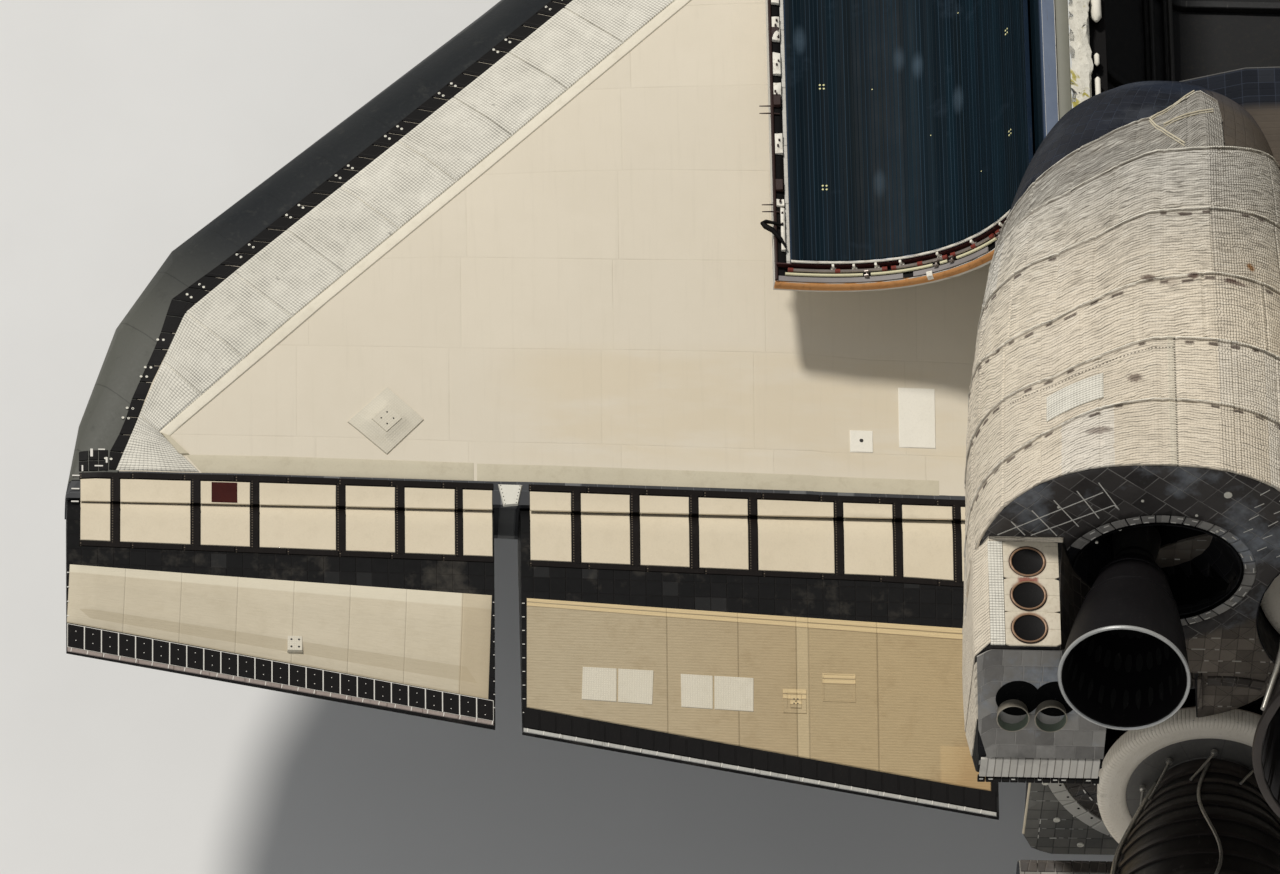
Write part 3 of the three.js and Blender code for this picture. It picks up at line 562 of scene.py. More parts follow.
def assign_all():
    M = MATS
    M["felt"] = mat_felt()
    M["blanket"] = mat_blanket("fuselage_blanket", srgb(196, 192, 182), srgb(218, 214, 204))
    M["fin"] = mat_blanket("fin_blanket", srgb(198, 194, 184), srgb(220, 216, 206), 24.0, 26.0, belly=False)
    M["tiles"] = mat_tiles("dark_tiles", srgb(24, 25, 27), srgb(56, 58, 62), srgb(100, 101, 102))
    M["base_tiles"] = mat_tiles("base_tiles", srgb(30, 30, 31), srgb(78, 76, 73), srgb(118, 114, 106))
    M["carbon"] = mat_carbon("edge_carbon", srgb(52, 53, 50), srgb(82, 83, 78))
    M["nose"] = mat_carbon("nose_carbon", srgb(60, 60, 58), srgb(96, 96, 92))
    # bay liner cloth given near-black colours as painted shade; the real liner is pale
    M["liner"] = mat_cloth("bay_liner", srgb(10, 10, 11), srgb(22, 22, 22), srgb(34, 32, 28))
    M["rail"] = mat_metal("rail_metal", srgb(170, 172, 170), srgb(205, 206, 202), 0.45, 0.5)
    M["tube"] = mat_metal("torque_tube", srgb(120, 122, 124), srgb(160, 162, 164), 0.4, 0.9)
    M["radiator"] = mat_metal("radiator_face", srgb(20, 34, 50), srgb(34, 52, 72), 0.3, 0.3)
    M["bell"] = mat_metal("engine_bell", srgb(30, 28, 27), srgb(58, 54, 50), 0.45, 0.7, 0.6)
    M["niobium"] = mat_metal("small_nozzle", srgb(22, 22, 22), srgb(44, 43, 41), 0.5, 0.4)
    M["tyre"] = mat_plain("tyre_rubber", srgb(24, 24, 25), srgb(44, 43, 43), 0.8, 2.0)
    M["gear"] = mat_plain("gear_paint", srgb(186, 188, 188), srgb(216, 217, 216), 0.45)
    M["glass"] = mat_plain("pane", srgb(14, 16, 19), srgb(24, 27, 31), 0.14, 0.3)
    M["white"] = mat_cloth("white_cloth", srgb(212, 208, 196), srgb(232, 228, 218))
    table = {
        "felt": "wing_port wing_starboard", "carbon": "leading_edge_port leading_edge_starboard", "nose": "nose_cap",
        "blanket": "forward_rcs_module forward_fuselage mid_fuselage aft_fuselage payload_door_port payload_door_starboard",
        "fin": "vertical_fin speedbrake_panel_port speedbrake_panel_starboard",
        "tiles": "side_hatch body_flap main_gear_door_port main_gear_door_starboard nose_gear_door_port nose_gear_door_starboard",
        "base_tiles": "base_heat_shield", "rail": "sill_rail_port sill_rail_starboard", "tube": "rudder_torque_tube",
        "core": "oms_pod_port oms_pod_starboard",
        "black": "elevon_inboard_port elevon_inboard_starboard elevon_outboard_port elevon_outboard_starboard",
        "radiator": "radiator_forward_port radiator_forward_starboard radiator_aft_port radiator_aft_starboard",
        "bell": "main_engine_top main_engine_port main_engine_starboard", "niobium": "oms_nozzle_port oms_nozzle_starboard",
        "tyre": "main_tyre_outboard_port main_tyre_outboard_starboard main_tyre_inboard_port main_tyre_inboard_starboard nose_tyre_port nose_tyre_starboard",
        "gear": "main_axle_port main_axle_starboard nose_axle main_gear_leg_port main_gear_leg_starboard nose_gear_leg nose_gear_fork",
        "glass": "windshield_glass",
    }
    M["core"] = mat_tiles("pod_under_tiles", srgb(15, 15, 16), srgb(30, 30, 32), srgb(44, 44, 45), odds=0.05)
    M["black"] = mat_tiles("elevon_black_tiles", srgb(7, 7, 7), srgb(17, 16, 16), srgb(30, 28, 27), odds=0.05)
    for m, names in table.items():
        for n in names.split():
            paint(n, M[m])
            soften(n)


assign_all()


# ------------------------------------------------------------------ building pieces in stations
class Drape:
    """Height of CAD nodes' upper faces over a plan point, or how far out a ray meets them."""

    def __init__(self, *nodes):
        verts, polys = [], []
        for n in nodes:
            me = NODES[n].data
            base = len(verts)
            verts += [tuple(p) for p in back_to_station([v.co for v in me.vertices])]
            polys += [tuple(base + i for i in p.vertices) for p in me.polygons]
        self.tree = BVHTree.FromPolygons(verts, polys)

    def z(self, x, y, default=None):
        for dx, dy in ((0, 0), (0.4, 0), (-0.4, 0), (0, 0.4), (0, -0.4), (1.2, 0), (-1.2, 0), (0, 1.2), (0, -1.2), (3, 0), (-3, 0), (0, -3)):
            hit = self.tree.ray_cast(Vector((x + dx, y + dy, 900)), Vector((0, 0, -1)))[0]
            if hit is not None:
                return hit.z
        return default

    def near(self, p):
        loc, nor, _, _ = self.tree.find_nearest(Vector(p))
        return np.array(loc), np.array(nor)

    def cast(self, p, d):
        loc, nor, _, _ = self.tree.ray_cast(Vector(p), Vector(d).normalized())
        return (None, None) if loc is None else (np.array(loc), np.array(nor))


def unit(v):
    v = np.asarray(v, float)
    return v / (np.linalg.norm(v) + 1e-12)


def along_line(line, n):
    """n points evenly spaced along a polyline of stations."""
    line = np.asarray(line, float)
    d = np.r_[0, np.cumsum(np.linalg.norm(np.diff(line, axis=0), axis=1))]
    t = np.linspace(0, d[-1], n)
    return np.stack([np.interp(t, d, line[:, k]) for k in range(line.shape[1])], 1)


class Builder:
    """Collects faces in station inches, with each vertex's own pattern coordinate, then makes one piece or a mirrored pair."""

    def __init__(self):
        self.v, self.f, self.c, self.m = [], [], [], []

    def add(self, verts, faces, coords=None, mat=0):
        base = len(self.v)
        self.v += [tuple(map(float, p)) for p in verts]
        self.c += [tuple(map(float, p)) for p in (coords if coords is not None else verts)]
        self.f += [tuple(base + i for i in f) for f in faces]
        self.m += [mat] * len(faces)
        return base

    # a plate laid on a surface: corners are four plan points, profile is (distance from the edge, height)
    def plate(self, drape, corners, profile=((0, 0.05), (0.3, 0.3)), n=(4, 4), mat=0, tag=0.0, sink=0.8, zf=None, wave=None):
        a, b, c, d = (np.asarray(p, float) for p in corners)
        w = 0.5 * (np.linalg.norm(b - a) + np.linalg.norm(c - d))
        h = 0.5 * (np.linalg.norm(d - a) + np.linalg.norm(c - b))
        ds = [p[0] for p in profile]

        def lines(size, k):
            edge = [q for q in ds if q < size / 2 - 1e-6]
            inner = np.linspace(edge[-1], size - edge[-1], k + 1)
            return sorted(set([round(q, 5) for q in edge + list(inner) + [size - q for q in edge]]))

        us, vs = lines(w, n[0]), lines(h, n[1])
        verts, coords = [], []
        for q in vs:
            t = q / h
            for p in us:
                s = p / w
                xy = (a * (1 - s) + b * s) * (1 - t) + (d * (1 - s) + c * s) * t
                dist = min(p, w - p, q, h - q)
                top = np.interp(dist, ds, [k[1] for k in profile])
                if wave is not None:
                    top += wave(p, q, dist)
                z = zf(xy[0], xy[1]) if zf else drape.z(xy[0], xy[1], 0.0)
                verts.append((xy[0], xy[1], z + top))
                coords.append((p, q, tag))
        nu, nv = len(us), len(vs)
        faces = grid_faces(nu, nv)
        ring = [i for i in range(nu)] + [j * nu + nu - 1 for j in range(1, nv)] + [(nv - 1) * nu + i for i in range(nu - 2, -1, -1)] + [j * nu for j in range(nv - 2, 0, -1)]
        base = len(verts)
        for i in ring:
            x, y, z = verts[i]
            z0 = (zf(x, y) if zf else drape.z(x, y, z)) - sink
            verts.append((x, y, z0))
            coords.append(coords[i])
        k = len(ring)
        faces += [(ring[i], ring[(i + 1) % k], base + (i + 1) % k, base + i) for i in range(k)]
        self.add(verts, faces, coords, mat)

    # a strip between two plan polylines, laid on a surface
    def strip(self, drape, left, right, profile=((0, 0.05), (0.3, 0.3)), n=(8, 60), mat=0, tag=0.0, sink=0.8):
        L, R = along_line(left, n[1] + 1), along_line(right, n[1] + 1)
        run = np.r_[0, np.cumsum(np.linalg.norm(np.diff((L + R) / 2, axis=0), axis=1))]
        ds, hs = [p[0] for p in profile], [p[1] for p in profile]
        verts, coords, nu = [], [], None
        width0 = np.mean(np.linalg.norm(R - L, axis=1))
        edge = [q for q in ds if q < width0 / 2]
        us = sorted(set(np.round(edge + list(np.linspace(edge[-1], width0 - edge[-1], n[0] + 1)) + [width0 - q for q in edge], 5)))
        nu = len(us)
        for j in range(n[1] + 1):
            w = np.linalg.norm(R[j] - L[j])
            for u in us:
                s = u / width0
                xy = L[j] * (1 - s) + R[j] * s
                dist = min(u, width0 - u, run[j] + 0.0, run[-1] - run[j])
                verts.append((xy[0], xy[1], drape.z(xy[0], xy[1], 0.0) + np.interp(dist, ds, hs)))
                coords.append((s * w, run[j], tag))
        faces = grid_faces(nu, n[1] + 1)
        ring = [i for i in range(nu)] + [j * nu + nu - 1 for j in range(1, n[1] + 1)] + [n[1] * nu + i for i in range(nu - 2, -1, -1)] + [j * nu for j in range(n[1] - 1, 0, -1)]
        base = len(verts)
        for i in ring:
            x, y, z = verts[i]
            verts.append((x, y, z - sink - 0.3))
            coords.append(coords[i])
        k = len(ring)
        faces += [(ring[i], ring[(i + 1) % k], base + (i + 1) % k, base + i) for i in range(k)]
        self.add(verts, faces, coords, mat)

    # a chamfered block: centre, three unit axes, half sizes
    def block(self, c, axes, half, chamfer=0.15, mat=0, tag=0.0):
        c = np.asarray(c, float)
        axes = [unit(a) for a in axes]
        half = np.asarray(half, float)
        ch = min(chamfer, 0.45 * half.min())
        verts, index = [], {}
        for sx in (-1, 1):
            for sy in (-1, 1):
                for sz in (-1, 1):
                    for k in range(3):
                        q = np.array([sx, sy, sz]) * half
                        for j in range(3):
                            if j != k:
                                q[j] -= np.array([sx, sy, sz])[j] * ch
                        index[(sx, sy, sz, k)] = len(verts)
                        verts.append(c + sum(q[j] * axes[j] for j in range(3)))
        faces = []
        for k in range(3):
            i, j = [m for m in range(3) if m != k]
            for s in (-1, 1):
                order = [(-1, -1), (1, -1), (1, 1), (-1, 1)]
                f = []
                for p, q in order:
                    sg = [0, 0, 0]
                    sg[k], sg[i], sg[j] = s, p, q
                    f.append(index[(*sg, k)])
                faces.append(f)
        for k in range(3):
            i, j = [m for m in range(3) if m != k]
            for p in (-1, 1):
                for q in (-1, 1):
                    def at(s, kk):
                        sg = [0, 0, 0]
                        sg[k], sg[i], sg[j] = s, p, q
                        return index[(*sg, kk)]
                    faces.append([at(-1, i), at(1, i), at(1, j), at(-1, j)])
        for sx in (-1, 1):
            for sy in (-1, 1):
                for sz in (-1, 1):
                    faces.append([index[(sx, sy, sz, k)] for k in range(3)])
        self.add(verts, faces, [(*(np.asarray(v) - c)[:2], tag) for v in verts], mat)

    # a tube along points, round or with caps
    def tube(self, pts, r, sides=8, mat=0, tag=0.0, cap=True):
        pts = np.asarray(pts, float)
        rs = np.broadcast_to(np.asarray(r, float), (len(pts),))
        verts, coords, run = [], [], 0.0
        t = np.gradient(pts, axis=0)
        ref = np.array([0.0, 0.0, 1.0]) if abs(unit(t[0])[2]) < 0.9 else np.array([1.0, 0.0, 0.0])
        for k, p in enumerate(pts):
            d = unit(t[k])
            a = unit(np.cross(d, ref))
            b = np.cross(d, a)
            if k:
                run += np.linalg.norm(p - pts[k - 1])
            for i in range(sides):
                q = 2 * math.pi * i / sides
                verts.append(p + rs[k] * (math.cos(q) * a + math.sin(q) * b))
                coords.append((run, q * rs[k], tag))
        faces = grid_faces(sides, len(pts), wrap_u=True)
        if cap:
            faces += [tuple(range(sides - 1, -1, -1)), tuple((len(pts) - 1) * sides + i for i in range(sides))]
        self.add(verts, faces, coords, mat)

    # a turned shape: profile of (radius, along) about the line from a in direction d
    def lathe(self, a, d, profile, sides=32, mat=0, tag=0.0, wobble=0.0, arc=(0.0, 360.0)):
        a, d = np.asarray(a, float), unit(d)
        ref = np.array([0.0, 0.0, 1.0]) if abs(d[2]) < 0.9 else np.array([1.0, 0.0, 0.0])
        e1 = unit(np.cross(ref, d))
        e2 = np.cross(d, e1)
        full = abs(arc[1] - arc[0] - 360) < 1e-6
        n = sides if full else sides + 1
        verts, coords, run = [], [], 0.0
        for k, (r, s) in enumerate(profile):
            if k:
                run += math.hypot(r - profile[k - 1][0], s - profile[k - 1][1])
            for i in range(n):
                q = math.radians(arc[0] + (arc[1] - arc[0]) * i / sides)
                verts.append(a + d * s + r * (math.cos(q) * e1 + math.sin(q) * e2))
                coords.append((run, math.degrees(q), tag))
        self.add(verts, grid_faces(n, len(profile), wrap_u=full), coords, mat)

    # a rivet or fastener head on a surface
    def stud(self, p, normal, r, h, sides=8, mat=0, tag=0.0):
        n = unit(normal)
        self.lathe(np.asarray(p, float) - n * 0.1, n, [(r, 0), (r, 0.1 + h * 0.5), (r * 0.6, 0.1 + h), (0.001, 0.1 + h)], sides, mat, tag)

    def make(self, name, body, slot, mats, smooth=35.0, mirror=False):
        v = np.array(self.v, float)
        if mirror:
            v = v * np.array([1, -1, 1])
        mats = mats if isinstance(mats, (list, tuple)) else [mats]
        ob = mesh_piece(name, T(v[:, 0], v[:, 1], v[:, 2]), self.f, body, slot, mats[0], smooth, self.c, mats[1:], self.m)
        # the finest pieces are thinned where they are flat
        tris = sum(len(f) - 2 for f in self.f)
        if ob is not None and tris > 6000:
            thin = ob.modifiers.new("thin", "DECIMATE")
            thin.ratio = (6000 + 0.2 * (tris - 6000)) / tris
        return ob

    def pair(self, name, body, slot, mats, smooth=35.0):
        """name and body may hold {s} for the side."""
        out = []
        for side, k in SIDES:
            nm = name.format(s=side) if "{s}" in name else f"{name}_{side}"
            out.append(self.make(nm, body.format(s=side), slot, mats, smooth, mirror=k < 0))
        return out


# ------------------------------------------------------------------ wing and elevon surfaces
def hinge_z(y):
    return 294 + (309 - 294) * (np.clip(y, 119, 468) - 119) / 349


def hinge_r(y):
    return 15.5 + (7 - 15.5) * (np.clip(y, 119, 468) - 119) / 349


def wing_mats():
    M = MATS
    # quilted white blankets behind the carbon edge: own = (along, across, tag)
    g = Graph("quilt_white", Roughness=0.9)
    p, q, tag = g.attr("own")
    sv = g.station_vector()
    n1, n2, n3 = g.noise(sv, 0.02, 4, 0.6), g.noise(sv, 0.11, 4, 0.65), g.noise(sv, 1.1, 3, 0.7)
    # the groove and cross lines are darkened as painted crease shade, more where deep is high
    groove = g.line(p, 1.15, 0.34, soft=0.22)
    cross = g.line(q, 1.15, 0.30, soft=0.22)
    deep = (n2 - 0.28).clamp() * 1.9
    c = g.mix(n1, srgb(216, 211, 196), srgb(234, 229, 215))
    c = g.tint(c, g.white(g.vec(tag, 1.0, 2.0)) * 0.05 + 0.97)
    c = g.mix(groove * deep * 0.80, c, srgb(66, 62, 55))
    c = g.mix(cross * deep * 0.42, c, srgb(96, 90, 80))
    smudge = g.noise(g.vec(p * 0.35, q * 0.11, tag * 3.0), 1.0, 3, 0.7).above(0.70, 0.035)
    c = g.mix(smudge * 0.55, c, srgb(60, 56, 50))
    c = g.mix((n3 - 0.55).clamp() * 0.5, c, srgb(150, 142, 124))
    h = groove * -0.9 + cross * -0.6 + n2 * 0.5
    M["quilt"] = g.finish(c, None, g.bump(h, 0.8, 0.008))

    # smooth coated felt strips and patches
    def felt_plate(name, a, b, stain=0.25, weave=0.0):
        g = Graph(name, Roughness=0.86)
        p, q, tag = g.attr("own")
        sv = g.station_vector()
        n1, n2, n3 = g.noise(sv, 0.03, 4, 0.6), g.noise(sv, 0.16, 5, 0.7), g.noise(sv, 1.4, 3, 0.6)
        c = g.mix(n1, a, b)
        c = g.mix((n2 - 0.5).clamp() * stain * 3.0, c, srgb(150, 136, 108))
        c = g.mix((n3 - 0.5).clamp() * 0.35, c, srgb(140, 130, 110))
        h = n3 * 0.3 + n2 * 0.5
        if weave:
            w = g.line(p, 0.9, 0.3, soft=0.3).max(g.line(q, 0.9, 0.3, soft=0.3))
            c = g.mix(w * weave, c, srgb(120, 110, 90))
            h = h - w * 0.4
        return g.finish(c, None, g.bump(h, 0.5, 0.008))

    M["cream"] = felt_plate("cream_felt", srgb(218, 209, 188), srgb(229, 221, 202))
    M["grey_felt"] = felt_plate("grey_felt", srgb(186, 176, 152), srgb(203, 194, 170), 0.4)
    M["new_felt"] = felt_plate("new_felt", srgb(226, 220, 204), srgb(234, 228, 214), 0.1)
    M["weave_patch"] = felt_plate("weave_patch", srgb(205, 197, 176), srgb(216, 208, 190), 0.2, 0.12)
    M["seal_panel"] = felt_plate("seal_panel", srgb(207, 193, 166), srgb(218, 205, 180), 0.16)

    # black tiles and frames
    def black(name, a, b, dots=False, tiles=0.0, rough=0.55):
        g = Graph(name, Roughness=rough, **{"Specular IOR Level": 0.08})
        p, q, tag = g.attr("own")
        sv = g.station_vector()
        n1, n2 = g.noise(sv, 0.12, 5, 0.65), g.noise(sv, 0.9, 4, 0.7)
        c = g.mix(n1, a, b)
        h = n2 * 0.3
        c = g.mix((n2 - 0.62).clamp() * 1.2, c, srgb(86, 80, 72))
        if tiles:
            gap = g.line(q, tiles, 0.22, soft=0.12).max(g.line(p, tiles, 0.22, soft=0.12))
            odd = g.cell(p, q, tiles, tiles, seed=3.0)
            c = g.mix(odd * 0.35, c, srgb(26, 24, 23))
            c = g.mix(gap * 0.7, c, srgb(40, 38, 36))
            h = h - gap * 0.8
        if dots:
            d = ((g.to_line(p, 1.1, 0.0).pow(2.0) + (q - 0.55).pow(2.0)).pow(0.5)).below(0.22, 0.1)
            c = g.mix(d * 0.75, c, srgb(120, 108, 92))
        return g.finish(c, n1 * 0.2 + rough - 0.1, g.bump(h, 0.4, 0.008))

    M["black_tile"] = black("black_tile", srgb(9, 8, 8), srgb(20, 19, 18), tiles=6.0)
    M["black_plain"] = black("black_plain", srgb(13, 12, 12), srgb(24, 22, 21))
    M["black_rivet"] = black("black_rivet", srgb(15, 12, 11), srgb(28, 23, 20), dots=True, rough=0.45)
    M["maroon"] = black("maroon_patch", srgb(46, 14, 11), srgb(70, 24, 18))
    M["tick"] = mat_plain("white_filler", srgb(206, 202, 192), srgb(226, 222, 212), 0.75, 2.0)
    M["white_metal"] = mat_plain("white_metal", srgb(208, 204, 190), srgb(226, 222, 208), 0.5, 1.0)
    M["dot_dark"] = mat_plain("dark_dot", srgb(24, 22, 20), srgb(44, 40, 36), 0.6, 3.0)
    M["edge_metal"] = mat_metal("edge_metal", srgb(120, 106, 98), srgb(158, 146, 138), 0.45, 0.35)
    M["edge_metal2"] = mat_metal("edge_metal_inboard", srgb(150, 148, 142), srgb(190, 188, 180), 0.42, 0.35)

    # outboard elevon blanket: p from the front edge, q from the tip
    g = Graph("elevon_blanket", Roughness=0.88)
    p, q, tag = g.attr("own")
    sv = g.station_vector()
    n1, n2, n3 = g.noise(sv, 0.02, 4, 0.6), g.noise(sv, 0.12, 5, 0.7), g.noise(g.vec(p * 1.6, q * 0.14, 0.0), 1.0, 4, 0.65)
    c = g.mix(n1, srgb(186, 174, 149), srgb(208, 197, 174))
    c = g.mix((n3 - 0.42).clamp() * 0.55, c, srgb(158, 146, 120))
    c = g.mix((n2 - 0.5).clamp() * 0.8, c, srgb(160, 146, 116))
    sheet = g.cell(q, p, 21.0, 500.0, seed=4.0)
    c = g.tint(c, sheet * 0.06 + 0.97)
    seam = g.line(q, 21.0, 0.3, soft=0.25)
    c = g.mix(seam * 0.16, c, srgb(140, 130, 108))
    front = p.below(4.6, 0.4)
    c = g.mix(front * 0.5, c, srgb(222, 214, 192))
    # painted shade: surfaces that face aft, away from the key light, are darkened
    bev = g.normal()[0]
    c = g.mix(bev.below(-0.13, 0.05) * 0.45, c, srgb(168, 154, 126))
    inb = q.above(146.5, 0.5)
    c = g.mix(inb * 0.55, c, srgb(178, 160, 128))
    h = n3 * 0.6 + n2 * 0.4 - seam * 0.8
    M["elevon_out"] = g.finish(c, None, g.bump(h, 0.55, 0.01))

    # inboard elevon blanket
    g = Graph("elevon_blanket_inboard", Roughness=0.88)
    p, q, tag = g.attr("own")
    x, y, z = g.station()
    ay = y.abs()
    n1, n2 = g.noise(sv := g.station_vector(), 0.02, 4, 0.6), g.noise(sv, 0.10, 5, 0.7)
    weave = g.noise(g.vec(x * 2.6, ay * 0.16, 0.0), 1.0, 4, 0.7)
    inward = g.ramp01(ay, 300.0, 120.0)
    c = g.mix(inward, srgb(180, 165, 136), srgb(172, 148, 108))
    c = g.mix(g.ramp01(ay, 206, 188) * 0.35, c, srgb(180, 162, 126))
    c = g.mix((weave - 0.42).clamp() * 0.9, c, srgb(126, 108, 76))
    c = g.mix((n2 - 0.52).clamp() * 1.1, c, srgb(128, 104, 66))
    c = g.tint(c, n1 * 0.16 + 0.92)
    rows = g.line(x, 1.15, 0.3, soft=0.3)
    c = g.mix(rows * 0.14, c, srgb(96, 82, 58))
    seams = g.line(ay, 500, 0.5, at=196.3, soft=0.3).max(g.line(ay, 500, 0.5, at=191.8, soft=0.3)).max(g.line(ay, 500, 0.5, at=166.2, soft=0.3)).max(g.line(ay, 500, 0.4, at=244.5, soft=0.3)).max(g.line(ay, 500, 0.4, at=218.0, soft=0.3))
    c = g.mix(seams * 0.45, c, srgb(110, 94, 66))
    strip = ay.between(191.8, 196.3, 0.3)
    c = g.mix(strip * 0.35, c, srgb(206, 188, 150))
    stain = (x * 0.55 - ay - 690.0 + n2 * 26.0).above(0.0, 9.0)
    c = g.mix(stain * 0.65, c, srgb(122, 86, 44))
    pale = (x.above(1474.2, 0.6) * ay.below(143.4, 0.6))
    c = g.mix(pale * 0.35, c, srgb(206, 176, 126))
    band = p.below(1.9, 0.3) + p.between(2.3, 4.0, 0.25)
    c = g.mix(band.min(1.0) * 0.8, c, srgb(214, 190, 144))
    line = p.between(1.9, 2.3, 0.15) + p.between(4.0, 4.35, 0.15)
    c = g.mix(line.min(1.0) * 0.5, c, srgb(92, 74, 48))
    h = weave * 0.5 + n2 * 0.4 - seams * 0.8 - rows * 0.25
    M["elevon_in"] = g.finish(c, None, g.bump(h, 0.6, 0.01))


wing_mats()

EDGE_BACK = [(1003, 150), (1041.5, 173), (1275, 407.5), (1293.6, 429.1), (1312, 433), (1339.7, 444.2), (1352, 447.4), (1360, 450.4)]


def band_x(y):
    """Front line of the blankets on the elevons."""
    return np.interp(y, [135, 296.5, 310, 463], [1426, 1419.5, 1418.7, 1411.5])


def wing_details():
    M = MATS
    D = Drape("wing_port", "leading_edge_port")
    s2 = math.sqrt(2)

    def edge_b(s):
        return ((s * s2 + 876.5) / 2, (s * s2 - 876.5) / 2) if s < 1218.7 else (1299.9 + 70.1 * (s * s2 - 1723.3) / 96.1, 423.4 + 26 * (s * s2 - 1723.3) / 96.1)

    def edge_i(s):
        return ((s * s2 + 920.3) / 2, (s * s2 - 920.3) / 2)

    # quilted panels with ridges between them
    B = Builder()
    seams = [1263.5, 1241, 1218.75, 1193, 1165, 1136, 1105.2, 1075.5, 1045.5, 1015.5, 985.5, 955.5, 925.5, 895.5, 865.5, 838]
    prof = ((0, 0.1), (0.5, 0.62), (1.5, 0.72), (2.6, 0.38))
    rng = random.Random(5)
    for k in range(len(seams) - 1):
        s0, s1 = seams[k + 1], seams[k]
        a, b, c, d = edge_b(s0), edge_b(s1), edge_i(s1), edge_i(s0)
        ph = rng.random()
        wave = lambda p, q, dist: (0.20 * abs(math.sin(math.pi * p / 1.15)) - 0.1 + 0.10 * math.sin(q * 0.33 + ph * 6) * math.sin(p * 0.21 + ph * 9)) * min(1.0, max(0.0, (dist - 0.9) / 1.2))
        B.plate(D, (a, b, c, d), prof, (round((s1 - s0 - 5) / 0.575), 12), tag=float(k), wave=wave)
    B.plate(D, (edge_b(1263.5), (1370.0, 449.4), (1370.1, 418.3), edge_i(1263.6)), ((0, 0.1), (0.4, 0.5), (1.2, 0.45)), (30, 16), tag=20.0,
            wave=lambda p, q, dist: 0.16 * (abs(math.sin(math.pi * p / 1.15)) - 0.5) * min(1.0, dist / 1.5))
    B.pair("wing_quilt", "airframe", "wing_felt", M["quilt"])

    # plain border inboard of the quilt, felt strip and chevron along the aft edge
    B = Builder()
    left = [edge_i(s) for s in (838, 900, 1000, 1100, 1200, 1263.6)]
    right = [(x + 3.0, y - 3.4) for x, y in left[:-1]] + [(1355.4, 429.6)]
    B.strip(D, left, right, ((0, 0.15), (0.3, 0.5), (1.0, 0.55)), (3, 110), tag=1.0)
    B.pair("wing_border", "airframe", "wing_felt", M["cream"])
    B = Builder()
    B.plate(D, [(1362.9, 423.5), (1370.3, 417.5), (1370.3, 316), (1363.2, 316)], ((0, 0.05), (0.5, 0.22)), (3, 40))
    B.plate(D, [(1353.7, 433.0), (1355.4, 429.4), (1363.0, 421.8), (1363.2, 425.8)], ((0, 0.1), (0.4, 0.7)), (2, 6), tag=2.0)
    B.plate(D, [(1363.4, 314.8), (1370.3, 314.8), (1370.6, 142), (1364.5, 142)], ((0, 0.03), (0.5, 0.12)), (3, 40), tag=3.0)
    B.pair("wing_aft_felt", "airframe", "wing_felt", M["grey_felt"])

    # black tiles between carbon and quilt
    B = Builder()
    outer = [(1003, 150.5), (1041.5, 173.5), (1275, 408), (1293.6, 428.6), (1312, 433.4), (1339.7, 443.6), (1352, 446.8), (1361, 451.6), (1370, 452)]
    inner = [(1009.5, 141.5), (1046, 167.6), (1279, 402.5), (1299.9, 423.4), (1316, 429.4), (1333.3, 436.4), (1350, 442.0), (1362, 446.4), (1370, 449.3)]
    lo, li = along_line(outer, 61), along_line(inner, 61)
    for k in range(60):
        a, b, c, d = lo[k], lo[k + 1], li[k + 1], li[k]
        g = 0.14
        sh = lambda p, q: (p + (q - p) * g / (np.linalg.norm(q - p) + 1e-6))
        B.plate(D, (sh(a, b), sh(b, a), sh(c, d), sh(d, c)), ((0, 0.05), (0.12, 0.3 + 0.07 * rng.random())), (3, 2), tag=float(k))
    # tiles aft of the last carbon panel, and the tip cap
    for j in range(3):
        for i in range(2):
            x0, y0 = 1361.3 + i * 4.6, 452.2 + j * 3.7
            B.plate(D, [(x0 + .1, y0 + .1), (x0 + 4.4, y0 + .1), (x0 + 4.4, y0 + 3.5), (x0 + .1, y0 + 3.5)], ((0, 0.05), (0.12, 0.34)), (2, 2), tag=90.0 + 3 * i + j)
    B.pair("edge_tiles", "airframe", "wing_felt", M["black_tile"])

    # fittings: two pairs of pale ringed fasteners at every carbon joint
    B = Builder()
    joints = [1209, 1182.5, 1156, 1129.5, 1103, 1074, 1044.5, 1016, 988, 960, 932, 904, 876, 848]
    spots = []
    for s in joints:
        for ds in (-3.3, 3.3):
            x, y = edge_b(s + ds)
            ex, ey = x - 3.0, y + 3.0
            spots += [(ex - 0.75, ey + 0.75), (ex + 0.75, ey - 0.75)]
    for t in (0.18, 0.36, 0.42, 0.62, 0.68, 0.93):
        x, y = 1299.9 + 70.1 * t, 423.4 + 26 * t + 4.6
        spots += [(x, y + 1.1), (x + 0.3, y - 1.0)]
    for x, y in spots:
        z = D.z(x, y, 320)
        B.lathe((x, y, z + 0.2), (0, 0, 1), [(0.52, 0), (0.52, 0.24), (0.3, 0.26), (0.26, 0.16), (0.001, 0.16)], 10)
    B.pair("edge_fasteners", "airframe", "rail_metal", M["white_metal"])

    # white filler ticks round the tip cap
    B = Builder()
    for x, y, dx, dy in ((1362.5, 458.4, 3.4, -0.8), (1365.8, 452.8, 2.4, 0.5), (1368.3, 455.7, 0.4, 3.0), (1361.2, 454.7, 0.4, 2.4), (1372.3, 463.9, 0.4, 3.2), (1378.4, 464.4, 0.4, 2.8),
                         (1384.2, 464.6, 0.4, 2.6), (1369.2, 461.8, 2.6, 0.4)):
        z = D.z(x, y, 315)
        B.block((x, y, z + 0.35), [(1, 0, 0), (0, 1, 0), (0, 0, 1)], (abs(dx) / 2 + .1, abs(dy) / 2 + .1, 0.12), 0.06)
    B.pair("tip_ticks", "airframe", "wing_felt", M["tick"])

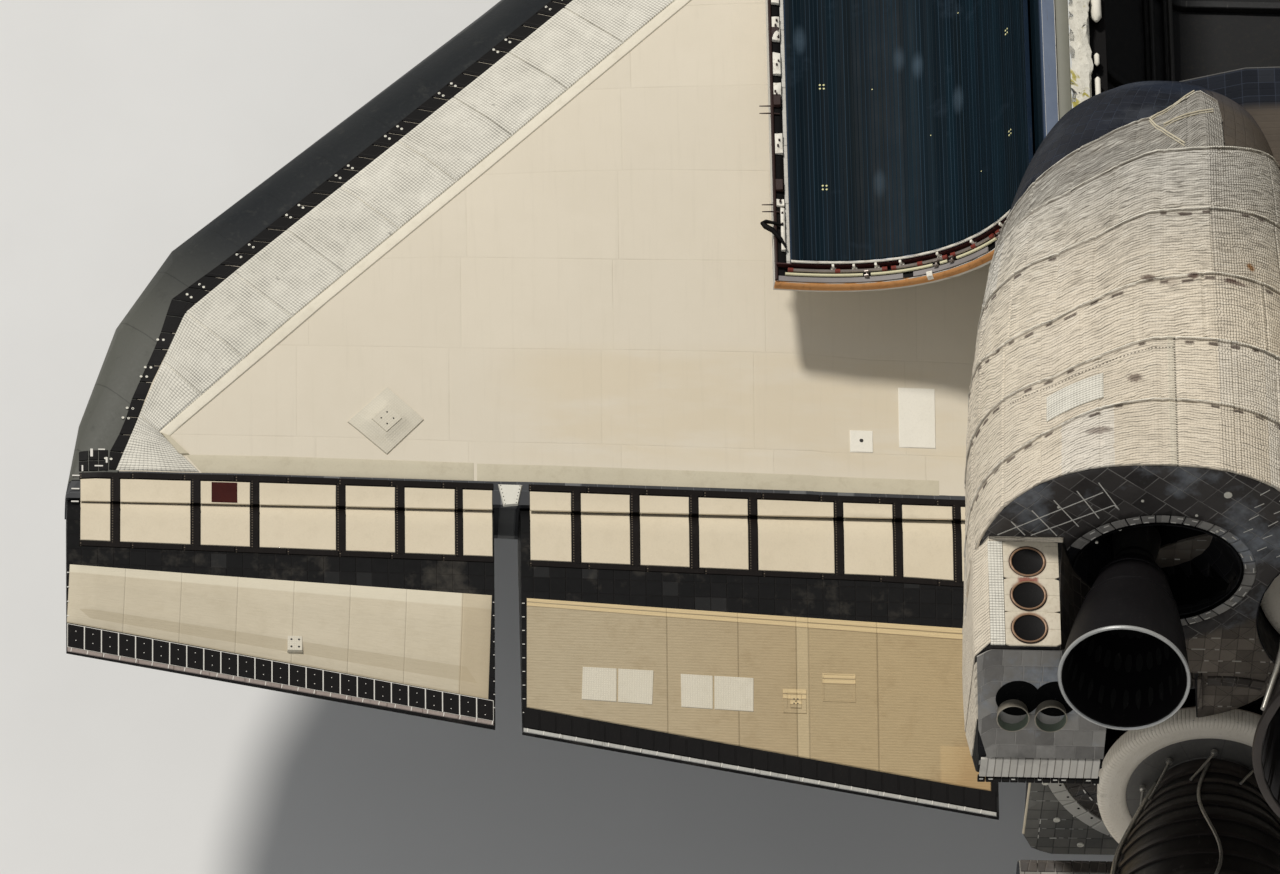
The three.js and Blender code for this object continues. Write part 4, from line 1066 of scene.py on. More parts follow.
    # raised diamond with its inner plate, and two rectangular patches
    B = Builder()
    B.plate(D, [(1332.9, 348.3), (1346.3, 334.5), (1361, 348.4), (1348, 363.3)], ((0, 0.05), (0.25, 0.5), (4.6, 0.9), (5.0, 1.15)), (4, 4))
    B.plate(D, [(1341.2, 348.4), (1346.6, 342.6), (1352.6, 348.6), (1347.2, 354.4)], ((0, 0.9), (0.2, 1.5)), (3, 3), tag=1.0)
    B.pair("wing_diamond", "airframe", "wing_felt", M["weave_patch"])
    B = Builder()
    B.plate(D, [(1327, 156.8), (1351.5, 156.8), (1351.5, 143), (1327, 143)], ((0, 0.05), (0.2, 0.28)), (6, 4))
    B.plate(D, [(1345, 175.2), (1354, 175.2), (1354, 166.5), (1345, 166.5)], ((0, 0.05), (0.2, 0.3)), (3, 3), tag=1.0)
    B.pair("wing_patches", "airframe", "wing_felt", M["new_felt"])
    B = Builder()
    for x, y, r in ((1349.2, 170.9, 0.75), (1346.9, 346.0, 0.3), (1346.9, 350.6, 0.3), (1344.4, 348.4, 0.3), (1349.2, 348.4, 0.3)):
        z = D.z(x, y, 315) + (1.5 if y > 300 else 0.3)
        B.lathe((x, y, z), (0, 0, 1), [(r, -0.2), (r, 0.10), (r * 0.7, 0.16), (0.001, 0.16)], 10)
    B.pair("wing_studs", "airframe", "rail_metal", M["dot_dark"])

    # upper seal panels: a fixed front part, and a part that rides on the elevon
    rows = {"out": [(451.4, 462.5), (421.6, 447.7), (399.5, 417.8), (367.5, 395.9), (345.5, 363.8), (323.2, 341.8), (309.2, 320.1)],
            "in": [(279.8, 295.1), (257.9, 276.1), (235.8, 254.1), (213.8, 232.1), (181.7, 210.1), (159.7, 178.0), (137.3, 156.0), (122.0, 134.0)]}
    front = lambda y: np.interp(y, [122, 300, 463], [1375.2, 1374.4, 1374.0])
    back = lambda y: np.interp(y, [122, 160, 296, 309, 463], [1407.0, 1405.2, 1403.0, 1402.0, 1400.2])
    for part, spans in rows.items():
        node = "elevon_outboard_port" if part == "out" else "elevon_inboard_port"
        body = "elevon_outboard_{s}" if part == "out" else "elevon_inboard_{s}"
        DE = Drape(node)
        lipz = lambda x, y: max(D.z(x, y, -99.0), hinge_z(y) + hinge_r(y))
        F, R, FB, RB = Builder(), Builder(), Builder(), Builder()
        lip = lambda y: 1387 - 0.42 * hinge_r(y)
        for k, (y0, y1) in enumerate(spans):
            F.plate(D, [(front(y1), y1), (lip(y1), y1), (lip(y0), y0), (front(y0), y0)], ((0, 0.36), (0.15, 0.50)), (3, 4), zf=lipz, sink=0.04 * hinge_r(y0) - 0.37, tag=float(k))
            R.plate(DE, [(1387 - 0.80 * hinge_r(y1), y1), (back(y1), y1), (back(y0), y0), (1387 - 0.80 * hinge_r(y0), y0)], ((0, 0.08), (0.15, 0.28)), (8, 4), sink=0.4, tag=float(k))
        # black riveted frames between and round the panels
        edges = [spans[0][1] + 1.2] + [v for y0, y1 in spans for v in (y1, y0)]
        bars = [(spans[k][0], spans[k + 1][1]) for k in range(len(spans) - 1)]
        for y1, y0 in bars:
            y1, y0 = y1 - 0.25, y0 + 0.25
            FB.plate(D, [(front(y1) - 0.6, y1), (lip(y1), y1), (lip(y0), y0), (front(y0) - 0.6, y0)], ((0, 0.36), (0.12, 0.54)), (3, 2), zf=lipz, sink=0.04 * hinge_r(y0) - 0.37)
            RB.plate(DE, [(1387 - 0.8 * hinge_r(y1), y1), (back(y1) + 0.8, y1), (back(y0) + 0.8, y0), (1387 - 0.8 * hinge_r(y0), y0)], ((0, 0.08), (0.12, 0.30)), (8, 2), sink=0.4)
        ya, yb = spans[0][1] + 0.5, spans[-1][0] - 0.5
        for y1, y0 in zip(np.linspace(ya, yb, 9)[:-1], np.linspace(ya, yb, 9)[1:]):
            FB.plate(D, [(front(y1) - 2.9, y1 - .05), (front(y1) - 0.35, y1 - .05), (front(y0) - 0.35, y0 + .05), (front(y0) - 2.9, y0 + .05)], ((0, 0.05), (0.12, 0.50)), (2, 6), zf=lipz, sink=0.15)
            RB.plate(DE, [(back(y1) + 0.35, y1 - .05), (back(y1) + 2.5, y1 - .05), (back(y0) + 2.5, y0 + .05), (back(y0) + 0.35, y0 + .05)], ((0, 0.05), (0.12, 0.30)), (2, 6), sink=0.4)
        F.pair(f"seal_front_{part}", "airframe", "wing_felt", M["seal_panel"])
        R.pair(f"seal_rear_{part}", body, "elevon_skin", M["seal_panel"])
        FB.pair(f"seal_frame_front_{part}", "airframe", "flap_tile", M["black_rivet"])
        RB.pair(f"seal_frame_rear_{part}", body, "flap_tile", M["black_rivet"])
    B = Builder()
    lipz = lambda x, y: max(D.z(x, y, -99.0), hinge_z(y) + hinge_r(y))
    B.plate(D, [(1374.5, 413.8), (1383.0, 413.8), (1383.0, 404.2), (1374.5, 404.2)], ((0, 0.5), (0.1, 0.62)), (3, 3), zf=lipz, sink=-0.42)
    B.pair("maroon_patch", "airframe", "flap_tile", M["maroon"])

    # riveted triangular fitting over the elevon gap
    B = Builder()
    tri = [(1371.8, 307.0), (1371.9, 297.9), (1379.8, 299.6), (1380.6, 305.0)]
    B.plate(D, [tri[0], tri[3], tri[2], tri[1]], ((0, 0.2), (0.3, 0.75)), (4, 4), zf=lipz, sink=0.4)
    B.pair("gap_fitting", "airframe", "wing_felt", M["white_metal"])
    B = Builder()
    for t in np.linspace(0.08, 0.92, 6):
        for a, b in ((tri[0], tri[3]), (tri[1], tri[2])):
            x, y = a[0] + (b[0] - a[0]) * t, a[1] + (b[1] - a[1]) * t
            y += -0.8 if a is tri[0] else 0.8
            B.stud((x, y, lipz(x, y) + 0.75), (0, 0, 1), 0.22, 0.1, 6)
    B.pair("gap_fitting_rivets", "airframe", "rail_metal", M["dot_dark"])


def elevon_details():
    M = MATS
    DO, DI = Drape("elevon_outboard_port"), Drape("elevon_inboard_port")

    # outboard blanket with its raised middle
    B = Builder()
    prof = ((0, 0.06), (0.5, 0.34), (4.3, 0.36), (8.6, 1.45))
    B.plate(DO, [(1410.5, 466.4), (1434.6, 467.4), (1460.6, 311.2), (1418.0, 309.6)], prof, (6, 60))
    B.pair("elevon_blanket_out", "elevon_outboard_{s}", "elevon_skin", M["elevon_out"])
    B = Builder()
    B.plate(DO, [(1437.9, 385.7), (1444.1, 385.7), (1444.1, 380.0), (1437.9, 380.0)], ((0, 1.3), (0.2, 1.75)), (2, 2))
    B.pair("elevon_plate_out", "elevon_outboard_{s}", "elevon_skin", M["weave_patch"])
    B = Builder()
    for dx in (-1.5, 1.5):
        for dy in (-1.4, 1.4):
            x, y = 1441.0 + dx, 382.8 + dy
            B.stud((x, y, DO.z(x, y) + 1.75), (0, 0, 1), 0.42, 0.08, 8)
    B.pair("elevon_plate_dots", "elevon_outboard_{s}", "rail_metal", M["dot_dark"])

    # black trailing tiles with white filler, metal edge with ticks
    def trailing(D, body, part, y_out, y_in, x_front, x_back, n, tick_every, metal):
        W, K, E, TK = Builder(), Builder(), Builder(), Builder()
        ys = np.linspace(y_out, y_in, n + 1)
        for y1, y0 in zip(ys[:-1], ys[1:]):
            K.plate(D, [(x_front(y1) + 0.3, y1 - 0.16), (x_back(y1) - 1.9, y1 - 0.16), (x_back(y0) - 1.9, y0 + 0.16), (x_front(y0) + 0.3, y0 + 0.16)],
                    ((0, 0.1), (0.15, 0.42)), (3, 3), sink=0.3, tag=y1)
        m = 12
        yy = np.linspace(y_out, y_in, m + 1)
        for y1, y0 in zip(yy[:-1], yy[1:]):
            W.plate(D, [(x_front(y1), y1), (x_back(y1) - 1.8, y1), (x_back(y0) - 1.8, y0), (x_front(y0), y0)], ((0, 0.1), (0.1, 0.2)), (2, 6), sink=0.3)
            E.plate(D, [(x_back(y1) - 1.75, y1), (x_back(y1) - 0.05, y1), (x_back(y0) - 0.05, y0), (x_back(y0) - 1.75, y0)], ((0, 0.05), (0.2, 0.3)), (2, 6), sink=0.3)
        for y in np.arange(y_out - 1.5, y_in, -tick_every):
            TK.block((x_back(y) - 0.9, y, D.z(x_back(y) - 0.9, y) + 0.3), [(1, 0.15, 0), (-0.15, 1, 0), (0, 0, 1)], (0.85, 0.16, 0.1), 0.05)
        K.pair(f"trailing_tiles_{part}", body, "flap_tile", M["black_plain"])
        W.pair(f"trailing_filler_{part}", body, "elevon_skin", M["tick"] if part == "out" else M["black_plain"])
        E.pair(f"trailing_edge_{part}", body, "rail_metal", metal)
        TK.pair(f"trailing_ticks_{part}", body, "elevon_skin", M["tick"])

    te_o = lambda y: np.interp(y, [308.7, 467.5], [1471.5, 1446.6])
    te_i = lambda y: np.interp(y, [122.5, 298.4], [1502.2, 1473.6])
    trailing(DO, "elevon_outboard_{s}", "out", 467.2, 309.2, lambda y: np.interp(y, [309, 467.4], [1461.2, 1435.0]), te_o, 25, 6.0, M["edge_metal"])
    trailing(DI, "elevon_inboard_{s}", "in", 298.2, 122.9, lambda y: np.interp(y, [124.8, 290.2, 297], [1492.0, 1465.8, 1463.3]), te_i, 29, 6.0, M["edge_metal2"])
    B = Builder()
    for y in np.linspace(467.2 - 3.16, 309.2 + 3.16, 25):
        for dx in (2.8, 6.6):
            x = np.interp(y, [309, 467.4], [1461.2, 1435.0]) + dx
            B.stud((x, y, DO.z(x, y) + 0.42), (0, 0, 1), 0.2, 0.04, 6)
    B.pair("trailing_dots_out", "elevon_outboard_{s}", "elevon_skin", M["tick"])

    # white ticks along the sides of the elevons
    B, K = Builder(), Builder()
    for D, body, y0, y1, xa, xb in ((DO, "out", 305.4 + 3.4, 309.4, 1419, 1470), (DI, "in", 297.0, 298.4, 1412, 1472)):
        pass
    for k in range(9):
        x = 1421 + k * 5.6
        B.block((x, 297.9, DI.z(x, 297.6, 300) + 0.25), [(1, 0, 0), (0, 1, 0), (0, 0, 1)], (0.16, 0.5, 0.12), 0.05)
    B.pair("side_ticks_in", "elevon_inboard_{s}", "elevon_skin", M["tick"])
    B = Builder()
    for k in range(9):
        x = 1421 + k * 5.4
        B.block((x, 308.95, DO.z(x, 309.3, 300) + 0.25), [(1, 0, 0), (0, 1, 0), (0, 0, 1)], (0.16, 0.3, 0.12), 0.05)
    for k in range(4):
        x = 1414 + k * 6.0
        B.block((x, 467.0, DO.z(x, 466.6, 300) + 0.25), [(1, 0, 0), (0, 1, 0), (0, 0, 1)], (0.2, 0.45, 0.12), 0.05)
    B.pair("side_ticks_out", "elevon_outboard_{s}", "elevon_skin", M["tick"])

    # inboard blanket, patches and plates
    B = Builder()
    B.plate(DI, [(1418.7, 296.6), (1463.6, 296.9), (1492.0, 124.8), (1426.2, 124.2)], ((0, 0.06), (0.3, 0.38)), (14, 40))
    B.pair("elevon_blanket_in", "elevon_inboard_{s}", "elevon_skin", M["elevon_in"])
    B = Builder()
    for c4 in ([(1446.3, 276.1), (1459.9, 276.6), (1460.5, 263.5), (1446.6, 263.3)], [(1446.6, 262.9), (1460.5, 263.1), (1461.1, 250.2), (1446.9, 249.6)],
               [(1447.9, 239.7), (1461.7, 239.6), (1462.2, 227.7), (1448.3, 227.6)], [(1448.3, 227.2), (1462.2, 227.3), (1462.7, 212.6), (1448.7, 212.4)]):
        B.plate(DI, c4, ((0, 0.3), (0.2, 0.62)), (5, 5))
    B.pair("elevon_patches", "elevon_inboard_{s}", "elevon_skin", M["weave_patch"])
    B = Builder()
    B.plate(DI, [(1452.8, 201.7), (1462.8, 201.7), (1462.8, 192.9), (1452.8, 192.9)], ((0, 0.3), (0.15, 0.62), (1.6, 0.62), (1.75, 0.48)), (3, 3))
    B.plate(DI, [(1455.2, 199.0), (1460.7, 199.0), (1460.7, 194.7), (1455.2, 194.7)], ((0, 0.4), (0.12, 0.75)), (3, 3), tag=1.0)
    B.plate(DI, [(1446.0, 186.9), (1457.6, 186.9), (1457.6, 174.5), (1446.0, 174.5)], ((0, 0.3), (0.12, 0.55), (0.5, 0.55), (0.6, 0.4)), (3, 3), tag=2.0)
    B.pair("elevon_plates_in", "elevon_inboard_{s}", "elevon_skin", M["elevon_in"])
    B = Builder()
    for dx, dy in ((-0.9, -0.7), (0.9, -0.7), (-0.9, 0.7), (0.9, 0.7), (0, 0)):
        x, y = 1457.9 + dx, 196.9 + dy
        B.stud((x, y, DI.z(x, y) + 0.75), (0, 0, 1), 0.3, 0.06, 6)
    B.pair("elevon_plate_studs_in", "elevon_inboard_{s}", "rail_metal", M["dot_dark"])


wing_details()
elevon_details()


# ------------------------------------------------------------------ payload doors, radiators and the bay's edge
HY, HZ, OPEN = 101.2, 421.0, math.radians(-175.5)
EXP = 2 / 2.6


def _door_table():
    a = np.radians(np.linspace(2.0, 89.35, 1200))
    y, z = 95 * np.cos(a) ** EXP, 410 + 85 * np.sin(a) ** EXP
    s = np.r_[0, np.cumsum(np.hypot(np.diff(y), np.diff(z)))]
    return a, s - np.interp(math.radians(4.0), a, s)


DOOR_A, DOOR_S = _door_table()
DOOR_L = float(DOOR_S[-1])


def door_at(x, s, t):
    """Station point on the open port door: s inches from the hinge end, t inches in from the outer skin (up, when open)."""
    a = np.interp(s, DOOR_S, DOOR_A)
    y, z = (100 - t) * np.cos(a) ** EXP - HY, 410 + (90 - t) * np.sin(a) ** EXP - HZ
    return np.array([x, HY + y * math.cos(OPEN) - z * math.sin(OPEN), HZ + y * math.sin(OPEN) + z * math.cos(OPEN)])


def door_grid(B, xs, ss, t0, t1, mat=0, tag=0.0, wave=None, rim=0.0):
    """A closed sheet over the door between depths t0 and t1; own coordinate is (x, s, tag)."""
    nx, ns = len(xs), len(ss)
    top, bot, ct = [], [], []
    for s in ss:
        for x in xs:
            d = min(x - xs[0], xs[-1] - x, s - ss[0], ss[-1] - s)
            t = t1 + (wave(x, s) if wave else 0.0) - (rim if d < 1e-6 else 0.0)
            top.append(door_at(x, s, t))
            bot.append(door_at(x, s, t0))
            ct.append((x, s, tag))
    faces = grid_faces(nx, ns)
    n = nx * ns
    faces += [tuple(i + n for i in reversed(f)) for f in grid_faces(nx, ns)]
    ring = list(range(nx)) + [j * nx + nx - 1 for j in range(1, ns)] + [(ns - 1) * nx + i for i in range(nx - 2, -1, -1)] + [j * nx for j in range(ns - 2, 0, -1)]
    for a, b in zip(ring, ring[1:] + ring[:1]):
        faces.append((a, a + n, b + n, b))
    B.add(top + bot, faces, ct + ct, mat)


def door_mats():
    M = MATS
    # radiator: own = (x, s)
    g = Graph("radiator_panel", **{"Specular IOR Level": 0.04})
    x, s, tag = g.attr("own")
    sv = g.station_vector()
    streak = g.noise(g.vec(x * 0.012, s * 0.95, 1.0), 1.0, 3, 0.65)
    wide = g.noise(g.vec(x * 0.006, s * 0.16, 5.0), 1.0, 3, 0.6)
    blot = g.noise(sv, 0.06, 4, 0.6)
    tube = g.line(s, 1.62, 0.16, soft=0.12)
    pick = g.white(g.vec((s / 1.62 + 0.5).floor(), 4.0, 4.0))
    c = g.mix(streak, srgb(3, 9, 12), srgb(15, 29, 38))
    c = g.mix((wide - 0.45).clamp() * 1.8, c, srgb(15, 38, 48))
    c = g.mix((0.46 - wide).clamp() * 2.0, c, srgb(20, 26, 24))
    c = g.mix(tube * pick * 0.45, c, srgb(66, 92, 112))
    c = g.mix((blot - 0.62).clamp() * 0.9, c, srgb(70, 84, 98))
    silver = s.below(3.2, 2.2)
    c = g.mix(silver * 0.8, c, srgb(84, 98, 122))
    fog = (g.voronoi(g.vec(x * 0.02, s * 0.05, 0.0), 1.0).below(0.10, 0.07)) * (blot * 1.2)
    c = g.mix(fog * 0.45, c, srgb(92, 110, 124))
    h = tube * 0.5 + streak * 0.3
    M["rad_panel"] = g.finish(c, blot * 0.2 + 0.36, g.bump(h, 0.5, 0.006))

    M["silver_strip"] = mat_metal("silver_strip", srgb(88, 100, 122), srgb(120, 130, 146), 0.45, 0.15)
    M["beige_strip"] = mat_plain("beige_strip", srgb(98, 98, 87), srgb(126, 124, 110), 0.6)
    M["frame_dark"] = mat_plain("frame_dark", srgb(30, 14, 10), srgb(52, 28, 20), 0.6, 2.0)
    M["frame_black"] = mat_plain("frame_black", srgb(8, 7, 7), srgb(18, 16, 15), 0.6, 2.0, spec=0.08)
    M["frame_white"] = mat_cloth("frame_white", srgb(222, 216, 200), srgb(240, 235, 222), srgb(120, 96, 70), 2.0)
    # pocket backs: dark maroon, darkened as painted shade inside the pockets
    M["pocket"] = mat_plain("pocket_maroon_shaded", srgb(40, 12, 10), srgb(66, 26, 22), 0.6, 2.0)
    M["rod_metal"] = mat_metal("rod_metal", srgb(120, 108, 100), srgb(176, 166, 156), 0.35, 0.6, 2.0)
    M["rod_cream"] = mat_plain("rod_cream", srgb(206, 198, 156), srgb(226, 220, 186), 0.45, 2.0)
    M["rod_red"] = mat_plain("rod_red", srgb(96, 34, 24), srgb(140, 60, 46), 0.5, 2.0)
    M["seal_tan"] = mat_cloth("seal_tan", srgb(176, 118, 62), srgb(206, 150, 92), srgb(120, 74, 36), 2.0)
    M["lip_grey"] = mat_plain("lip_grey", srgb(112, 106, 104), srgb(142, 136, 132), 0.55, 2.0)
    M["gold_foil"] = mat_metal("gold_foil", srgb(150, 118, 36), srgb(212, 184, 92), 0.3, 0.6, 3.0)
    M["yellow_dot"] = mat_plain("yellow_dot", srgb(206, 202, 140), srgb(226, 222, 170), 0.6, 2.0)

    # crumpled insulation: own = (x, across)
    g = Graph("crumpled_white", Roughness=0.7)
    o = g.object()
    n, m = g.noise(o, 5.0, 5, 0.7, 1.5), g.noise(o, 22.0, 4, 0.7)
    c = g.mix(n, srgb(168, 162, 146), srgb(236, 232, 218))
    c = g.mix((m - 0.55).clamp() * 2.2, c, srgb(120, 112, 92))
    gold = g.noise(o, 1.1, 4, 0.75, 1.0).above(0.55, 0.03)
    c = g.mix(gold, c, g.mix(m, srgb(84, 72, 14), srgb(198, 184, 52)))
    c = g.mix(g.noise(o, 3.0, 4, 0.75, 1.0).above(0.63, 0.02), c, srgb(30, 26, 18))
    M["crumple"] = g.finish(c, 0.75 - gold * 0.35, g.bump(n * 0.8 + m * 0.5, 0.9, 0.02))

    # bay liner: quilted cloth painted near-black as shade; the real liner is pale
    g = Graph("bay_liner_quilt", Roughness=0.9)
    x, y, z = g.station()
    q = g.line(x, 9.0, 0.5, soft=0.5).max(g.line(y.abs() + z, 9.0, 0.5, soft=0.5))
    n = g.noise(g.station_vector(), 0.06, 4, 0.6)
    c = g.mix(n, srgb(7, 7, 8), srgb(16, 16, 18))
    c = g.mix(q * 0.5, c, srgb(30, 29, 28))
    M["bay_dark"] = g.finish(c, None, g.bump(n * 0.6 - q * 0.8, 0.6, 0.02))


door_mats()


def door_details():
    M = MATS
    L = DOOR_L
    # radiator panels: two forward ones that tilt, two aft ones fixed to the door
    seg = [(584.3, 760.2, "radiator_{s}"), (761.8, 937.7, "radiator_{s}"), (942.3, 1119.2, "payload_door_{s}"), (1120.8, 1297.7, "payload_door_{s}")]
    s0, s1 = (float(np.interp(math.radians(v), DOOR_A, DOOR_S)) for v in (11.4, 87.25))
    for k, (x0, x1, body) in enumerate(seg):
        B = Builder()
        ss = np.linspace(s0, s1, 74)
        xs = np.r_[x0, x0 + 0.5, np.linspace(x0 + 1.2, x1 - 1.2, 12), x1 - 0.5, x1]
        door_grid(B, xs, ss, 8.3, 8.95, tag=float(k), rim=0.3, wave=lambda x, s: 0.10 * math.sin(2 * math.pi * s / 6.48))
        B.pair(f"radiator_panel_{k}", body, "radiator_face", M["rad_panel"], 50)
        # four small marks at the corners of each panel
        B = Builder()
        for x in (x0 + 34, x0 + 96, x1 - 34):
            for s in (s0 + 16, s1 - 14):
                for dx in (-0.85, 0.85):
                    for ds in (-0.75, 0.75):
                        B.stud(door_at(x + dx, s + ds, 8.95), door_at(x, s, 10) - door_at(x, s, 8), 0.42, 0.1, 6)
        for i in range(6):
            x, s = x0 + 20 + 26 * i, s0 + 30 + (37 * i) % 60
            B.stud(door_at(x, s, 8.9), door_at(x, s, 10) - door_at(x, s, 8), 0.3, 0.12, 6)
        B.pair(f"radiator_marks_{k}", body, "radiator_face", M["yellow_dot"])
        # pale frame along each panel's aft edge
        B = Builder()
        B.tube([door_at(x1 + 0.1, s, 8.3) for s in np.linspace(s0, s1, 60)], 0.55, 6)
        B.pair(f"radiator_edge_{k}", body, "rail_metal", M["frame_white"])

    # closeout between the radiator and the hinge, dark on the shell, silver at its end
    B = Builder()
    for x0, x1 in ((578.5, 759), (761, 939), (941, 1120), (1122, 1304.5)):
        door_grid(B, np.linspace(x0, x1, 12), np.linspace(0.15, s0 + 6, 20), 4.6, 5.25, rim=0.2)
    B.pair("door_closeout", "payload_door_{s}", "door_skin", M["rad_panel"], 50)
    B = Builder()
    for x0, x1 in ((578.5, 759), (761, 939), (941, 1120), (1122, 1304.5)):
        pts = [door_at(0, -0.0, t)[1:] for t in (0.3, 4.9)]
        n = np.array([pts[0][1] - pts[1][1], -(pts[0][0] - pts[1][0])])
        n = n / np.linalg.norm(n) * (1 if n[1] > 0 else -1)
        ring = [pts[0], pts[1], pts[1] + n * 0.15, (pts[0] + pts[1]) / 2 + n * 0.25, pts[0] + n * 0.15]
        xs = np.linspace(x0, x1, 6)
        verts = [(x, *p) for x in xs for p in ring]
        faces = grid_faces(5, 6, wrap_u=True) + [(4, 3, 2, 1, 0), tuple(25 + i for i in range(5))]
        B.add(verts, faces)
    B.pair("door_hinge_face", "payload_door_{s}", "door_skin", M["silver_strip"], 60)

    # aft and forward ends: pockets, brackets, rods, dark band, lip and tan seal
    def end_frame(sign, x_rad, x_edge, name):
        P, W, R, C, RR, K, LP, S = (Builder() for _ in range(8))
        ss = np.linspace(0.8, L - 0.6, 90)
        f = sign
        # dark floor of the frame, and the pocket back, dark maroon partly as painted shade
        a, b = sorted((x_rad + f * 0.6, x_edge - f * 0.3))
        door_grid(K, np.linspace(a, b, 4), ss, 4.6, 5.15)
        a, b = sorted((x_rad + f * 0.25, x_rad + f * 0.75))
        door_grid(P, np.linspace(a, b, 2), ss, 5.0, 7.6)
        spots = [6.0, 15.0, 25.5, 40.2, 55.8, 71.0, 86.0, 95.5, 104.0, 112.0]
        spots = [v for v in spots if v < L - 4]
        for v in spots:
            for t0, t1, w in ((5.0, 8.2, 0.45), (5.0, 6.4, 0.95)):
                a, b = sorted((x_rad + f * 0.5, x_rad + f * (1.6 if w < 0.6 else 2.4)))
                door_grid(W, np.linspace(a, b, 2), np.linspace(v - w, v + w, 2), t0, t1)
        # upper rods with collars, lower cream rods between clevises
        rods = [(4, 19), (20.5, 44), (45.5, 66), (67.5, 90), (91.5, L - 5)]
        for k, (a, b) in enumerate(rods):
            x = x_rad + f * 2.6
            R.tube([door_at(x, s, 6.6) for s in np.linspace(a, b, 14)], 0.62, 8)
            for s in (a + 1, (a + b) / 2, b - 1):
                RR.tube([door_at(x, q, 6.6) for q in (s - 1.0, s + 1.0)], 0.82, 8)
        cream = [(3, 10), (12.5, 33), (36, 38.5), (45, 64), (68, 71), (74, 98), (101, L - 4)]
        for a, b in cream:
            x = x_rad + f * 4.1
            C.tube([door_at(x, s, 6.0) for s in np.linspace(a, b, 12)], 0.58, 8)
        for a in (11.2, 34.5, 40.5, 43, 66, 72.5, 99.5):
            x = x_rad + f * 4.1
            for dx in (-0.9, 0.9):
                R.block(door_at(x + dx, a, 6.0), [(1, 0, 0), door_at(x, a, 7) - door_at(x, a, 6), np.cross((1, 0, 0), door_at(x, a, 7) - door_at(x, a, 6))], (0.28, 1.2, 0.9), 0.15)
            R.tube([door_at(x - 1.5, a, 6.2), door_at(x + 1.5, a, 6.2)], 0.35, 8)
        # grey lip with cut-outs, and the seal bead on the end edge
        for a, b in ((0.8, 22), (26, 46), (50, 82), (86, L - 0.6)):
            p, q = sorted((x_edge - f * 2.6, x_edge - f * 0.4))
            door_grid(LP, np.linspace(p, q, 3), np.linspace(a, b, 16), 5.0, 5.75, rim=0.15)
        S.tube([door_at(x_edge - f * 0.5, s, 3.3) for s in np.linspace(0.4, L - 0.2, 70)], 1.95, 10)
        for a in (24, 76):
            W.tube([door_at(x_edge - f * 0.65, q, 3.9) for q in (a - 1.1, a + 1.1)], 2.1, 8)
        for nm, b, m, slot in (("pocket", P, "pocket", "door_skin"), ("bracket", W, "frame_white", "rail_metal"), ("rod", R, "rod_metal", "rail_metal"), ("collar", RR, "rod_red", "rail_metal"),
                               ("drive", C, "rod_cream", "rail_metal"), ("band", K, "frame_black", "door_skin"), ("lip", LP, "lip_grey", "door_skin"), ("seal", S, "seal_tan", "door_skin")):
            b.pair(f"door_{name}_{nm}", "payload_door_{s}", slot, M[m], 40)

    end_frame(1, 1298.0, 1305.4, "aft")
    end_frame(-1, 584.0, 577.6, "forward")

    # free edge: dark frame, white blocks, hooks
    K, W, D, H, Q = (Builder() for _ in range(5))
    se = L
    for x0, x1 in ((578.2, 759.5), (760.5, 940), (941, 1119), (1120, 1304.8)):
        door_grid(K, np.linspace(x0, x1, 20), np.linspace(se - 4.6, se - 0.15, 6), 4.6, 5.5, rim=0.2)
        door_grid(D, np.linspace(x0, x1, 20), np.linspace(se - 1.25, se - 0.15, 4), 5.3, 6.6, rim=0.3)
    rng = random.Random(12)
    # white pieces beside the radiator, measured aft and repeated forward
    spans = [(1200.0, 1209.8), (1213.8, 1220.5), (1237.5, 1246.6), (1183.0, 1194.0), (1165.0, 1176.5), (1268.0, 1271.0), (1272.2, 1291.5)]
    for k in range(3):
        spans += [(a - 178.0 * (k + 1) + rng.uniform(-1, 1), b - 178.0 * (k + 1) + rng.uniform(-1, 1)) for a, b in spans[:7]]
    for a, b in spans:
        if a < 580:
            continue
        w = 2.9 if b - a < 15 else 1.5
        n = max(2, int((b - a) / 1.6))
        door_grid(W, np.linspace(a, b, n), np.linspace(se - 4.3, se - 4.3 + w, 4), 5.3, 7.0, rim=0.35, wave=lambda x, s: 0.28 * math.sin(x * 2.1 + s) + 0.15 * math.sin(x * 5.3))
        for _ in range(2):
            x, s = rng.uniform(a + 0.8, b - 0.8), se - 4.3 + rng.uniform(0.7, w - 0.5)
            D.block(door_at(x, s, 7.1), [(1, 0, 0), (0, 1, 0), (0, 0, 1)], (0.5, 0.35, 0.3), 0.1)
    for x in (1190.5, 1222.0, 1261.5, 1150.0, 1128.0):
        for j in range(4):
            xx = x - 178 * j
            if xx > 585:
                D.block(door_at(xx, se - 2.6, 6.3), [(1, 0, 0), (0, 1, 0), (0, 0, 1)], (2.6, 1.5, 0.8), 0.3)
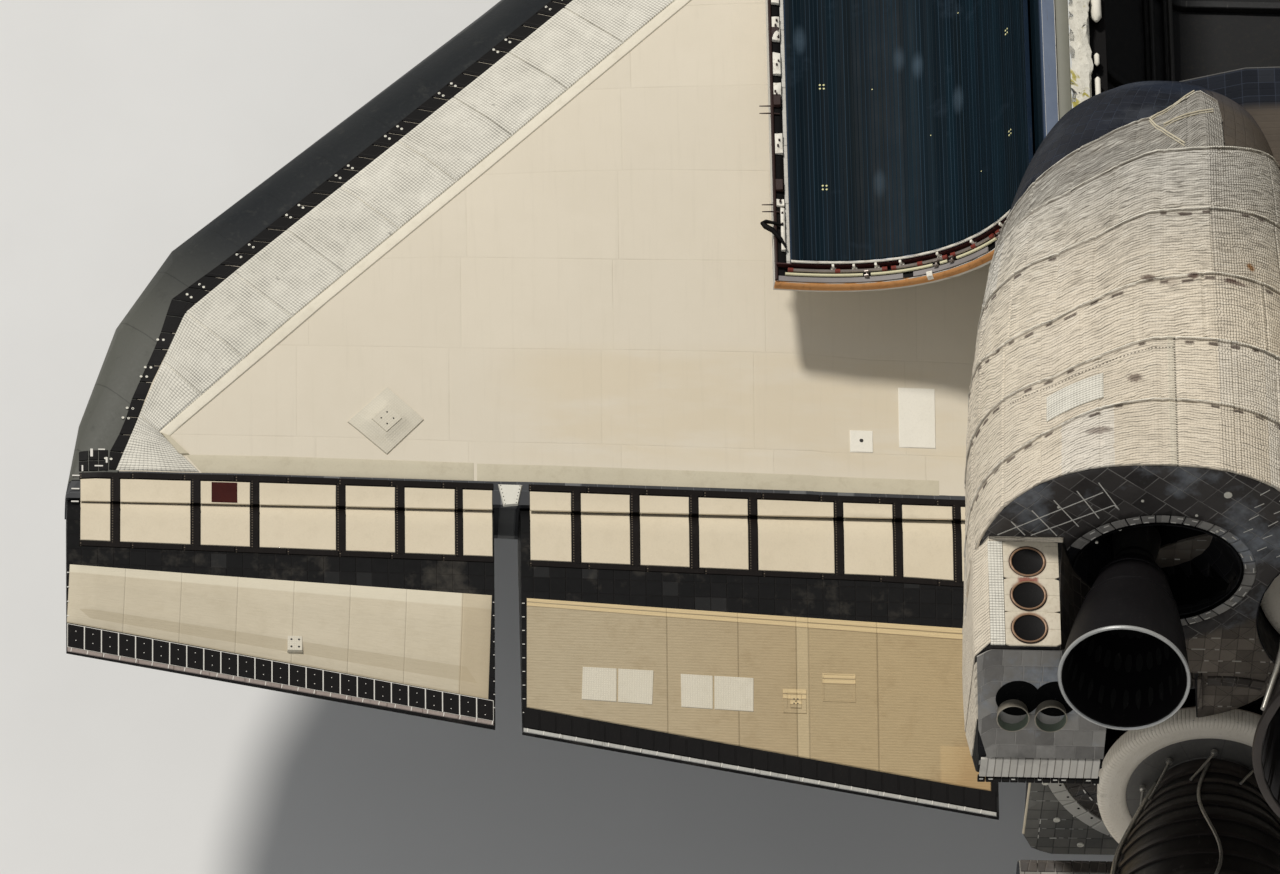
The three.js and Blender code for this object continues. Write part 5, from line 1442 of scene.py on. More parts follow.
    # paired prongs and swinging latch hooks over the free edge
    for x in (1224.6, 1228.0, 1226.5 + 44.0, 1226.5 + 47.2):
        for j in range(4):
            xx = x - 178 * j
            if xx > 585:
                y0 = door_at(xx, se - 3.5, 6.0)
                Q.tube([y0, y0 + np.array([0, 3.5, 0.3]), y0 + np.array([0, 7.6, 0.1])], [0.32, 0.32, 0.2], 6)
    for j in range(4):
        xx = 1289.5 - 4.0 - 178 * j
        if xx < 600:
            continue
        p0 = door_at(xx, se - 4.2, 6.6)
        spine = [p0 + np.array(v) for v in ((5.0, -0.4, 0.2), (1.5, 1.6, 0.8), (-2.2, 4.6, 1.1), (-4.2, 7.4, 0.9), (-5.6, 8.2, 0.6), (-6.6, 7.0, 0.5), (-6.0, 4.2, 0.6), (-5.2, 0.6, 0.4))]
        H.tube(spine, [0.4, 0.75, 1.05, 1.1, 1.0, 0.8, 0.6, 0.5], 8)
    K.pair("door_edge_frame", "payload_door_{s}", "door_skin", M["frame_black"], 40)
    D.pair("door_edge_latches", "payload_door_{s}", "rail_metal", M["frame_dark"], 40)
    # the hooks are on one door only: the other laps over and carries their rollers inside
    H.make("door_edge_hooks", "payload_door_port", "door_skin", M["frame_black"], 40)
    Q.make("door_edge_prongs", "payload_door_port", "rail_metal", M["frame_dark"], 40)
    W.pair("door_edge_blocks", "payload_door_{s}", "rail_metal", M["frame_white"], 50)

    # fixed strip at the hinge, crumpled insulation on the rail, longeron bars inside it
    B = Builder()
    for x0, x1 in ((581, 759), (761, 939), (941, 1119), (1121, 1303)):
        xs, prof = np.linspace(x0, x1, 8), [(102.25, 419.3), (102.25, 420.0), (101.4, 420.45), (99.0, 420.6), (97.75, 420.3), (97.75, 419.3)]
        verts = [(x, *p) for x in xs for p in prof]
        faces = grid_faces(6, 8, wrap_u=True) + [(5, 4, 3, 2, 1, 0), tuple(42 + i for i in range(6))]
        B.add(verts, faces)
    B.pair("hinge_strip", "airframe", "rail_metal", M["beige_strip"], 50)
    B = Builder()
    rng = random.Random(3)
    nseg = 360
    xs = np.linspace(580, 1304, nseg)
    prof = [(97.6, 0.0), (97.3, 0.55), (95.6, 0.9), (94.2, 1.3), (92.6, 2.0), (91.2, 2.2), (90.2, 1.5), (90.0, 0.2)]
    verts, coords = [], []
    for x in xs:
        big = 0.65 + 0.35 * math.sin(x * 0.11) * math.sin(x * 0.043 + 1)
        for k, (y, h) in enumerate(prof):
            j = 0.0 if k in (0, 7) else 1.0
            inner = k >= 3
            dy = rng.uniform(-0.45, 0.45) * j + (0.9 * math.sin(x * 0.21 + k) * big if inner and j else 0.0)
            hz = (h * (0.75 + 0.5 * rng.random()) + (0.9 * max(0, math.sin(x * 0.17)) if inner else 0.0)) if j else h
            verts.append((x, y + dy, 420.3 + min(hz, 0.1 if y + dy > 95.5 else 0.28 if y + dy > 93.0 or not 588 < x < 1296 else 2.4)))
            coords.append((x, y, 0.0))
    faces = grid_faces(8, nseg, wrap_u=True) + [tuple(range(7, -1, -1)), tuple((nseg - 1) * 8 + i for i in range(8))]
    B.add(verts, faces, coords)
    B.pair("rail_insulation", "airframe", "rail_metal", M["crumple"], 20)
    S, A = Builder(), Builder()
    for x0, x1 in ((581, 939), (941, 1303)):
        S.block(((x0 + x1) / 2, 87.3, 414.6), [(1, 0, 0), (0, 1, 0), (0, 0, 1)], ((x1 - x0) / 2, 4.1, 0.6), 0.2)
    bars = [(1255.0, 1271.5, 1.05), (1244.0, 1249.6, 1.0), (1213.0, 1229.0, 2.0), (1277.0, 1296.0, 1.05)]
    for j in range(8):
        for a, b, r in bars:
            a, b = a - 84 * j, b - 84 * j
            if a < 583:
                continue
            y = 87.0 if r > 1.5 else 87.4
            n = 5
            px = [a, a + r * 0.9, b - r * 0.9, b]
            A.tube([(x, y, 419.0) for x in px], [r * 0.35, r, r, r * 0.35], 10)
            for x in (a + 2, b - 2):
                S.block((x, y, 416.8), [(1, 0, 0), (0, 1, 0), (0, 0, 1)], (0.8, 1.4, 2.0), 0.3)
    S.pair("longeron_shelf", "airframe", "rail_metal", M["frame_black"], 40)
    A.pair("longeron_bars", "airframe", "rail_metal", M["new_felt"], 40)


door_details()


# ------------------------------------------------------------------ orbital manoeuvring pods
def shell(B, top, bot, nu, nv, coords, keep=None, wrap=False, mat=0, drop=None):
    """A closed sheet between two grids of points; keep(point) and the marks in drop leave faces out."""
    top, bot = np.asarray(top, float), np.asarray(bot, float)
    n = len(top)
    quads = grid_faces(nu, nv, wrap_u=wrap)
    if keep is not None:
        quads = [q for q in quads if all(keep(top[i]) for i in q)]
    if drop is not None:
        quads = [q for q in quads if not all(drop[i] for i in q)]
    edges = {}
    for q in quads:
        for a, b in zip(q, q[1:] + q[:1]):
            edges[(a, b)] = edges.get((a, b), 0) + 1
    faces = list(quads) + [tuple(i + n for i in reversed(q)) for q in quads]
    for (a, b) in edges:
        if (b, a) not in edges:
            faces.append((b, a, a + n, b + n))
    used = sorted({i for f in faces for i in f})
    index = {v: k for k, v in enumerate(used)}
    pts = np.vstack([top, bot])[used]
    cc = np.vstack([coords, coords])[used]
    B.add(pts, [tuple(index[i] for i in f) for f in faces], cc, mat)


def hermite(xs, ys):
    """Smooth monotone curve through points."""
    xs, ys = np.asarray(xs, float), np.asarray(ys, float)
    h = np.diff(xs)
    d = np.diff(ys) / h
    m = np.zeros(len(xs))
    m[0], m[-1] = d[0], d[-1]
    for k in range(1, len(xs) - 1):
        if d[k - 1] * d[k] > 0:
            w1, w2 = 2 * h[k] + h[k - 1], h[k] + 2 * h[k - 1]
            m[k] = (w1 + w2) / (w1 / d[k - 1] + w2 / d[k])

    def f(x):
        k = min(max(int(np.searchsorted(xs, x)) - 1, 0), len(xs) - 2)
        t = (x - xs[k]) / h[k]
        return ys[k] * (1 + 2 * t) * (1 - t) ** 2 + h[k] * m[k] * t * (1 - t) ** 2 + ys[k + 1] * t * t * (3 - 2 * t) + h[k] * m[k + 1] * t * t * (t - 1)
    return f


POD_X = [1309, 1330, 1365, 1410, 1460, 1531]
POD_F = [hermite(POD_X, v) for v in ([70, 73, 77, 81, 82.5, 83.2], [460, 466, 472, 476, 478, 478], [26, 41, 51, 58, 62.5, 64.2], [30, 46, 59, 66, 68, 67], [0, 0, 0, 0, 0, 0.14])]
ENGINE_TOP = (np.array([1445.0, 0, 443.0]), np.array([math.cos(math.radians(16)), 0, math.sin(math.radians(16))]))


def pod_at(x, deg, off=0.0):
    yc, zc, hw, hh, lean = (f(x) for f in POD_F)
    a, k = math.radians(deg), 2 / 2.5
    c, q = math.cos(a), math.sin(a)
    y, z = hw * math.copysign(abs(c) ** k, c), hh * math.copysign(abs(q) ** k, q)
    r = math.hypot(y, z)
    return np.array([x - lean * z, max(yc + y * (1 + off / r), 18.2), zc + z * (1 + off / r)])


def clear_of_engine(p):
    o, d = ENGINE_TOP
    s = (p - o) @ d
    return not (30 < s < 160 and np.linalg.norm(p - o - d * s) < 42.2)


ARCS = np.array([0, 15, 30, 45, 60, 75, 90, 105, 120, 135, 150, 180], float)
RIDGES = [np.interp(ARCS, [0, 31, 50, 70, 88, 94, 104, 112.5, 113, 130, 150, 180], [1386, 1378, 1372, 1364, 1352, 1341, 1327, 1334, 1366, 1360, 1352, 1346]),
          np.interp(ARCS, [0, 30, 61, 76, 90, 112, 150, 180], [1392, 1394, 1392, 1384, 1373, 1367, 1353, 1347]),
          np.interp(ARCS, [0, 23, 61, 75, 89, 110, 142, 180], [1414, 1420, 1422, 1417, 1406, 1401, 1395, 1388]),
          np.interp(ARCS, [0, 10, 30, 58, 78, 84, 103, 136, 180], [1441, 1444, 1452, 1454, 1446, 1441, 1434, 1431, 1428]),
          np.interp(ARCS, [0, 14, 59, 76, 88, 112, 180], [1473, 1476, 1480, 1474, 1466, 1464, 1462]),
          np.interp(ARCS, [0, 36, 54, 76, 91, 130, 180], [1505, 1508, 1508, 1500, 1496, 1496, 1496]),
          np.full(len(ARCS), 1531.0)]
RIDGE0_FINE = ([-60, 0, 31, 50, 70, 88, 94, 104, 112.4, 113.2, 130, 150, 180, 215], [1386, 1386, 1378, 1372, 1364, 1352, 1341, 1327, 1334, 1366, 1360, 1352, 1347, 1347])


def ridge(k, deg):
    return np.interp(deg, *RIDGE0_FINE) if k == 0 else np.interp(deg, ARCS, RIDGES[k])


SEAMS = {0: [20, 40, 62, 84, 98], 1: [2, 20, 44, 62, 79, 91, 110, 140, 164], 2: [-6, 14, 38, 60, 74, 90, 106, 138, 155, 172], 3: [0, 18, 36, 54, 70, 86, 102, 126, 145, 164],
         4: [-8, 10, 36, 54, 76, 90.6, 93.6, 111, 130, 150, 168], 5: [-8, 10, 36, 54, 76, 90.6, 93.6, 111, 130, 150, 168]}


def pod_mats():
    M = MATS
    # quilted pod blankets: own = (inches behind the row's front ridge, inches round the pod, row)
    g = Graph("pod_blanket", Roughness=0.9)
    p, q, tag = g.attr("own")
    x, y, z = g.station()
    sv = g.station_vector()
    n1, n2, n3 = g.noise(sv, 0.015, 4, 0.6), g.noise(sv, 0.07, 5, 0.65), g.noise(sv, 1.1, 3, 0.7)
    fore = g.ramp01(x, 1452, 1375)
    cold = g.mix(n1, srgb(172, 167, 157), srgb(206, 201, 190))
    warm = g.mix(n1, srgb(213, 200, 178), srgb(232, 220, 200))
    c = g.mix(fore, warm, cold)
    first = tag.below(0.5, 0.2)
    c = g.mix(first * 0.55, c, srgb(112, 108, 100))
    bay = g.cell(q, tag * 40.0, 19.0, 40.0, seed=3.0)
    c = g.tint(c, bay * 0.14 + 0.93)
    c = g.mix(bay.above(0.86, 0.02) * 0.35, c, srgb(212, 212, 208))
    # stitched grooves run with the ridges and wander, darkened as painted crease shade; crossed stitching shows on the
    # inner column, darkened the same way. The streaks along the rows darken some places, and their light parts are
    # painted wrinkle highlights
    wob = g.noise(g.vec(p * 0.06, q * 0.10, tag * 5.0), 1.0, 3, 0.6) * 3.2
    groove = g.line(p + wob, 1.3, 0.42, soft=0.24)
    inner = q.below(-18.5, 0.5)
    cross = g.line(q, 1.15, 0.34, soft=0.2)
    deep = (g.noise(g.vec(p * 0.5, q * 0.11, tag), 1.0, 4, 0.7) - 0.27).clamp() * 2.6
    streak = g.noise(g.vec(p * 1.0 + wob, q * 0.11, tag * 3.0), 1.0, 3, 0.65)
    lead = g.ramp01(x, 1500, 1385)
    c = g.mix(groove * deep.min(1.0) * (lead * 0.3 + 0.42), c, srgb(84, 76, 64))
    c = g.mix(streak.above(0.57, 0.06) * (lead * 0.42 + 0.14), c, srgb(78, 72, 62))
    c = g.mix(streak.below(0.40, 0.05) * (lead * 0.30 + 0.12), c, srgb(232, 227, 214))
    c = g.mix(cross * (inner * lead * 0.40 + 0.08), c, srgb(84, 77, 66))
    dirt = (n2 - 0.5).clamp() * 1.3
    c = g.mix(dirt * 0.4, c, srgb(146, 130, 102))
    # scorched dashes behind the ridges, uneven in size and place
    pick, size = g.cell(q - 4.3, tag * 40.0, 8.6, 40.0, seed=11.0), g.cell(q - 4.3, tag * 40.0, 8.6, 40.0, seed=17.0)
    dp, dq = (p - size * 1.6 - 1.9).abs() - n3 * 0.7, g.to_line(q, 8.6) - n2 * 1.6
    dash = dp.below(0.42, 0.4) * (dq - size * 1.2).below(0.35, 0.5) * pick.above(0.26, 0.03) * tag.above(1.5, 0.2) * q.above(-45.0, 1.0)
    c = g.mix(dash * 0.85, c, srgb(60, 42, 34))
    # painted highlights on the ridges, and painted shade in the line behind them
    c = g.mix(p.below(0.95, 0.3) * (n3 * 0.5 + 0.45), c, srgb(236, 230, 214))
    c = g.mix(p.between(1.2, 1.75, 0.18) * 0.62, c, srgb(82, 72, 58))
    # stitched double seam and dotted rows of the aft blankets
    aft = tag.above(3.5, 0.2)
    band = q.between(-3.4, -0.4, 0.15)
    c = g.mix(band * aft * 0.6, c, srgb(206, 198, 178))
    dots = (g.to_line(p, 1.25).below(0.3, 0.12) * (q + 3.0).abs().below(0.34, 0.12)) + (g.to_line(q, 1.25).below(0.3, 0.12) * (p - 5.2).abs().below(0.3, 0.12) * tag.between(3.6, 4.4, 0.1) * q.between(-3.0, 62.0, 0.5))
    c = g.mix(dots.min(1.0) * aft * 0.85, c, srgb(60, 50, 42))
    # a few larger stains and one rusty spot
    for x0, q0, rx, rq, amt in ((1439, 5.8, 1.7, 3.0, 0.8), (1437, -10.9, 1.8, 2.4, 0.85), (1437, -27.0, 1.3, 6.5, 0.75), (1440.5, -2.6, 2.4, 3.0, 0.3), (1484, 11.5, 2.2, 3.0, 0.7), (1506, 24, 1.6, 5.0, 0.6), (1427, -34.9, 2.3, 2.5, 0.95)):
        d = (((x - x0) / rx).pow(2.0) + ((q - q0) / rq).pow(2.0)).pow(0.5) + (n3 - 0.5) * 1.1 + (n2 - 0.5) * 1.4
        c = g.mix(d.below(0.85, 0.4) * amt, c, srgb(74, 48, 38) if x0 != 1427 else srgb(128, 84, 30))
    h = groove * deep.min(1.0) * -0.9 - cross * (inner * 0.5 + 0.1) + n2 * 0.6 + streak * 0.5 + n3 * 0.15
    M["pod_blanket"] = g.finish(c, None, g.bump(h, 0.8, 0.016))

    # dark tiles with pale joints laid at an angle: own = (u, v)
    def dark(name, size_u, size_v, a, b, joint, tilt=0.0, rough=0.42, sheen=0.35, corner=False, spec=0.15, brown=False):
        g = Graph(name, **{"Specular IOR Level": spec})
        u0, v0, tag = g.attr("own")
        ct, st = math.cos(math.radians(tilt)), math.sin(math.radians(tilt))
        u, v = u0 * ct + v0 * st, v0 * ct - u0 * st
        row = (v / size_v).floor()
        u = u + g.white(g.vec(row, 7.0, tag)) * size_u * 0.5
        sv = g.station_vector()
        n1, n2, n3 = g.noise(sv, 0.035, 5, 0.65), g.noise(sv, 0.22, 4, 0.7), g.noise(sv, 1.6, 3, 0.7)
        cell = g.white(g.vec((u / size_u).floor(), row, 3.0))
        gap = g.line(u, size_u, 0.34, soft=0.16).max(g.line(v, size_v, 0.34, soft=0.16))
        on = g.white(g.vec((u / size_u + 0.5).floor(), (v / size_v + 0.5).floor(), 9.0))
        c = g.mix(cell * 0.6 + n2 * 0.4, a, b)
        c = g.mix((n1 - 0.5).clamp() * sheen * 4.0, c, g.mix(n2, srgb(112, 124, 138), srgb(176, 178, 180)))
        c = g.mix((0.44 - n1).clamp() * 2.4, c, srgb(22, 18, 16))
        c = g.mix(gap * (on * 0.7 + 0.2), c, joint)
        c = g.mix((n3 - 0.66).clamp() * 2.6, c, srgb(140, 138, 134))
        if corner:
            low = ((u0 * 0.5 + v0) - 492.0 + n1 * 8.0).below(0.0, 2.0) * u0.below(76.0, 3.0)
            gap2 = g.line(u0, 6.0, 0.3, soft=0.16).max(g.line(v0, 6.0, 0.3, soft=0.16))
            cell2 = g.white(g.vec((u0 / 6.0).floor(), (v0 / 6.0).floor(), 13.0))
            c2 = g.mix(cell2 * 0.6 + n2 * 0.4, srgb(66, 60, 54), srgb(132, 122, 110))
            chip = g.white(g.vec((u0 / 1.7).floor(), (v0 / 6.0 + 0.5).floor(), 11.0)).above(0.8, 0.01) * g.line(v0, 6.0, 0.6, soft=0.15)
            c = g.mix(low, c, g.mix(chip * 0.6, g.mix(gap2 * 0.6, c2, srgb(40, 36, 33)), srgb(196, 190, 178)))
        if brown:
            near = (v0 + n1 * 6.0).below(-19.0, 2.5) * (u0 + n1 * 10.0).above(1327.0, 3.0)
            c = g.mix(near, c, g.mix(n1 * 0.6 + n2 * 0.4, srgb(50, 46, 43), srgb(96, 86, 74)))
            ends = (u0 - 1309.0 - (1.0 - v0 / 80.0) * 12.0).abs().below(9.0, 5.0) * 0.25
            c = g.mix(ends, c, srgb(44, 56, 76))
        h = cell * 0.3 - gap * 0.9 + n3 * 0.15
        return g.finish(c, n2 * 0.25 + rough - 0.1, g.bump(h, 0.6, 0.01))

    M["pod_front"] = dark("pod_front_tiles", 6.0, 6.0, srgb(13, 16, 24), srgb(26, 30, 40), srgb(46, 54, 68), 8.0, 0.5, 0.12, spec=0.14, brown=True)
    M["pod_aft"] = dark("pod_aft_tiles", 9.5, 8.5, srgb(46, 43, 42), srgb(82, 78, 75), srgb(150, 146, 140), 38.0, sheen=0.9, corner=True)
    M["slope"] = dark("housing_slope_tiles", 7.0, 7.0, srgb(98, 95, 91), srgb(162, 158, 151), srgb(168, 164, 157), 0.0, 0.5, 1.5)
    M["lip"] = dark("housing_lip_tiles", 6.0, 20.0, srgb(168, 163, 153), srgb(210, 205, 195), srgb(52, 50, 48), 0.0, 0.55, 0.3)
    M["base_dark"] = dark("base_field_tiles", 6.0, 6.0, srgb(44, 41, 38), srgb(88, 81, 74), srgb(112, 105, 97), 12.0, 0.5, 0.2)
    M["flap_grey"] = dark("flap_tiles", 5.6, 5.6, srgb(74, 72, 68), srgb(112, 108, 100), srgb(34, 32, 30), 0.0, 0.55, 0.25)

    # stained cream panel round the thruster ports: own = (x, y)
    g = Graph("port_panel", Roughness=0.7)
    x, y, tag = g.attr("own")
    sv = g.station_vector()
    n1, n2 = g.noise(sv, 0.09, 5, 0.7), g.noise(sv, 0.6, 4, 0.7)
    c = g.mix(n1, srgb(186, 174, 150), srgb(214, 204, 184))
    c = g.mix((n2 - 0.5).clamp() * 1.3, c, srgb(138, 116, 84))
    rust = None
    for xc in (1538.6, 1553.1, 1567.1):
        r = (((x - xc)).pow(2.0) + ((y - 128.5)).pow(2.0)).pow(0.5)
        ring = (r - 6.4).below(0.0, 0.9) + (r - 6.4 + n2 * 3.0 - 1.9).below(0.0, 0.7) * 0.6
        rust = ring if rust is None else rust.max(ring)
    c = g.mix(rust.min(1.0) * 0.7, c, srgb(124, 76, 44))
    flame = (x - 1546.4 - n2 * 3.0 + 1.4).abs().below(0.9, 0.5) * (y - 128.5).abs().below(3.6, 0.6)
    c = g.mix(flame * 0.8, c, srgb(128, 42, 22))
    joint = g.line(x, 7.2, 0.2, at=1545.9, soft=0.15) * (y - 128.5).abs().above(6.4, 0.2)
    c = g.mix(joint * 0.4, c, srgb(110, 92, 64))
    M["port_panel"] = g.finish(c, None, g.bump(n2 * 0.5 - joint * 0.6, 0.5, 0.008))

    M["port_ring"] = mat_metal("port_ring", srgb(108, 78, 56), srgb(160, 128, 98), 0.5, 0.2, 2.0)
    # inside of the thruster ports: near-black painted shade
    M["port_dark"] = mat_plain("port_inside_painted_shade", srgb(6, 5, 5), srgb(20, 18, 17), 0.5, 2.0, spec=0.09)
    M["tube_out"] = mat_metal("thruster_outside", srgb(120, 112, 98), srgb(170, 162, 146), 0.45, 0.4, 2.0)
    M["tube_in"] = mat_plain("thruster_inside", srgb(88, 96, 82), srgb(132, 140, 124), 0.5, 1.5)
    M["bell_black"] = mat_plain("nozzle_black", srgb(9, 8, 9), srgb(22, 20, 21), 0.5, 1.0, 0.0, spec=0.1)
    M["bell_rim"] = mat_metal("nozzle_rim", srgb(150, 150, 148), srgb(184, 184, 180), 0.35, 0.4, 2.0)
    # near-black for openings, wells and recesses: painted shade standing in for the dark inside them
    M["void"] = mat_plain("recess_painted_shade", srgb(4, 4, 4), srgb(9, 9, 9), 0.8, 1.0, spec=0.05)


pod_mats()


def arc_inches(x):
    """Inches round the pod from the crest for each whole degree, positive outboard."""
    degs = np.arange(-60, 216, 1.0)
    pts = np.array([pod_at(x, d) for d in degs])
    s = np.r_[0, np.cumsum(np.linalg.norm(np.diff(pts[:, 1:], axis=0), axis=1))]
    s = np.interp(91.5, degs, s) - s
    return degs, s


def pod_details():
    M = MATS
    degs, arc = arc_inches(1470.0)
    span = np.unique(np.concatenate([np.arange(-58, 206, 2.2), [112.4, 112.8, 113.2]]))
    rng = random.Random(21)

    # dark front
    B = Builder()
    rows = 22
    top, bot, cc = [], [], []
    for j in range(rows):
        for d in span:
            x = 1309.4 + (ridge(0, d) - 0.1 - 1309.4) * j / (rows - 1)
            top.append(pod_at(x, d, 0.30))
            bot.append(pod_at(x, d, -0.6))
            cc.append((x, np.interp(d, degs, arc), 0.0))
    shell(B, top, bot, len(span), rows, cc, clear_of_engine)
    B.pair("pod_front_{s}", "airframe", "pod_quilt", M["pod_front"], 30)

    # rows of blankets
    for k in range(6):
        B = Builder()
        seams = SEAMS[k]
        ds = [d for d in span if not (k == 0 and d > 112.9)]
        # denser sampling at the seams
        ds = np.unique(np.round(np.concatenate([ds, *[[s - 1.1, s - 0.45, s, s + 0.45, s + 1.1] for s in seams if s < ds[-1] - 1.2]]), 2))
        width = 30.0
        m = 54
        offs = {}
        top, bot, cc = [], [], []
        us = np.r_[0, 0.012, 0.03, 0.05, np.linspace(0.075, 0.965, m), 0.985, 1.0]
        for u in us:
            for d in ds:
                xa, xb = ridge(k, d), ridge(k + 1, d)
                x = xa + (xb - xa) * u
                back = (xb - xa) * u
                left = (xb - xa) * (1 - u)
                # ridge at the front edge, soft pillow, a valley at each seam with a raised lip beside it
                h = 0.45 + 0.70 * math.exp(-((back - 0.75) / 0.6) ** 2) - 0.36 * math.exp(-((back - 1.7) / 0.38) ** 2) + 0.22 * math.exp(-((back - 2.6) / 0.45) ** 2) * (0.6 + 0.4 * math.sin(d * 0.31 + k))
                near = min((abs(d - s) for s in seams), default=99.0)
                h += 0.20 * min(1.0, near / 5.0) * min(1.0, back / 4.0) * min(1.0, left / 3.0)
                h += 0.28 * math.exp(-((near - 0.9) / 0.35) ** 2) - 0.22 * math.exp(-(near / 0.3) ** 2)
                h += (0.20 if k < 2 else 0.13) * math.sin(2 * math.pi * (back + 0.9 * math.sin(d * 0.21 + k) + 0.5 * math.sin(d * 0.63 + back * 0.2)) / 2.4) * min(1, back / 2.2) * min(1, near / 1.3)
                h += 0.10 * math.sin(d * 0.8 + 3 * k + back * 0.2) * math.sin(back * 0.55 + d * 0.13)
                if k == 5:
                    h += 0.35 * math.exp(-((left - 0.8) / 0.7) ** 2)
                top.append(pod_at(x, d, h))
                bot.append(pod_at(x, d, -0.5))
                cc.append((back, np.interp(d, degs, arc), float(k)))
        shell(B, top, bot, len(ds), len(us), cc, clear_of_engine)
        B.pair("pod_blankets_%d_{s}" % k, "airframe", "pod_quilt", M["pod_blanket"], 60)

    # double seams of the small pieces ahead of the second row
    B = Builder()
    for pts in (((1353.6, 87.6), (1358.2, 89.3), (1362.4, 91.4), (1365.6, 94.0), (1368.6, 96.8)), ((1357.4, 90.6), (1353.4, 93.4), (1350.0, 97.0), (1346.4, 102.6), (1343.0, 109.2)), ((1353.6, 87.8), (1341.5, 93.6), (1334.0, 97.6), (1328.0, 102.0))):
        for shift, r in ((0.0, 0.36), (1.7, 0.24)):
            run = [(np.interp(t, np.arange(len(pts)), [p[0] for p in pts]) + shift, np.interp(t, np.arange(len(pts)), [p[1] for p in pts])) for t in np.linspace(0, len(pts) - 1, 22)]
            B.tube([pod_at(x, d, 0.75 if x > ridge(0, d) else 0.2) for x, d in run], r, 8)
    B.pair("pod_seams_{s}", "airframe", "pod_quilt", M["grey_felt"], 50)

    # brighter repair blanket
    B = Builder()
    top, bot, cc = [], [], []
    us, vs = np.linspace(0, 1, 26), np.linspace(0, 1, 18)
    for v in vs:
        for u in us:
            d = 57 + 20 * u
            x = 1489.5 - 6.5 * u + 12.5 * v
            e = min(u, 1 - u) * 22, min(v, 1 - v) * 12.5
            h = 0.9 + 0.35 * min(1.0, min(e) / 0.8) + 0.12 * math.sin(2 * math.pi * v * 12.5 / 1.6) * min(1.0, min(e))
            top.append(pod_at(x, d, h))
            bot.append(pod_at(x, d, 0.1))
            cc.append((v * 12.5, u * 22, 40.0))
    shell(B, top, bot, 26, 18, cc)
    B.pair("pod_patch_{s}", "airframe", "pod_quilt", M["quilt"], 50)

    # aft face: tiles between the rim and the opening
    rim = np.array([pod_at(1531.0, d)[1:] for d in np.arange(0, 360, 1.0)])
    oc = np.array([80.0, 490.0])
    ang = np.unwrap(np.arctan2(rim[:, 1] - oc[1], rim[:, 0] - oc[0]))
    rad = np.linalg.norm(rim - oc, axis=1)
    order = np.argsort(ang % (2 * math.pi))
    aa, rr = (ang % (2 * math.pi))[order], rad[order]

    def face_at(y, z, off=0.0):
        return np.array([1531.0 - 0.14 * (z - 478) + off, y, z + 0.14 * off])

    def polar(phi, t, off, inner=1.0):
        ro = np.interp(phi % (2 * math.pi), aa, rr, period=2 * math.pi)
        ri = inner / math.hypot(math.cos(phi) / 31.0, math.sin(phi) / 25.5)
        r = ri + (ro - 0.4 - ri) * t
        return face_at(oc[0] + r * math.cos(phi), oc[1] + r * math.sin(phi), off)

    def snap(p):
        """Bring a point of the aft face back to the face's own outline."""
        p = p.copy()
        if p[1] < 18.3:
            p[1] = 18.3
        if p[2] < 437.6 and p[1] > 59.6:
            p[2] = 437.6
        o, d = ENGINE_TOP
        for _ in range(3):
            q = p - o - d * ((p - o) @ d)
            m = np.linalg.norm(q)
            if m < 42.3:
                p = p + q / m * (42.3 - m)
                p[0] = face_at(p[1], p[2], 0.3)[0]
        return p

    def keep_face(p):
        return p[1] > 18.25 and p[2] > 437.5 and clear_of_engine(p) and not (p[1] > 99 and p[2] < 500)

    B = Builder()
    top, bot, cc = [], [], []
    nphi, moved = 240, []
    ts = np.linspace(0, 1, 30)
    for t in ts:
        for i in range(nphi):
            phi = 2 * math.pi * i / nphi
            p = polar(phi, t, 0.45, 1.16)
            q = snap(p)
            moved.append(np.linalg.norm(q - p) > 0.05)
            top.append(q)
            bot.append(q - np.array([0.85, 0, 0]))
            cc.append((q[1], q[2], 0.0))
    shell(B, top, bot, nphi, len(ts), cc, None, wrap=True, drop=moved)
    B.pair("pod_aft_face_{s}", "airframe", "pod_quilt", M["pod_aft"], 30)

    # ring of small tiles round the opening with white filler ticks
    B, K = Builder(), Builder()
    n = 34
    for i in range(n):
        a0, a1 = 2 * math.pi * (i + 0.05) / n, 2 * math.pi * (i + 0.95) / n
        top, bot, cc = [], [], []
        for j, f in enumerate((1.0, 1.012, 1.08, 1.148, 1.16)):
            for q in np.linspace(a0, a1, 4):
                off = (0.05, 0.5, 0.62, 0.5, 0.1)[j]
                p = polar(q, 0.0, off, f)
                top.append(p)
                bot.append(polar(q, 0.0, -0.8, f))
                cc.append((f * 27, q * 27, float(i)))
        shell(B, top, bot, 4, 5, cc, keep_face)
        for f in (1.035, 1.125):
            if (i * 7 + int(f * 100)) % 3 != 0:
                q = a0 + (a1 - a0) * (0.3 if f < 1.1 else 0.7)
                p, p2 = polar(q - 0.035, 0.0, 0.68, f), polar(q + 0.035, 0.0, 0.68, f)
                if keep_face(p):
                    K.block((p + p2) / 2, [p2 - p, (0.99, 0, 0.14), np.cross(unit(p2 - p), (0.99, 0, 0.14))], (np.linalg.norm(p2 - p) / 2, 0.1, 0.22), 0.05)
    B.pair("pod_opening_tiles_{s}", "airframe", "pod_quilt", M["slope"], 30)
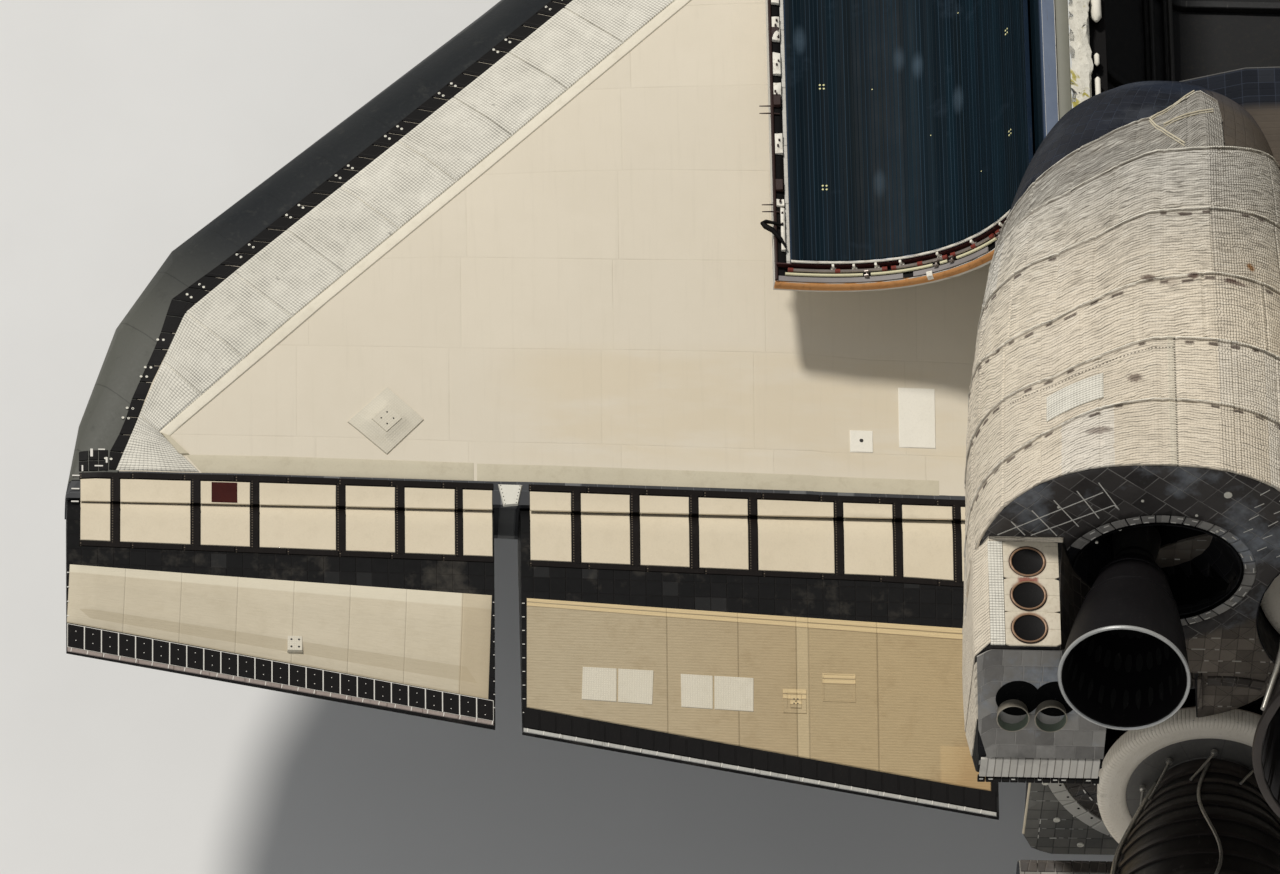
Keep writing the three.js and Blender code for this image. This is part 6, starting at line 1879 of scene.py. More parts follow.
    # white joints of the tile cluster beside the thruster housing, dashes toward the engine, one pale fastener
    def seg(a, b, w=0.16):
        p, q = face_at(*a, 0.52), face_at(*b, 0.52)
        d = unit(q - p)
        m = max(1, int(np.linalg.norm(q - p) / 9))
        for i in range(m):
            s, e = p + (q - p) * i / m, p + (q - p) * (i + 1) / m
            K.block((s + e) / 2, [d, (0.99, 0, 0.14), np.cross(d, (0.99, 0, 0.14))], (np.linalg.norm(e - s) / 2 - 0.05, 0.1, w), 0.05)
    for a, b in (((139, 508), (102.5, 531)), ((127, 508), (98, 524.5)), ((104.5, 536), (96, 522)), ((112, 531.5), (103, 517.5)), ((120, 526.5), (110, 513)), ((127.5, 521), (117.5, 508)), ((134.5, 515), (129, 508)),
                 ((96, 522), (98, 524.5))):
        seg(a, b, 0.2)
    rng2 = random.Random(4)
    for i in range(5):
        for j in range(4):
            y, z = 52 - j * 7.2 - i * 1.5, 505 + i * 6.5 - j * 3.0
            if y > 20 and (y - 80) ** 2 / 36 ** 2 + (z - 490) ** 2 / 30 ** 2 > 1.05:
                seg((y, z), (y - 3.4, z + 2.0 + rng2.random()), 0.16)
    B2 = Builder()
    B2.lathe(face_at(57.5, 531.0, 0.4), (0.99, 0, 0.14), [(1.5, 0), (1.5, 0.5), (0.9, 0.6), (0.8, 0.35), (0.001, 0.35)], 20)
    for y, z in ((118, 523), (95, 512), (68, 520), (103, 505), (88, 527), (60, 512)):
        B2.lathe(face_at(y, z, 0.4), (0.99, 0, 0.14), [(0.55, 0), (0.55, 0.35), (0.001, 0.4)], 10)
    K.pair("pod_white_joints_{s}", "airframe", "pod_quilt", M["tick"], 30)
    B2.pair("pod_fasteners_{s}", "airframe", "rail_metal", M["white_metal"], 30)
    # lining of the opening, painted near-black as the shade inside it
    B = Builder()
    B_rows = [(1500.5, 84, 486, 16.6, 16.6), (1508, 82.8, 487.2, 21.3, 19.2), (1527, 80, 490, 29.7, 24.2), (1532.2, 80, 490.6, 30.8, 25.2)]
    top, bot, cc = [], [], []
    for x, yc, zc, a, b in B_rows:
        for i in range(72):
            q = 2 * math.pi * i / 72
            lean = -0.14 * (b * math.sin(q) + zc - 478) if x > 1525 else 0.0
            top.append((x + lean, yc + a * math.cos(q), zc + b * math.sin(q)))
            bot.append((x + lean, yc + (a + 0.5) * math.cos(q), zc + (b + 0.5) * math.sin(q)))
            cc.append((x, q, 0))
    shell(B, top, bot, 72, 4, cc, lambda p: clear_of_engine(p), wrap=True)
    B.lathe((1500.9, 84, 486), (1, 0, 0), [(0.01, 0), (16.5, 0), (16.5, 0.3), (0.01, 0.3)], 40)
    B.pair("pod_opening_lining_{s}", "airframe", "pod_quilt", M["void"], 30)


pod_details()


NOZZLE = (np.array([1512, 86.5, 488.0]), np.array([math.cos(math.radians(15.8)) * math.cos(math.radians(6.5)), math.cos(math.radians(15.8)) * math.sin(math.radians(6.5)), math.sin(math.radians(15.8))]))


def clear_of_nozzle(p, gap=1.6):
    """Push a point of the housing's cladding clear of the manoeuvring nozzle."""
    o, d = NOZZLE
    p = np.asarray(p, float)
    s = (p - o) @ d
    q = p - o - d * s
    m = np.linalg.norm(q)
    r = np.interp(s, [0, 16, 28, 44, 60, 82.5], [11, 11, 13, 17, 20.6, 23.9]) + gap
    if -2 < s < 90 and m < r:
        p = p + q / m * (r - m)
    return p


# thruster housing behind the outer side of the pod
STING = [[1490, 92, 112, 145, 438, 506.5], [1545, 97, 117, 147.5, 438, 507], [1573, 98, 117.5, 147.5, 441, 506], [1590, 99, 116, 144, 447, 459]]


def sting_ring(x, off=0.0):
    xs = [s[0] for s in STING]
    yb, yt, y1, z0, z1 = (np.interp(x, xs, [s[j] for s in STING]) for j in range(1, 6))
    L = lambda a, b, t: a + (b - a) * t
    ring = [[yb + 4, z0], [y1 - 8, z0], [y1, L(z0, z1, 0.13)], [y1, L(z0, z1, 0.86)], [y1 - 5, z1], [yt, z1], [yt - 5, L(z1, z0, 0.22)], [yb, L(z1, z0, 0.55)]]
    ring = np.array(ring, float)
    c = ring.mean(0)
    out = []
    for k in range(8):
        a, b, d = ring[k - 1], ring[k], ring[(k + 1) % 8]
        n1, n2 = np.array([(b - a)[1], -(b - a)[0]]), np.array([(d - b)[1], -(d - b)[0]])
        n = n1 / np.linalg.norm(n1) + n2 / np.linalg.norm(n2)
        n = n / np.linalg.norm(n)
        if n @ (b - c) < 0:
            n = -n
        out.append(b + n * off)
    return [np.array([x, *p]) for p in out]


def housing_details():
    M = MATS
    # cladding by faces of the ring: outboard side and chamfer white, inboard side dark, underside dark
    def face_sheet(k0, k1, xs, off, B, nu=10, tag=0.0, wave=None):
        top, bot, cc = [], [], []
        for x in xs:
            a, b = sting_ring(x, off), sting_ring(x, -0.4)
            pts_a, pts_b = along_line([a[i % 8] for i in range(k0, k1 + 1)], nu), along_line([b[i % 8] for i in range(k0, k1 + 1)], nu)
            for i in range(nu):
                w = wave(x, i) if wave else 0.0
                n = unit(pts_a[i] - pts_b[i])
                top.append(clear_of_nozzle(pts_a[i] + n * w))
                bot.append(clear_of_nozzle(pts_b[i], 0.8))
                cc.append((x - 1490, np.linalg.norm(pts_a[i] - pts_a[0]), tag))
        shell(B, top, bot, nu, len(xs), cc)

    B = Builder()
    xs = np.arange(1490.2, 1574, 1.2)
    face_sheet(2, 4, xs, 0.45, B, 30, 2.0, lambda x, i: 0.07 * math.sin(2 * math.pi * x / 1.15 + 0.3 * math.sin(i)) + 0.35 * math.exp(-(((x - 1527) / 0.8) ** 2)))
    face_sheet(4, 5, np.arange(1496, 1529.4, 1.15), 0.45, B, 20, 2.0)
    face_sheet(2, 4, np.linspace(1574.3, 1583.5, 9), 0.45, B, 30, 2.0)
    B.pair("housing_side_{s}", "airframe", "pod_quilt", M["pod_blanket"], 40)
    B = Builder()
    face_sheet(5, 8, np.linspace(1531, 1573.5, 16), 0.3, B, 20, 1.0)
    face_sheet(0, 2, np.linspace(1496, 1589.5, 26), 0.3, B, 16, 1.0)
    face_sheet(5, 8, np.linspace(1573.5, 1589.6, 8), 0.3, B, 20, 1.0)
    B.pair("housing_dark_sides_{s}", "airframe", "pod_quilt", M["base_dark"], 30)

    # top: quilted strip outboard, panel with three ports
    z_top = lambda x: np.interp(x, [1490, 1545, 1573], [506.5, 507, 506])
    B = Builder()
    top, bot, cc = [], [], []
    xs, ys = np.arange(1529.6, 1574.6, 0.6), np.linspace(137.4, 142.6, 10)
    for x in xs:
        for y in ys:
            h = 0.55 + 0.14 * math.sin(2 * math.pi * x / 1.15) * math.sin(2 * math.pi * (y - 137.4) / 1.3)
            top.append((x, y, z_top(x) + h))
            bot.append((x, y, z_top(x) - 0.3))
            cc.append((x, y, 3.0))
    shell(B, top, bot, len(ys), len(xs), cc)
    B.pair("housing_quilt_strip_{s}", "airframe", "pod_quilt", M["quilt"], 60)
    # the panel is a plate with three round openings
    B = Builder()
    ports = [1538.6, 1553.1, 1567.1]
    cuts = [1529.6, 1545.85, 1560.1, 1574.4]
    for k, xc in enumerate(ports):
        n = 48
        x0, x1, y0, y1 = cuts[k] + 0.015, cuts[k + 1] - 0.015, 117.3, 137.2
        top, bot, cc = [], [], []
        for t in (0.0, 0.15, 0.5, 0.8, 1.0):
            for i in range(n):
                q = 2 * math.pi * i / n
                c, s = math.cos(q), math.sin(q)
                lim = min(((x1 - xc) if c > 0 else (xc - x0)) / max(abs(c), 1e-6), ((y1 - 128.5) if s > 0 else (128.5 - y0)) / max(abs(s), 1e-6))
                r = 6.0 + (lim - 6.0) * t
                x, y = xc + r * c, 128.5 + r * s
                h = 0.62 if t not in (0.0, 1.0) else 0.5
                top.append((x, y, z_top(x) + h))
                bot.append((x, y, z_top(x) - 0.2))
                cc.append((x, y, 0.0))
        shell(B, top, bot, n, 5, cc, wrap=True)
    B.pair("housing_port_panel_{s}", "airframe", "pod_quilt", M["port_panel"], 30)
    R, K = Builder(), Builder()
    for xc in ports:
        z = z_top(xc)
        R.lathe((xc, 128.5, z), (0, 0, 1), [(6.35, 0.3), (6.35, 0.78), (6.05, 0.92), (5.75, 0.84), (5.6, 0.3)], 56)
        # dark wells and groove painted near-black as shade inside the ports
        K.lathe((xc, 128.5, z), (0, 0, 1), [(5.62, 0.62), (5.5, 0.45), (5.0, 0.33), (0.01, 0.30)], 48)
        K.lathe((xc, 128.5, z), (0, 0, 1), [(6.75, 0.55), (6.75, 0.72), (6.5, 0.74), (6.5, 0.55)], 56)
    R.pair("housing_port_rings_{s}", "airframe", "rail_metal", M["port_ring"], 40)
    K.pair("housing_port_wells_{s}", "airframe", "small_nozzle", M["port_dark"], 40)

    # sloped tile face, lip, row of white blocks
    B = Builder()
    top, bot, cc = [], [], []
    for x in np.linspace(1574.0, 1590.4, 16):
        z = np.interp(x, [1573, 1590], [506, 459])
        y0, y1 = np.interp(x, [1573, 1590], [98.2, 99]), np.interp(x, [1573, 1590], [147.2, 143.6])
        for y in np.linspace(y0, y1, 30):
            e = 1.0 if y < y1 - 4.5 else 1.0 - (y - (y1 - 4.5)) / 4.5
            top.append(clear_of_nozzle((x + 0.42, y, z + 0.16 - (1 - e) * 5.0)))
            bot.append(clear_of_nozzle((x - 0.6, y, z - 0.6 - (1 - e) * 5.0), 0.8))
            cc.append((y, (x - 1574) * 2.95, 1.0))
    shell(B, top, bot, 30, 16, cc)
    B.pair("housing_slope_{s}", "airframe", "pod_quilt", M["slope"], 30)
    B = Builder()
    for i in range(8):
        y0, y1 = 100.0 + i * 5.4, 105.3 + i * 5.4
        B.block((1590.5, (y0 + y1) / 2, 452.6), [(0, 1, 0), (0, 0, 1), (1, 0, 0)], (2.62, 5.6, 0.55), 0.2, tag=float(i))
    B.pair("housing_lip_{s}", "airframe", "pod_quilt", M["lip"], 30)
    B, W = Builder(), Builder()
    rng = random.Random(8)
    for i in range(15):
        y = 100.8 + i * 2.95
        B.block((1590.4, y, 445.2), [(0, 1, 0), (0, 0, 1), (1, 0, 0)], (1.36, 1.3, 0.9), 0.2)
        if rng.random() > 0.3:
            W.block((1591.3, y + rng.uniform(-0.4, 0.4), 446.1), [(0, 1, 0), (0, 0, 1), (1, 0, 0)], (rng.uniform(0.5, 1.0), 0.28, 0.16), 0.06)
    B.pair("housing_blocks_{s}", "airframe", "pod_quilt", M["black_plain"], 30)
    W.pair("housing_block_ticks_{s}", "airframe", "pod_quilt", M["tick"], 30)

    # two small thruster nozzles, flared, through collars in the slope
    O, I, C = Builder(), Builder(), Builder()
    d = unit((math.cos(math.radians(17)), 0, math.sin(math.radians(17))))
    for y in (133.0, 119.3):
        e = np.array([1587.6, y, 479.0])
        O.lathe(e - d * 15, d, [(5.0, 0), (5.2, 5), (5.5, 10), (5.8, 14.6), (5.95, 15.0), (5.75, 15.15), (5.55, 15.0)], 48)
        I.lathe(e - d * 15, d, [(5.57, 15.0), (5.2, 11), (4.6, 6.5), (3.6, 3.5), (0.01, 2.8)], 48)
        # a flat near-black ring laid on the slope round each nozzle, painted shade of the recess it comes out of
        sl = unit((17, 0, -47))
        nrm = unit((47, 0, 17))
        c0 = np.array([1581.2, y - 1.6, np.interp(1581.2, [1573, 1590], [506, 459])]) + nrm * 0.45
        ring = [[c0 + sl * math.cos(q) * r * 1.05 + np.array([0, 1, 0]) * math.sin(q) * r * 1.1 + nrm * h for q in np.linspace(0, 2 * math.pi, 41)[:-1]] for r, h in ((7.3, -0.3), (7.3, 0.1), (6.9, 0.2), (6.5, 0.05), (0.05, 0.0))]
        C.add([p for r in ring for p in r], grid_faces(40, 5, wrap_u=True), [(0, 0, 0)] * 200, 0)
    O.pair("small_thrusters_{s}", "airframe", "small_nozzle", M["tube_out"], 40)
    I.pair("small_thruster_bores_{s}", "airframe", "small_nozzle", M["tube_in"], 40)
    C.pair("small_thruster_collars_{s}", "airframe", "small_nozzle", M["void"], 40)

    # manoeuvring engine bell: smooth sleeve, pale rim, dark bore
    p, y = math.radians(15.8), math.radians(6.5)
    d = np.array([math.cos(p) * math.cos(y), math.cos(p) * math.sin(y), math.sin(p)])
    a = np.array([1512, 86.5, 488.0])
    O, R, I = Builder(), Builder(), Builder()
    f = hermite([0, 16, 28, 44, 60, 82.5], [9.5, 7.3, 12.2, 16.7, 20.35, 23.55])
    O.lathe(a, d, [(f(s) + 0.12, s) for s in np.linspace(16, 81.9, 26)] + [(23.3, 82.1)], 96)
    for s in (30, 46):
        O.lathe(a, d, [(f(s) + 0.1, s - 0.6), (f(s) + 0.45, s - 0.3), (f(s) + 0.45, s + 0.3), (f(s) + 0.1, s + 0.6)], 96)
    R.lathe(a, d, [(23.3, 81.5), (23.75, 81.7), (23.9, 82.4), (23.6, 82.95), (22.95, 83.0), (22.6, 82.7), (22.5, 81.8)], 96)
    g2 = hermite([20, 28, 44, 60, 82.5], [5.0, 10.4, 15.5, 19.1, 22.45])
    I.lathe(a, d, [(g2(s) - 0.12, s) for s in np.linspace(82.0, 20.3, 24)] + [(0.01, 20.2)], 96)
    O.pair("manoeuvre_bell_{s}", "airframe", "small_nozzle", M["bell_black"], 40)
    R.pair("manoeuvre_bell_rim_{s}", "airframe", "small_nozzle", M["bell_rim"], 40)
    I.pair("manoeuvre_bell_bore_{s}", "airframe", "small_nozzle", M["bell_black"], 40)


housing_details()


# ------------------------------------------------------------------ main engines and the base
def line_dir(pitch, yaw):
    p, y = math.radians(pitch), math.radians(yaw)
    return np.array([math.cos(p) * math.cos(y), math.cos(p) * math.sin(y), math.sin(p)])


ENGINES = {"top": (np.array([1445.0, 0, 443.0]), line_dir(16, 0)), "port": (np.array([1468.0, 46, 342.0]), line_dir(10, 3.5)), "starboard": (np.array([1468.0, -46, 342.0]), line_dir(10, -3.5))}


def engine_mats():
    M = MATS
    # bell outside: dark metal, made near-black as painted shade for the shadow the bells lie in
    M["bell_hot"] = mat_metal("engine_bell_outside", srgb(24, 22, 22), srgb(50, 45, 42), 0.42, 0.6, 0.5)
    M["bell_hoop"] = mat_metal("engine_hoops", srgb(44, 40, 38), srgb(78, 72, 68), 0.4, 0.7, 0.8)
    M["bell_in"] = mat_metal("engine_bell_inside", srgb(30, 28, 28), srgb(60, 56, 54), 0.5, 0.4, 0.5)
    M["silver"] = mat_metal("engine_pipes", srgb(146, 142, 134), srgb(196, 192, 182), 0.3, 0.8, 1.5)
    # quilted ring round each engine: own = (inches in, degrees round, tag)
    g = Graph("dome_ring", Roughness=0.9)
    v, u, tag = g.attr("own")
    u = u * 0.72
    sv = g.station_vector()
    n1, n2 = g.noise(sv, 0.05, 4, 0.6), g.noise(sv, 0.6, 4, 0.7)
    c = g.mix(n1, srgb(226, 213, 192), srgb(246, 238, 222))
    crease = g.line(u + n1 * 3.0, 1.5, 0.3, soft=0.3) * v.between(1.0, 10.5, 1.5)
    c = g.mix(crease * 0.22, c, srgb(170, 156, 128))
    c = g.mix((n2 - 0.55).clamp() * 1.2, c, srgb(176, 156, 122))
    c = g.mix(v.below(0.9, 0.3) * 0.5, c, srgb(150, 118, 96))
    M["dome_ring"] = g.finish(c, None, g.bump(n2 * 0.6 - crease * 0.6, 0.6, 0.012))
    # metal bowl inside the ring
    g = Graph("dome_bowl", Metallic=0.35)
    v, u, tag = g.attr("own")
    u = u * 0.5
    sv = g.station_vector()
    n1, n2 = g.noise(sv, 0.06, 4, 0.6), g.noise(sv, 0.7, 4, 0.7)
    c = g.mix(n1, srgb(78, 76, 72), srgb(112, 109, 104))
    c = g.mix(g.line(u, 16.0, 0.3, soft=0.2) * 0.5, c, srgb(44, 42, 40))
    c = g.mix((n2 - 0.5).clamp(), c, srgb(140, 132, 118))
    M["dome_bowl"] = g.finish(c, n2 * 0.2 + 0.4, g.bump(n2, 0.3, 0.006))
    # pale grey tile field of the base: own = (y, z)
    def field(name, size, a, b, joint, width=0.26, frag=0.5):
        g = Graph(name, **{"Specular IOR Level": 0.15})
        u0, v0, tag = g.attr("own")
        sv = g.station_vector()
        n1, n2, n3 = g.noise(sv, 0.03, 4, 0.65), g.noise(sv, 0.2, 4, 0.7), g.noise(sv, 1.5, 3, 0.7)
        cell = g.white(g.vec((u0 / size).floor(), (v0 / size).floor(), 3.0))
        c = g.mix(cell * 0.55 + n2 * 0.45, a, b)
        c = g.mix((n1 - 0.52).clamp() * 1.6, c, srgb(140, 138, 130))
        c = g.mix((0.42 - n1).clamp() * 2.0, c, srgb(48, 50, 52))
        gap = g.line(u0, size, width, soft=0.16).max(g.line(v0, size, width, soft=0.16))
        c = g.mix(gap * 0.8, c, joint)
        bit = g.white(g.vec((u0 / 1.7).floor(), (v0 / size + 0.5).floor(), 11.0)).above(0.8, 0.01) * g.line(v0, size, 0.5, soft=0.15)
        c = g.mix(bit * frag, c, srgb(196, 194, 186))
        return g.finish(c, n2 * 0.25 + 0.45, g.bump(cell * 0.3 - gap * 0.9 + n3 * 0.15, 0.6, 0.01))

    M["base_grey"] = field("base_tile_field", 6.0, srgb(76, 75, 71), srgb(118, 115, 108), srgb(40, 38, 36))
    M["base_brown"] = field("base_brown_tiles", 6.0, srgb(54, 49, 44), srgb(104, 96, 86), srgb(72, 66, 60), 0.2, 0.35)
    M["block_pale"] = field("base_pale_blocks", 40.0, srgb(168, 164, 154), srgb(198, 194, 184), srgb(120, 116, 108), 0.2, 0.0)
    M["flap_top"] = field("flap_upper_tiles", 6.0, srgb(108, 105, 99), srgb(160, 155, 146), srgb(52, 50, 47), 0.24, 0.4)


engine_mats()


def base_half(z):
    """Half width of the aft fuselage at its open end."""
    w, zb, zs, zt, rb, n = 113.6, 283.0, 404.0, 499.0, 12.0, 2.4
    if z <= zb + rb:
        return np.interp(z, [zb, zb + 0.3 * rb, zb + rb], [w - rb, w - 0.3 * rb, w])
    if z <= zs:
        return w
    s = min(1.0, (z - zs) / (zt - zs))
    ang = math.asin(s ** (n / 2))
    return w * math.cos(ang) ** (2 / n)


def engine_hole(p, r):
    """Push a point of the base out of the round engine openings, or say that it lies inside."""
    inside = False
    for o, d in ENGINES.values():
        s = (p - o) @ d
        q = p - o - d * s
        m = np.linalg.norm(q)
        if m < r:
            inside = True
            p = p + q / m * (r - m)
            p = np.array([1512.3, p[1], p[2]])
    return p, inside


def in_pod(p):
    """Hidden inside a pod's aft opening."""
    return ((abs(p[1]) - 80) / 34) ** 2 + ((p[2] - 490) / 29) ** 2 < 1


def base_details():
    M = MATS
    # Tile field over the whole base: rings round the port and starboard engines and a grid elsewhere
    R = 44.6

    def sheet(name, mat, x, y0, y1, z0, z1, step, off=0.0, keep=None, slot="base_tile"):
        B = Builder()
        ys, zs = np.arange(y0, y1 + 0.01, step), np.arange(z0, z1 + 0.01, step)
        pts, ins = [], []
        for z in zs:
            w = base_half(z) - 0.4
            for y in ys:
                p = np.array([x, max(-w, min(w, y)), z])
                p, i = engine_hole(p, R)
                pts.append(np.array([x, p[1], p[2]]))
                ins.append(i or abs(y) > w + step)
        pts = np.array(pts)
        top = [p + np.array([off, 0, 0]) for p in pts]
        bot = [p - np.array([0.6, 0, 0]) for p in pts]
        cc = [(p[1], p[2], 0.0) for p in pts]
        nu = len(ys)
        quads = [q for q in grid_faces(nu, len(zs)) if not all(ins[i] for i in q) and (keep is None or all(keep(pts[i]) for i in q))]
        n = len(top)
        edges = {}
        for q in quads:
            for a, b in zip(q, q[1:] + q[:1]):
                edges[(a, b)] = edges.get((a, b), 0) + 1
        faces = list(quads) + [tuple(i + n for i in reversed(q)) for q in quads]
        for (a, b) in edges:
            if (b, a) not in edges:
                faces.append((b, a, a + n, b + n))
        used = sorted({i for f in faces for i in f})
        index = {v: k for k, v in enumerate(used)}
        allp = np.vstack([top, bot])[used]
        allc = np.vstack([cc, cc])[used]
        B.add(allp, [tuple(index[i] for i in f) for f in faces], allc, 0)
        B.make(name, "airframe", slot, [M[mat]], 30)

    sheet("base_tiles_port", "base_grey", 1512.2, 0, 114.4, 283.4, 497, 2.0, 0.35, lambda p: not lower_brown(p) and not in_pod(p))
    sheet("base_tiles_starboard", "base_grey", 1512.2, -114.4, 0, 283.4, 497, 2.0, 0.35, lambda p: not lower_brown(p) and not in_pod(p))
    sheet("base_brown_tiles_port", "base_brown", 1512.2, 0, 114.4, 283.4, 497, 2.0, 0.3, lower_brown)
    sheet("base_brown_tiles_starboard", "base_brown", 1512.2, -114.4, 0, 283.4, 497, 2.0, 0.3, lower_brown)

    # the rings' tiles where the pod's lower aft face stands in front of the base
    o, d = ENGINES["port"]
    u = unit(np.cross(d, (0, 0, 1)))
    v = unit(np.cross(u, d))
    P1, P2, P3 = Builder(), Builder(), Builder()
    for r0, r1, n, T in ((44.7, 49.8, 56, P2), (50.0, 55.6, 60, P2), (55.9, 61.6, 44, P1)):
        for i in range(n):
            pts = []
            for a, r in [(2 * math.pi * (i + f) / n, r0) for f in (0.04, 0.35, 0.66, 0.96)] + [(2 * math.pi * (i + f) / n, r1) for f in (0.96, 0.66, 0.35, 0.04)]:
                p = o + u * math.cos(a) * r + v * math.sin(a) * r
                p = p + d * ((1512.5 - p[0]) / d[0])
                t = (18.5 - 0.14 * (p[2] - 478)) / 22.52
                pts.append(p + np.array([18.7, 2.72, 27.3]) * t)
            if all(19 < p[1] < 60.5 and p[2] < 439 and p[2] > 479.0 - 67 * max(0.0, 1 - (abs(p[1] - 83.2) / 64.2) ** 2.5) ** 0.4 for p in pts):
                c = np.mean(pts, axis=0)
                out = np.array([0.99, 0, 0.14])
                ring = [p + out * 0.3 for p in pts], [p + out * 1.2 for p in pts], [c + (p - c) * 0.94 + out * 1.4 for p in pts]
                m = 8
                faces = [tuple(reversed(range(m))), tuple(range(2 * m, 3 * m))] + [(k * m + j, k * m + (j + 1) % m, (k + 1) * m + (j + 1) % m, (k + 1) * m + j) for k in range(2) for j in range(m)]
                T.add([p for r in ring for p in r], faces, [(p[1], p[2], float(i)) for r in ring for p in r], 0)
                if T is P1:
                    P3.lathe(c * 0.75 + (pts[1] + pts[2]) * 0.125 + out * 1.4, out, [(0.5, -0.1), (0.5, 0.12), (0.01, 0.14)], 10)
    for nm, b, mt in (("pale", P1, "block_pale"), ("dark", P2, "base_dark"), ("plugs", P3, "black_plain")):
        if b.v:
            b.pair("pod_face_ring_%s_{s}" % nm, "airframe", "pod_quilt", M[mt], 30)

    # per engine: quilted ring, inner bowl, three rings of blocks round the hole, bell
    rng = random.Random(77)
    for key, (o, d) in ENGINES.items():
        name = "main_engine_" + key
        body = "airframe"
        slot_ring = "base_tile"
        B = Builder()
        B.lathe(o, d, [(40.9, 60.8), (41.3, 62.2), (41.3, 66.6), (40.9, 68.3), (39.6, 69.2), (36.5, 69.0), (33.0, 68.2), (31.0, 67.7), (30.6, 67.0), (30.6, 66.0)], 120)
        B.make("dome_ring_" + key, body, slot_ring, [M["dome_ring"]], 60)
        B = Builder()
        B.lathe(o, d, [(30.7, 67.1), (29.5, 67.4), (24.0, 67.0), (20.5, 66.8), (19.9, 67.4), (18.4, 67.4), (18.2, 66.0)], 96)
        B.make("dome_bowl_" + key, body, slot_ring, [M["dome_bowl"]], 40)
        # tile rings on the base, x just behind the field
        u = unit(np.cross(d, (0, 0, 1)))
        v = unit(np.cross(u, d))
        T1, T2, T3, T4 = Builder(), Builder(), Builder(), Builder()
        for r0, r1, n, T, thick in ((44.7, 49.8, 56, T2, 1.2), (50.0, 55.6, 60, T2, 1.0), (55.9, 61.6, 44, T1, 1.5)):
            for i in range(n):
                a0, a1 = 2 * math.pi * (i + 0.04) / n, 2 * math.pi * (i + 0.96) / n
                pts = []
                ok = True
                for a in np.linspace(a0, a1, 4):
                    row = []
                    for r in (r0, r1):
                        p = o + u * math.cos(a) * r + v * math.sin(a) * r
                        p = p + d * ((1512.5 - p[0]) / d[0])
                        if abs(p[1]) > base_half(p[2]) - 0.6 or p[2] < 284.5 or p[2] > 497:
                            ok = False
                        if any(np.linalg.norm((p - oo) - dd * ((p - oo) @ dd)) < 44.6 for oo, dd in ENGINES.values()):
                            ok = False
                        for kk, (oo, dd) in ENGINES.items():
                            if kk != key and key == "top" and np.linalg.norm((p - oo) - dd * ((p - oo) @ dd)) < 61.8:
                                ok = False
                            if kk != key and key != "top" and kk != "top" and p[1] * o[1] < 2.0:
                                ok = False
                        row.append(p)
                    pts.append(row)
                if not ok:
                    continue
                h = thick * rng.uniform(0.8, 1.1)
                ring = [r[0] for r in pts] + [r[1] for r in reversed(pts)]
                c = np.mean(ring, axis=0)
                low = [p for p in ring]
                mid = [p + np.array([h * 0.8, 0, 0]) for p in ring]
                top = [c + (p - c) * 0.94 + np.array([h, 0, 0]) for p in ring]
                m = len(ring)
                faces = [tuple(reversed(range(m)))] + [tuple(range(2 * m, 3 * m))]
                for k in range(2):
                    for j in range(m):
                        faces.append((k * m + j, k * m + (j + 1) % m, (k + 1) * m + (j + 1) % m, (k + 1) * m + j))
                T.add(low + mid + top, faces, [(p[1], p[2], float(i)) for p in low + mid + top], 0)
                if T is T1:
                    am = (a0 + a1) / 2
                    p = o + u * math.cos(am) * (r0 * 0.75 + r1 * 0.25) + v * math.sin(am) * (r0 * 0.75 + r1 * 0.25)
                    p = p + d * ((1512.5 - p[0]) / d[0]) + np.array([h, 0, 0])
                    T3.lathe(p, (1, 0, 0), [(0.5, -0.1), (0.5, 0.12), (0.01, 0.14)], 10)
                elif rng.random() > 0.35:
                    am = a0 + (a1 - a0) * rng.uniform(0.3, 0.7)
                    rr = r0 + 0.5
                    p = o + u * math.cos(am) * rr + v * math.sin(am) * rr
                    p = p + d * ((1512.5 - p[0]) / d[0]) + np.array([h, 0, 0])
                    t = -u * math.sin(am) + v * math.cos(am)
                    T4.block(p, [t, np.cross((1, 0, 0), t), (1, 0, 0)], (rng.uniform(0.9, 1.6), 0.28, 0.14), 0.06)
        if T1.v:
            T1.make("base_pale_ring_" + key, body, slot_ring, [M["block_pale"]], 30)
            T3.make("base_ring_plugs_" + key, body, slot_ring, [M["black_plain"]], 30)
        T2.make("base_dark_ring_" + key, body, slot_ring, [M["base_dark"]], 30)
        if T4.v:
            T4.make("base_ring_fillers_" + key, body, slot_ring, [M["tick"]], 30)

        # bell: smooth outer wall with hoops, hatbands and pipes, tube-lined bore
        f = hermite([66, 84, 108, 138, 168], [18, 25, 33, 40.3, 46.5])
        g2 = hermite([62, 84, 108, 138, 168], [11, 22.8, 31, 38.4, 44.9])
        O, H, I, S = Builder(), Builder(), Builder(), Builder()
        O.lathe(o, d, [(f(s) + 0.1, s) for s in np.linspace(66.3, 167.4, 40)] + [(46.6, 167.9)], 120)
        for s in (76, 84, 92, 101, 111, 122, 134, 147):
            H.lathe(o, d, [(f(s) + 0.05, s - 1.1), (f(s) + 1.0, s - 0.9), (f(s) + 1.1, s + 0.9), (f(s) + 0.05, s + 1.1)], 96)
        H.lathe(o, d, [(46.2, 164.6), (47.6, 164.9), (48.2, 166.4), (47.9, 168.0), (46.8, 168.5), (45.1, 168.3), (44.8, 167.0)], 120)
        H.lathe(o, d, [(18.2, 66.9), (20.4, 67.4), (22.0, 69.2), (22.0, 71.4), (21.6, 72.6), (21.2, 73.6)], 96)
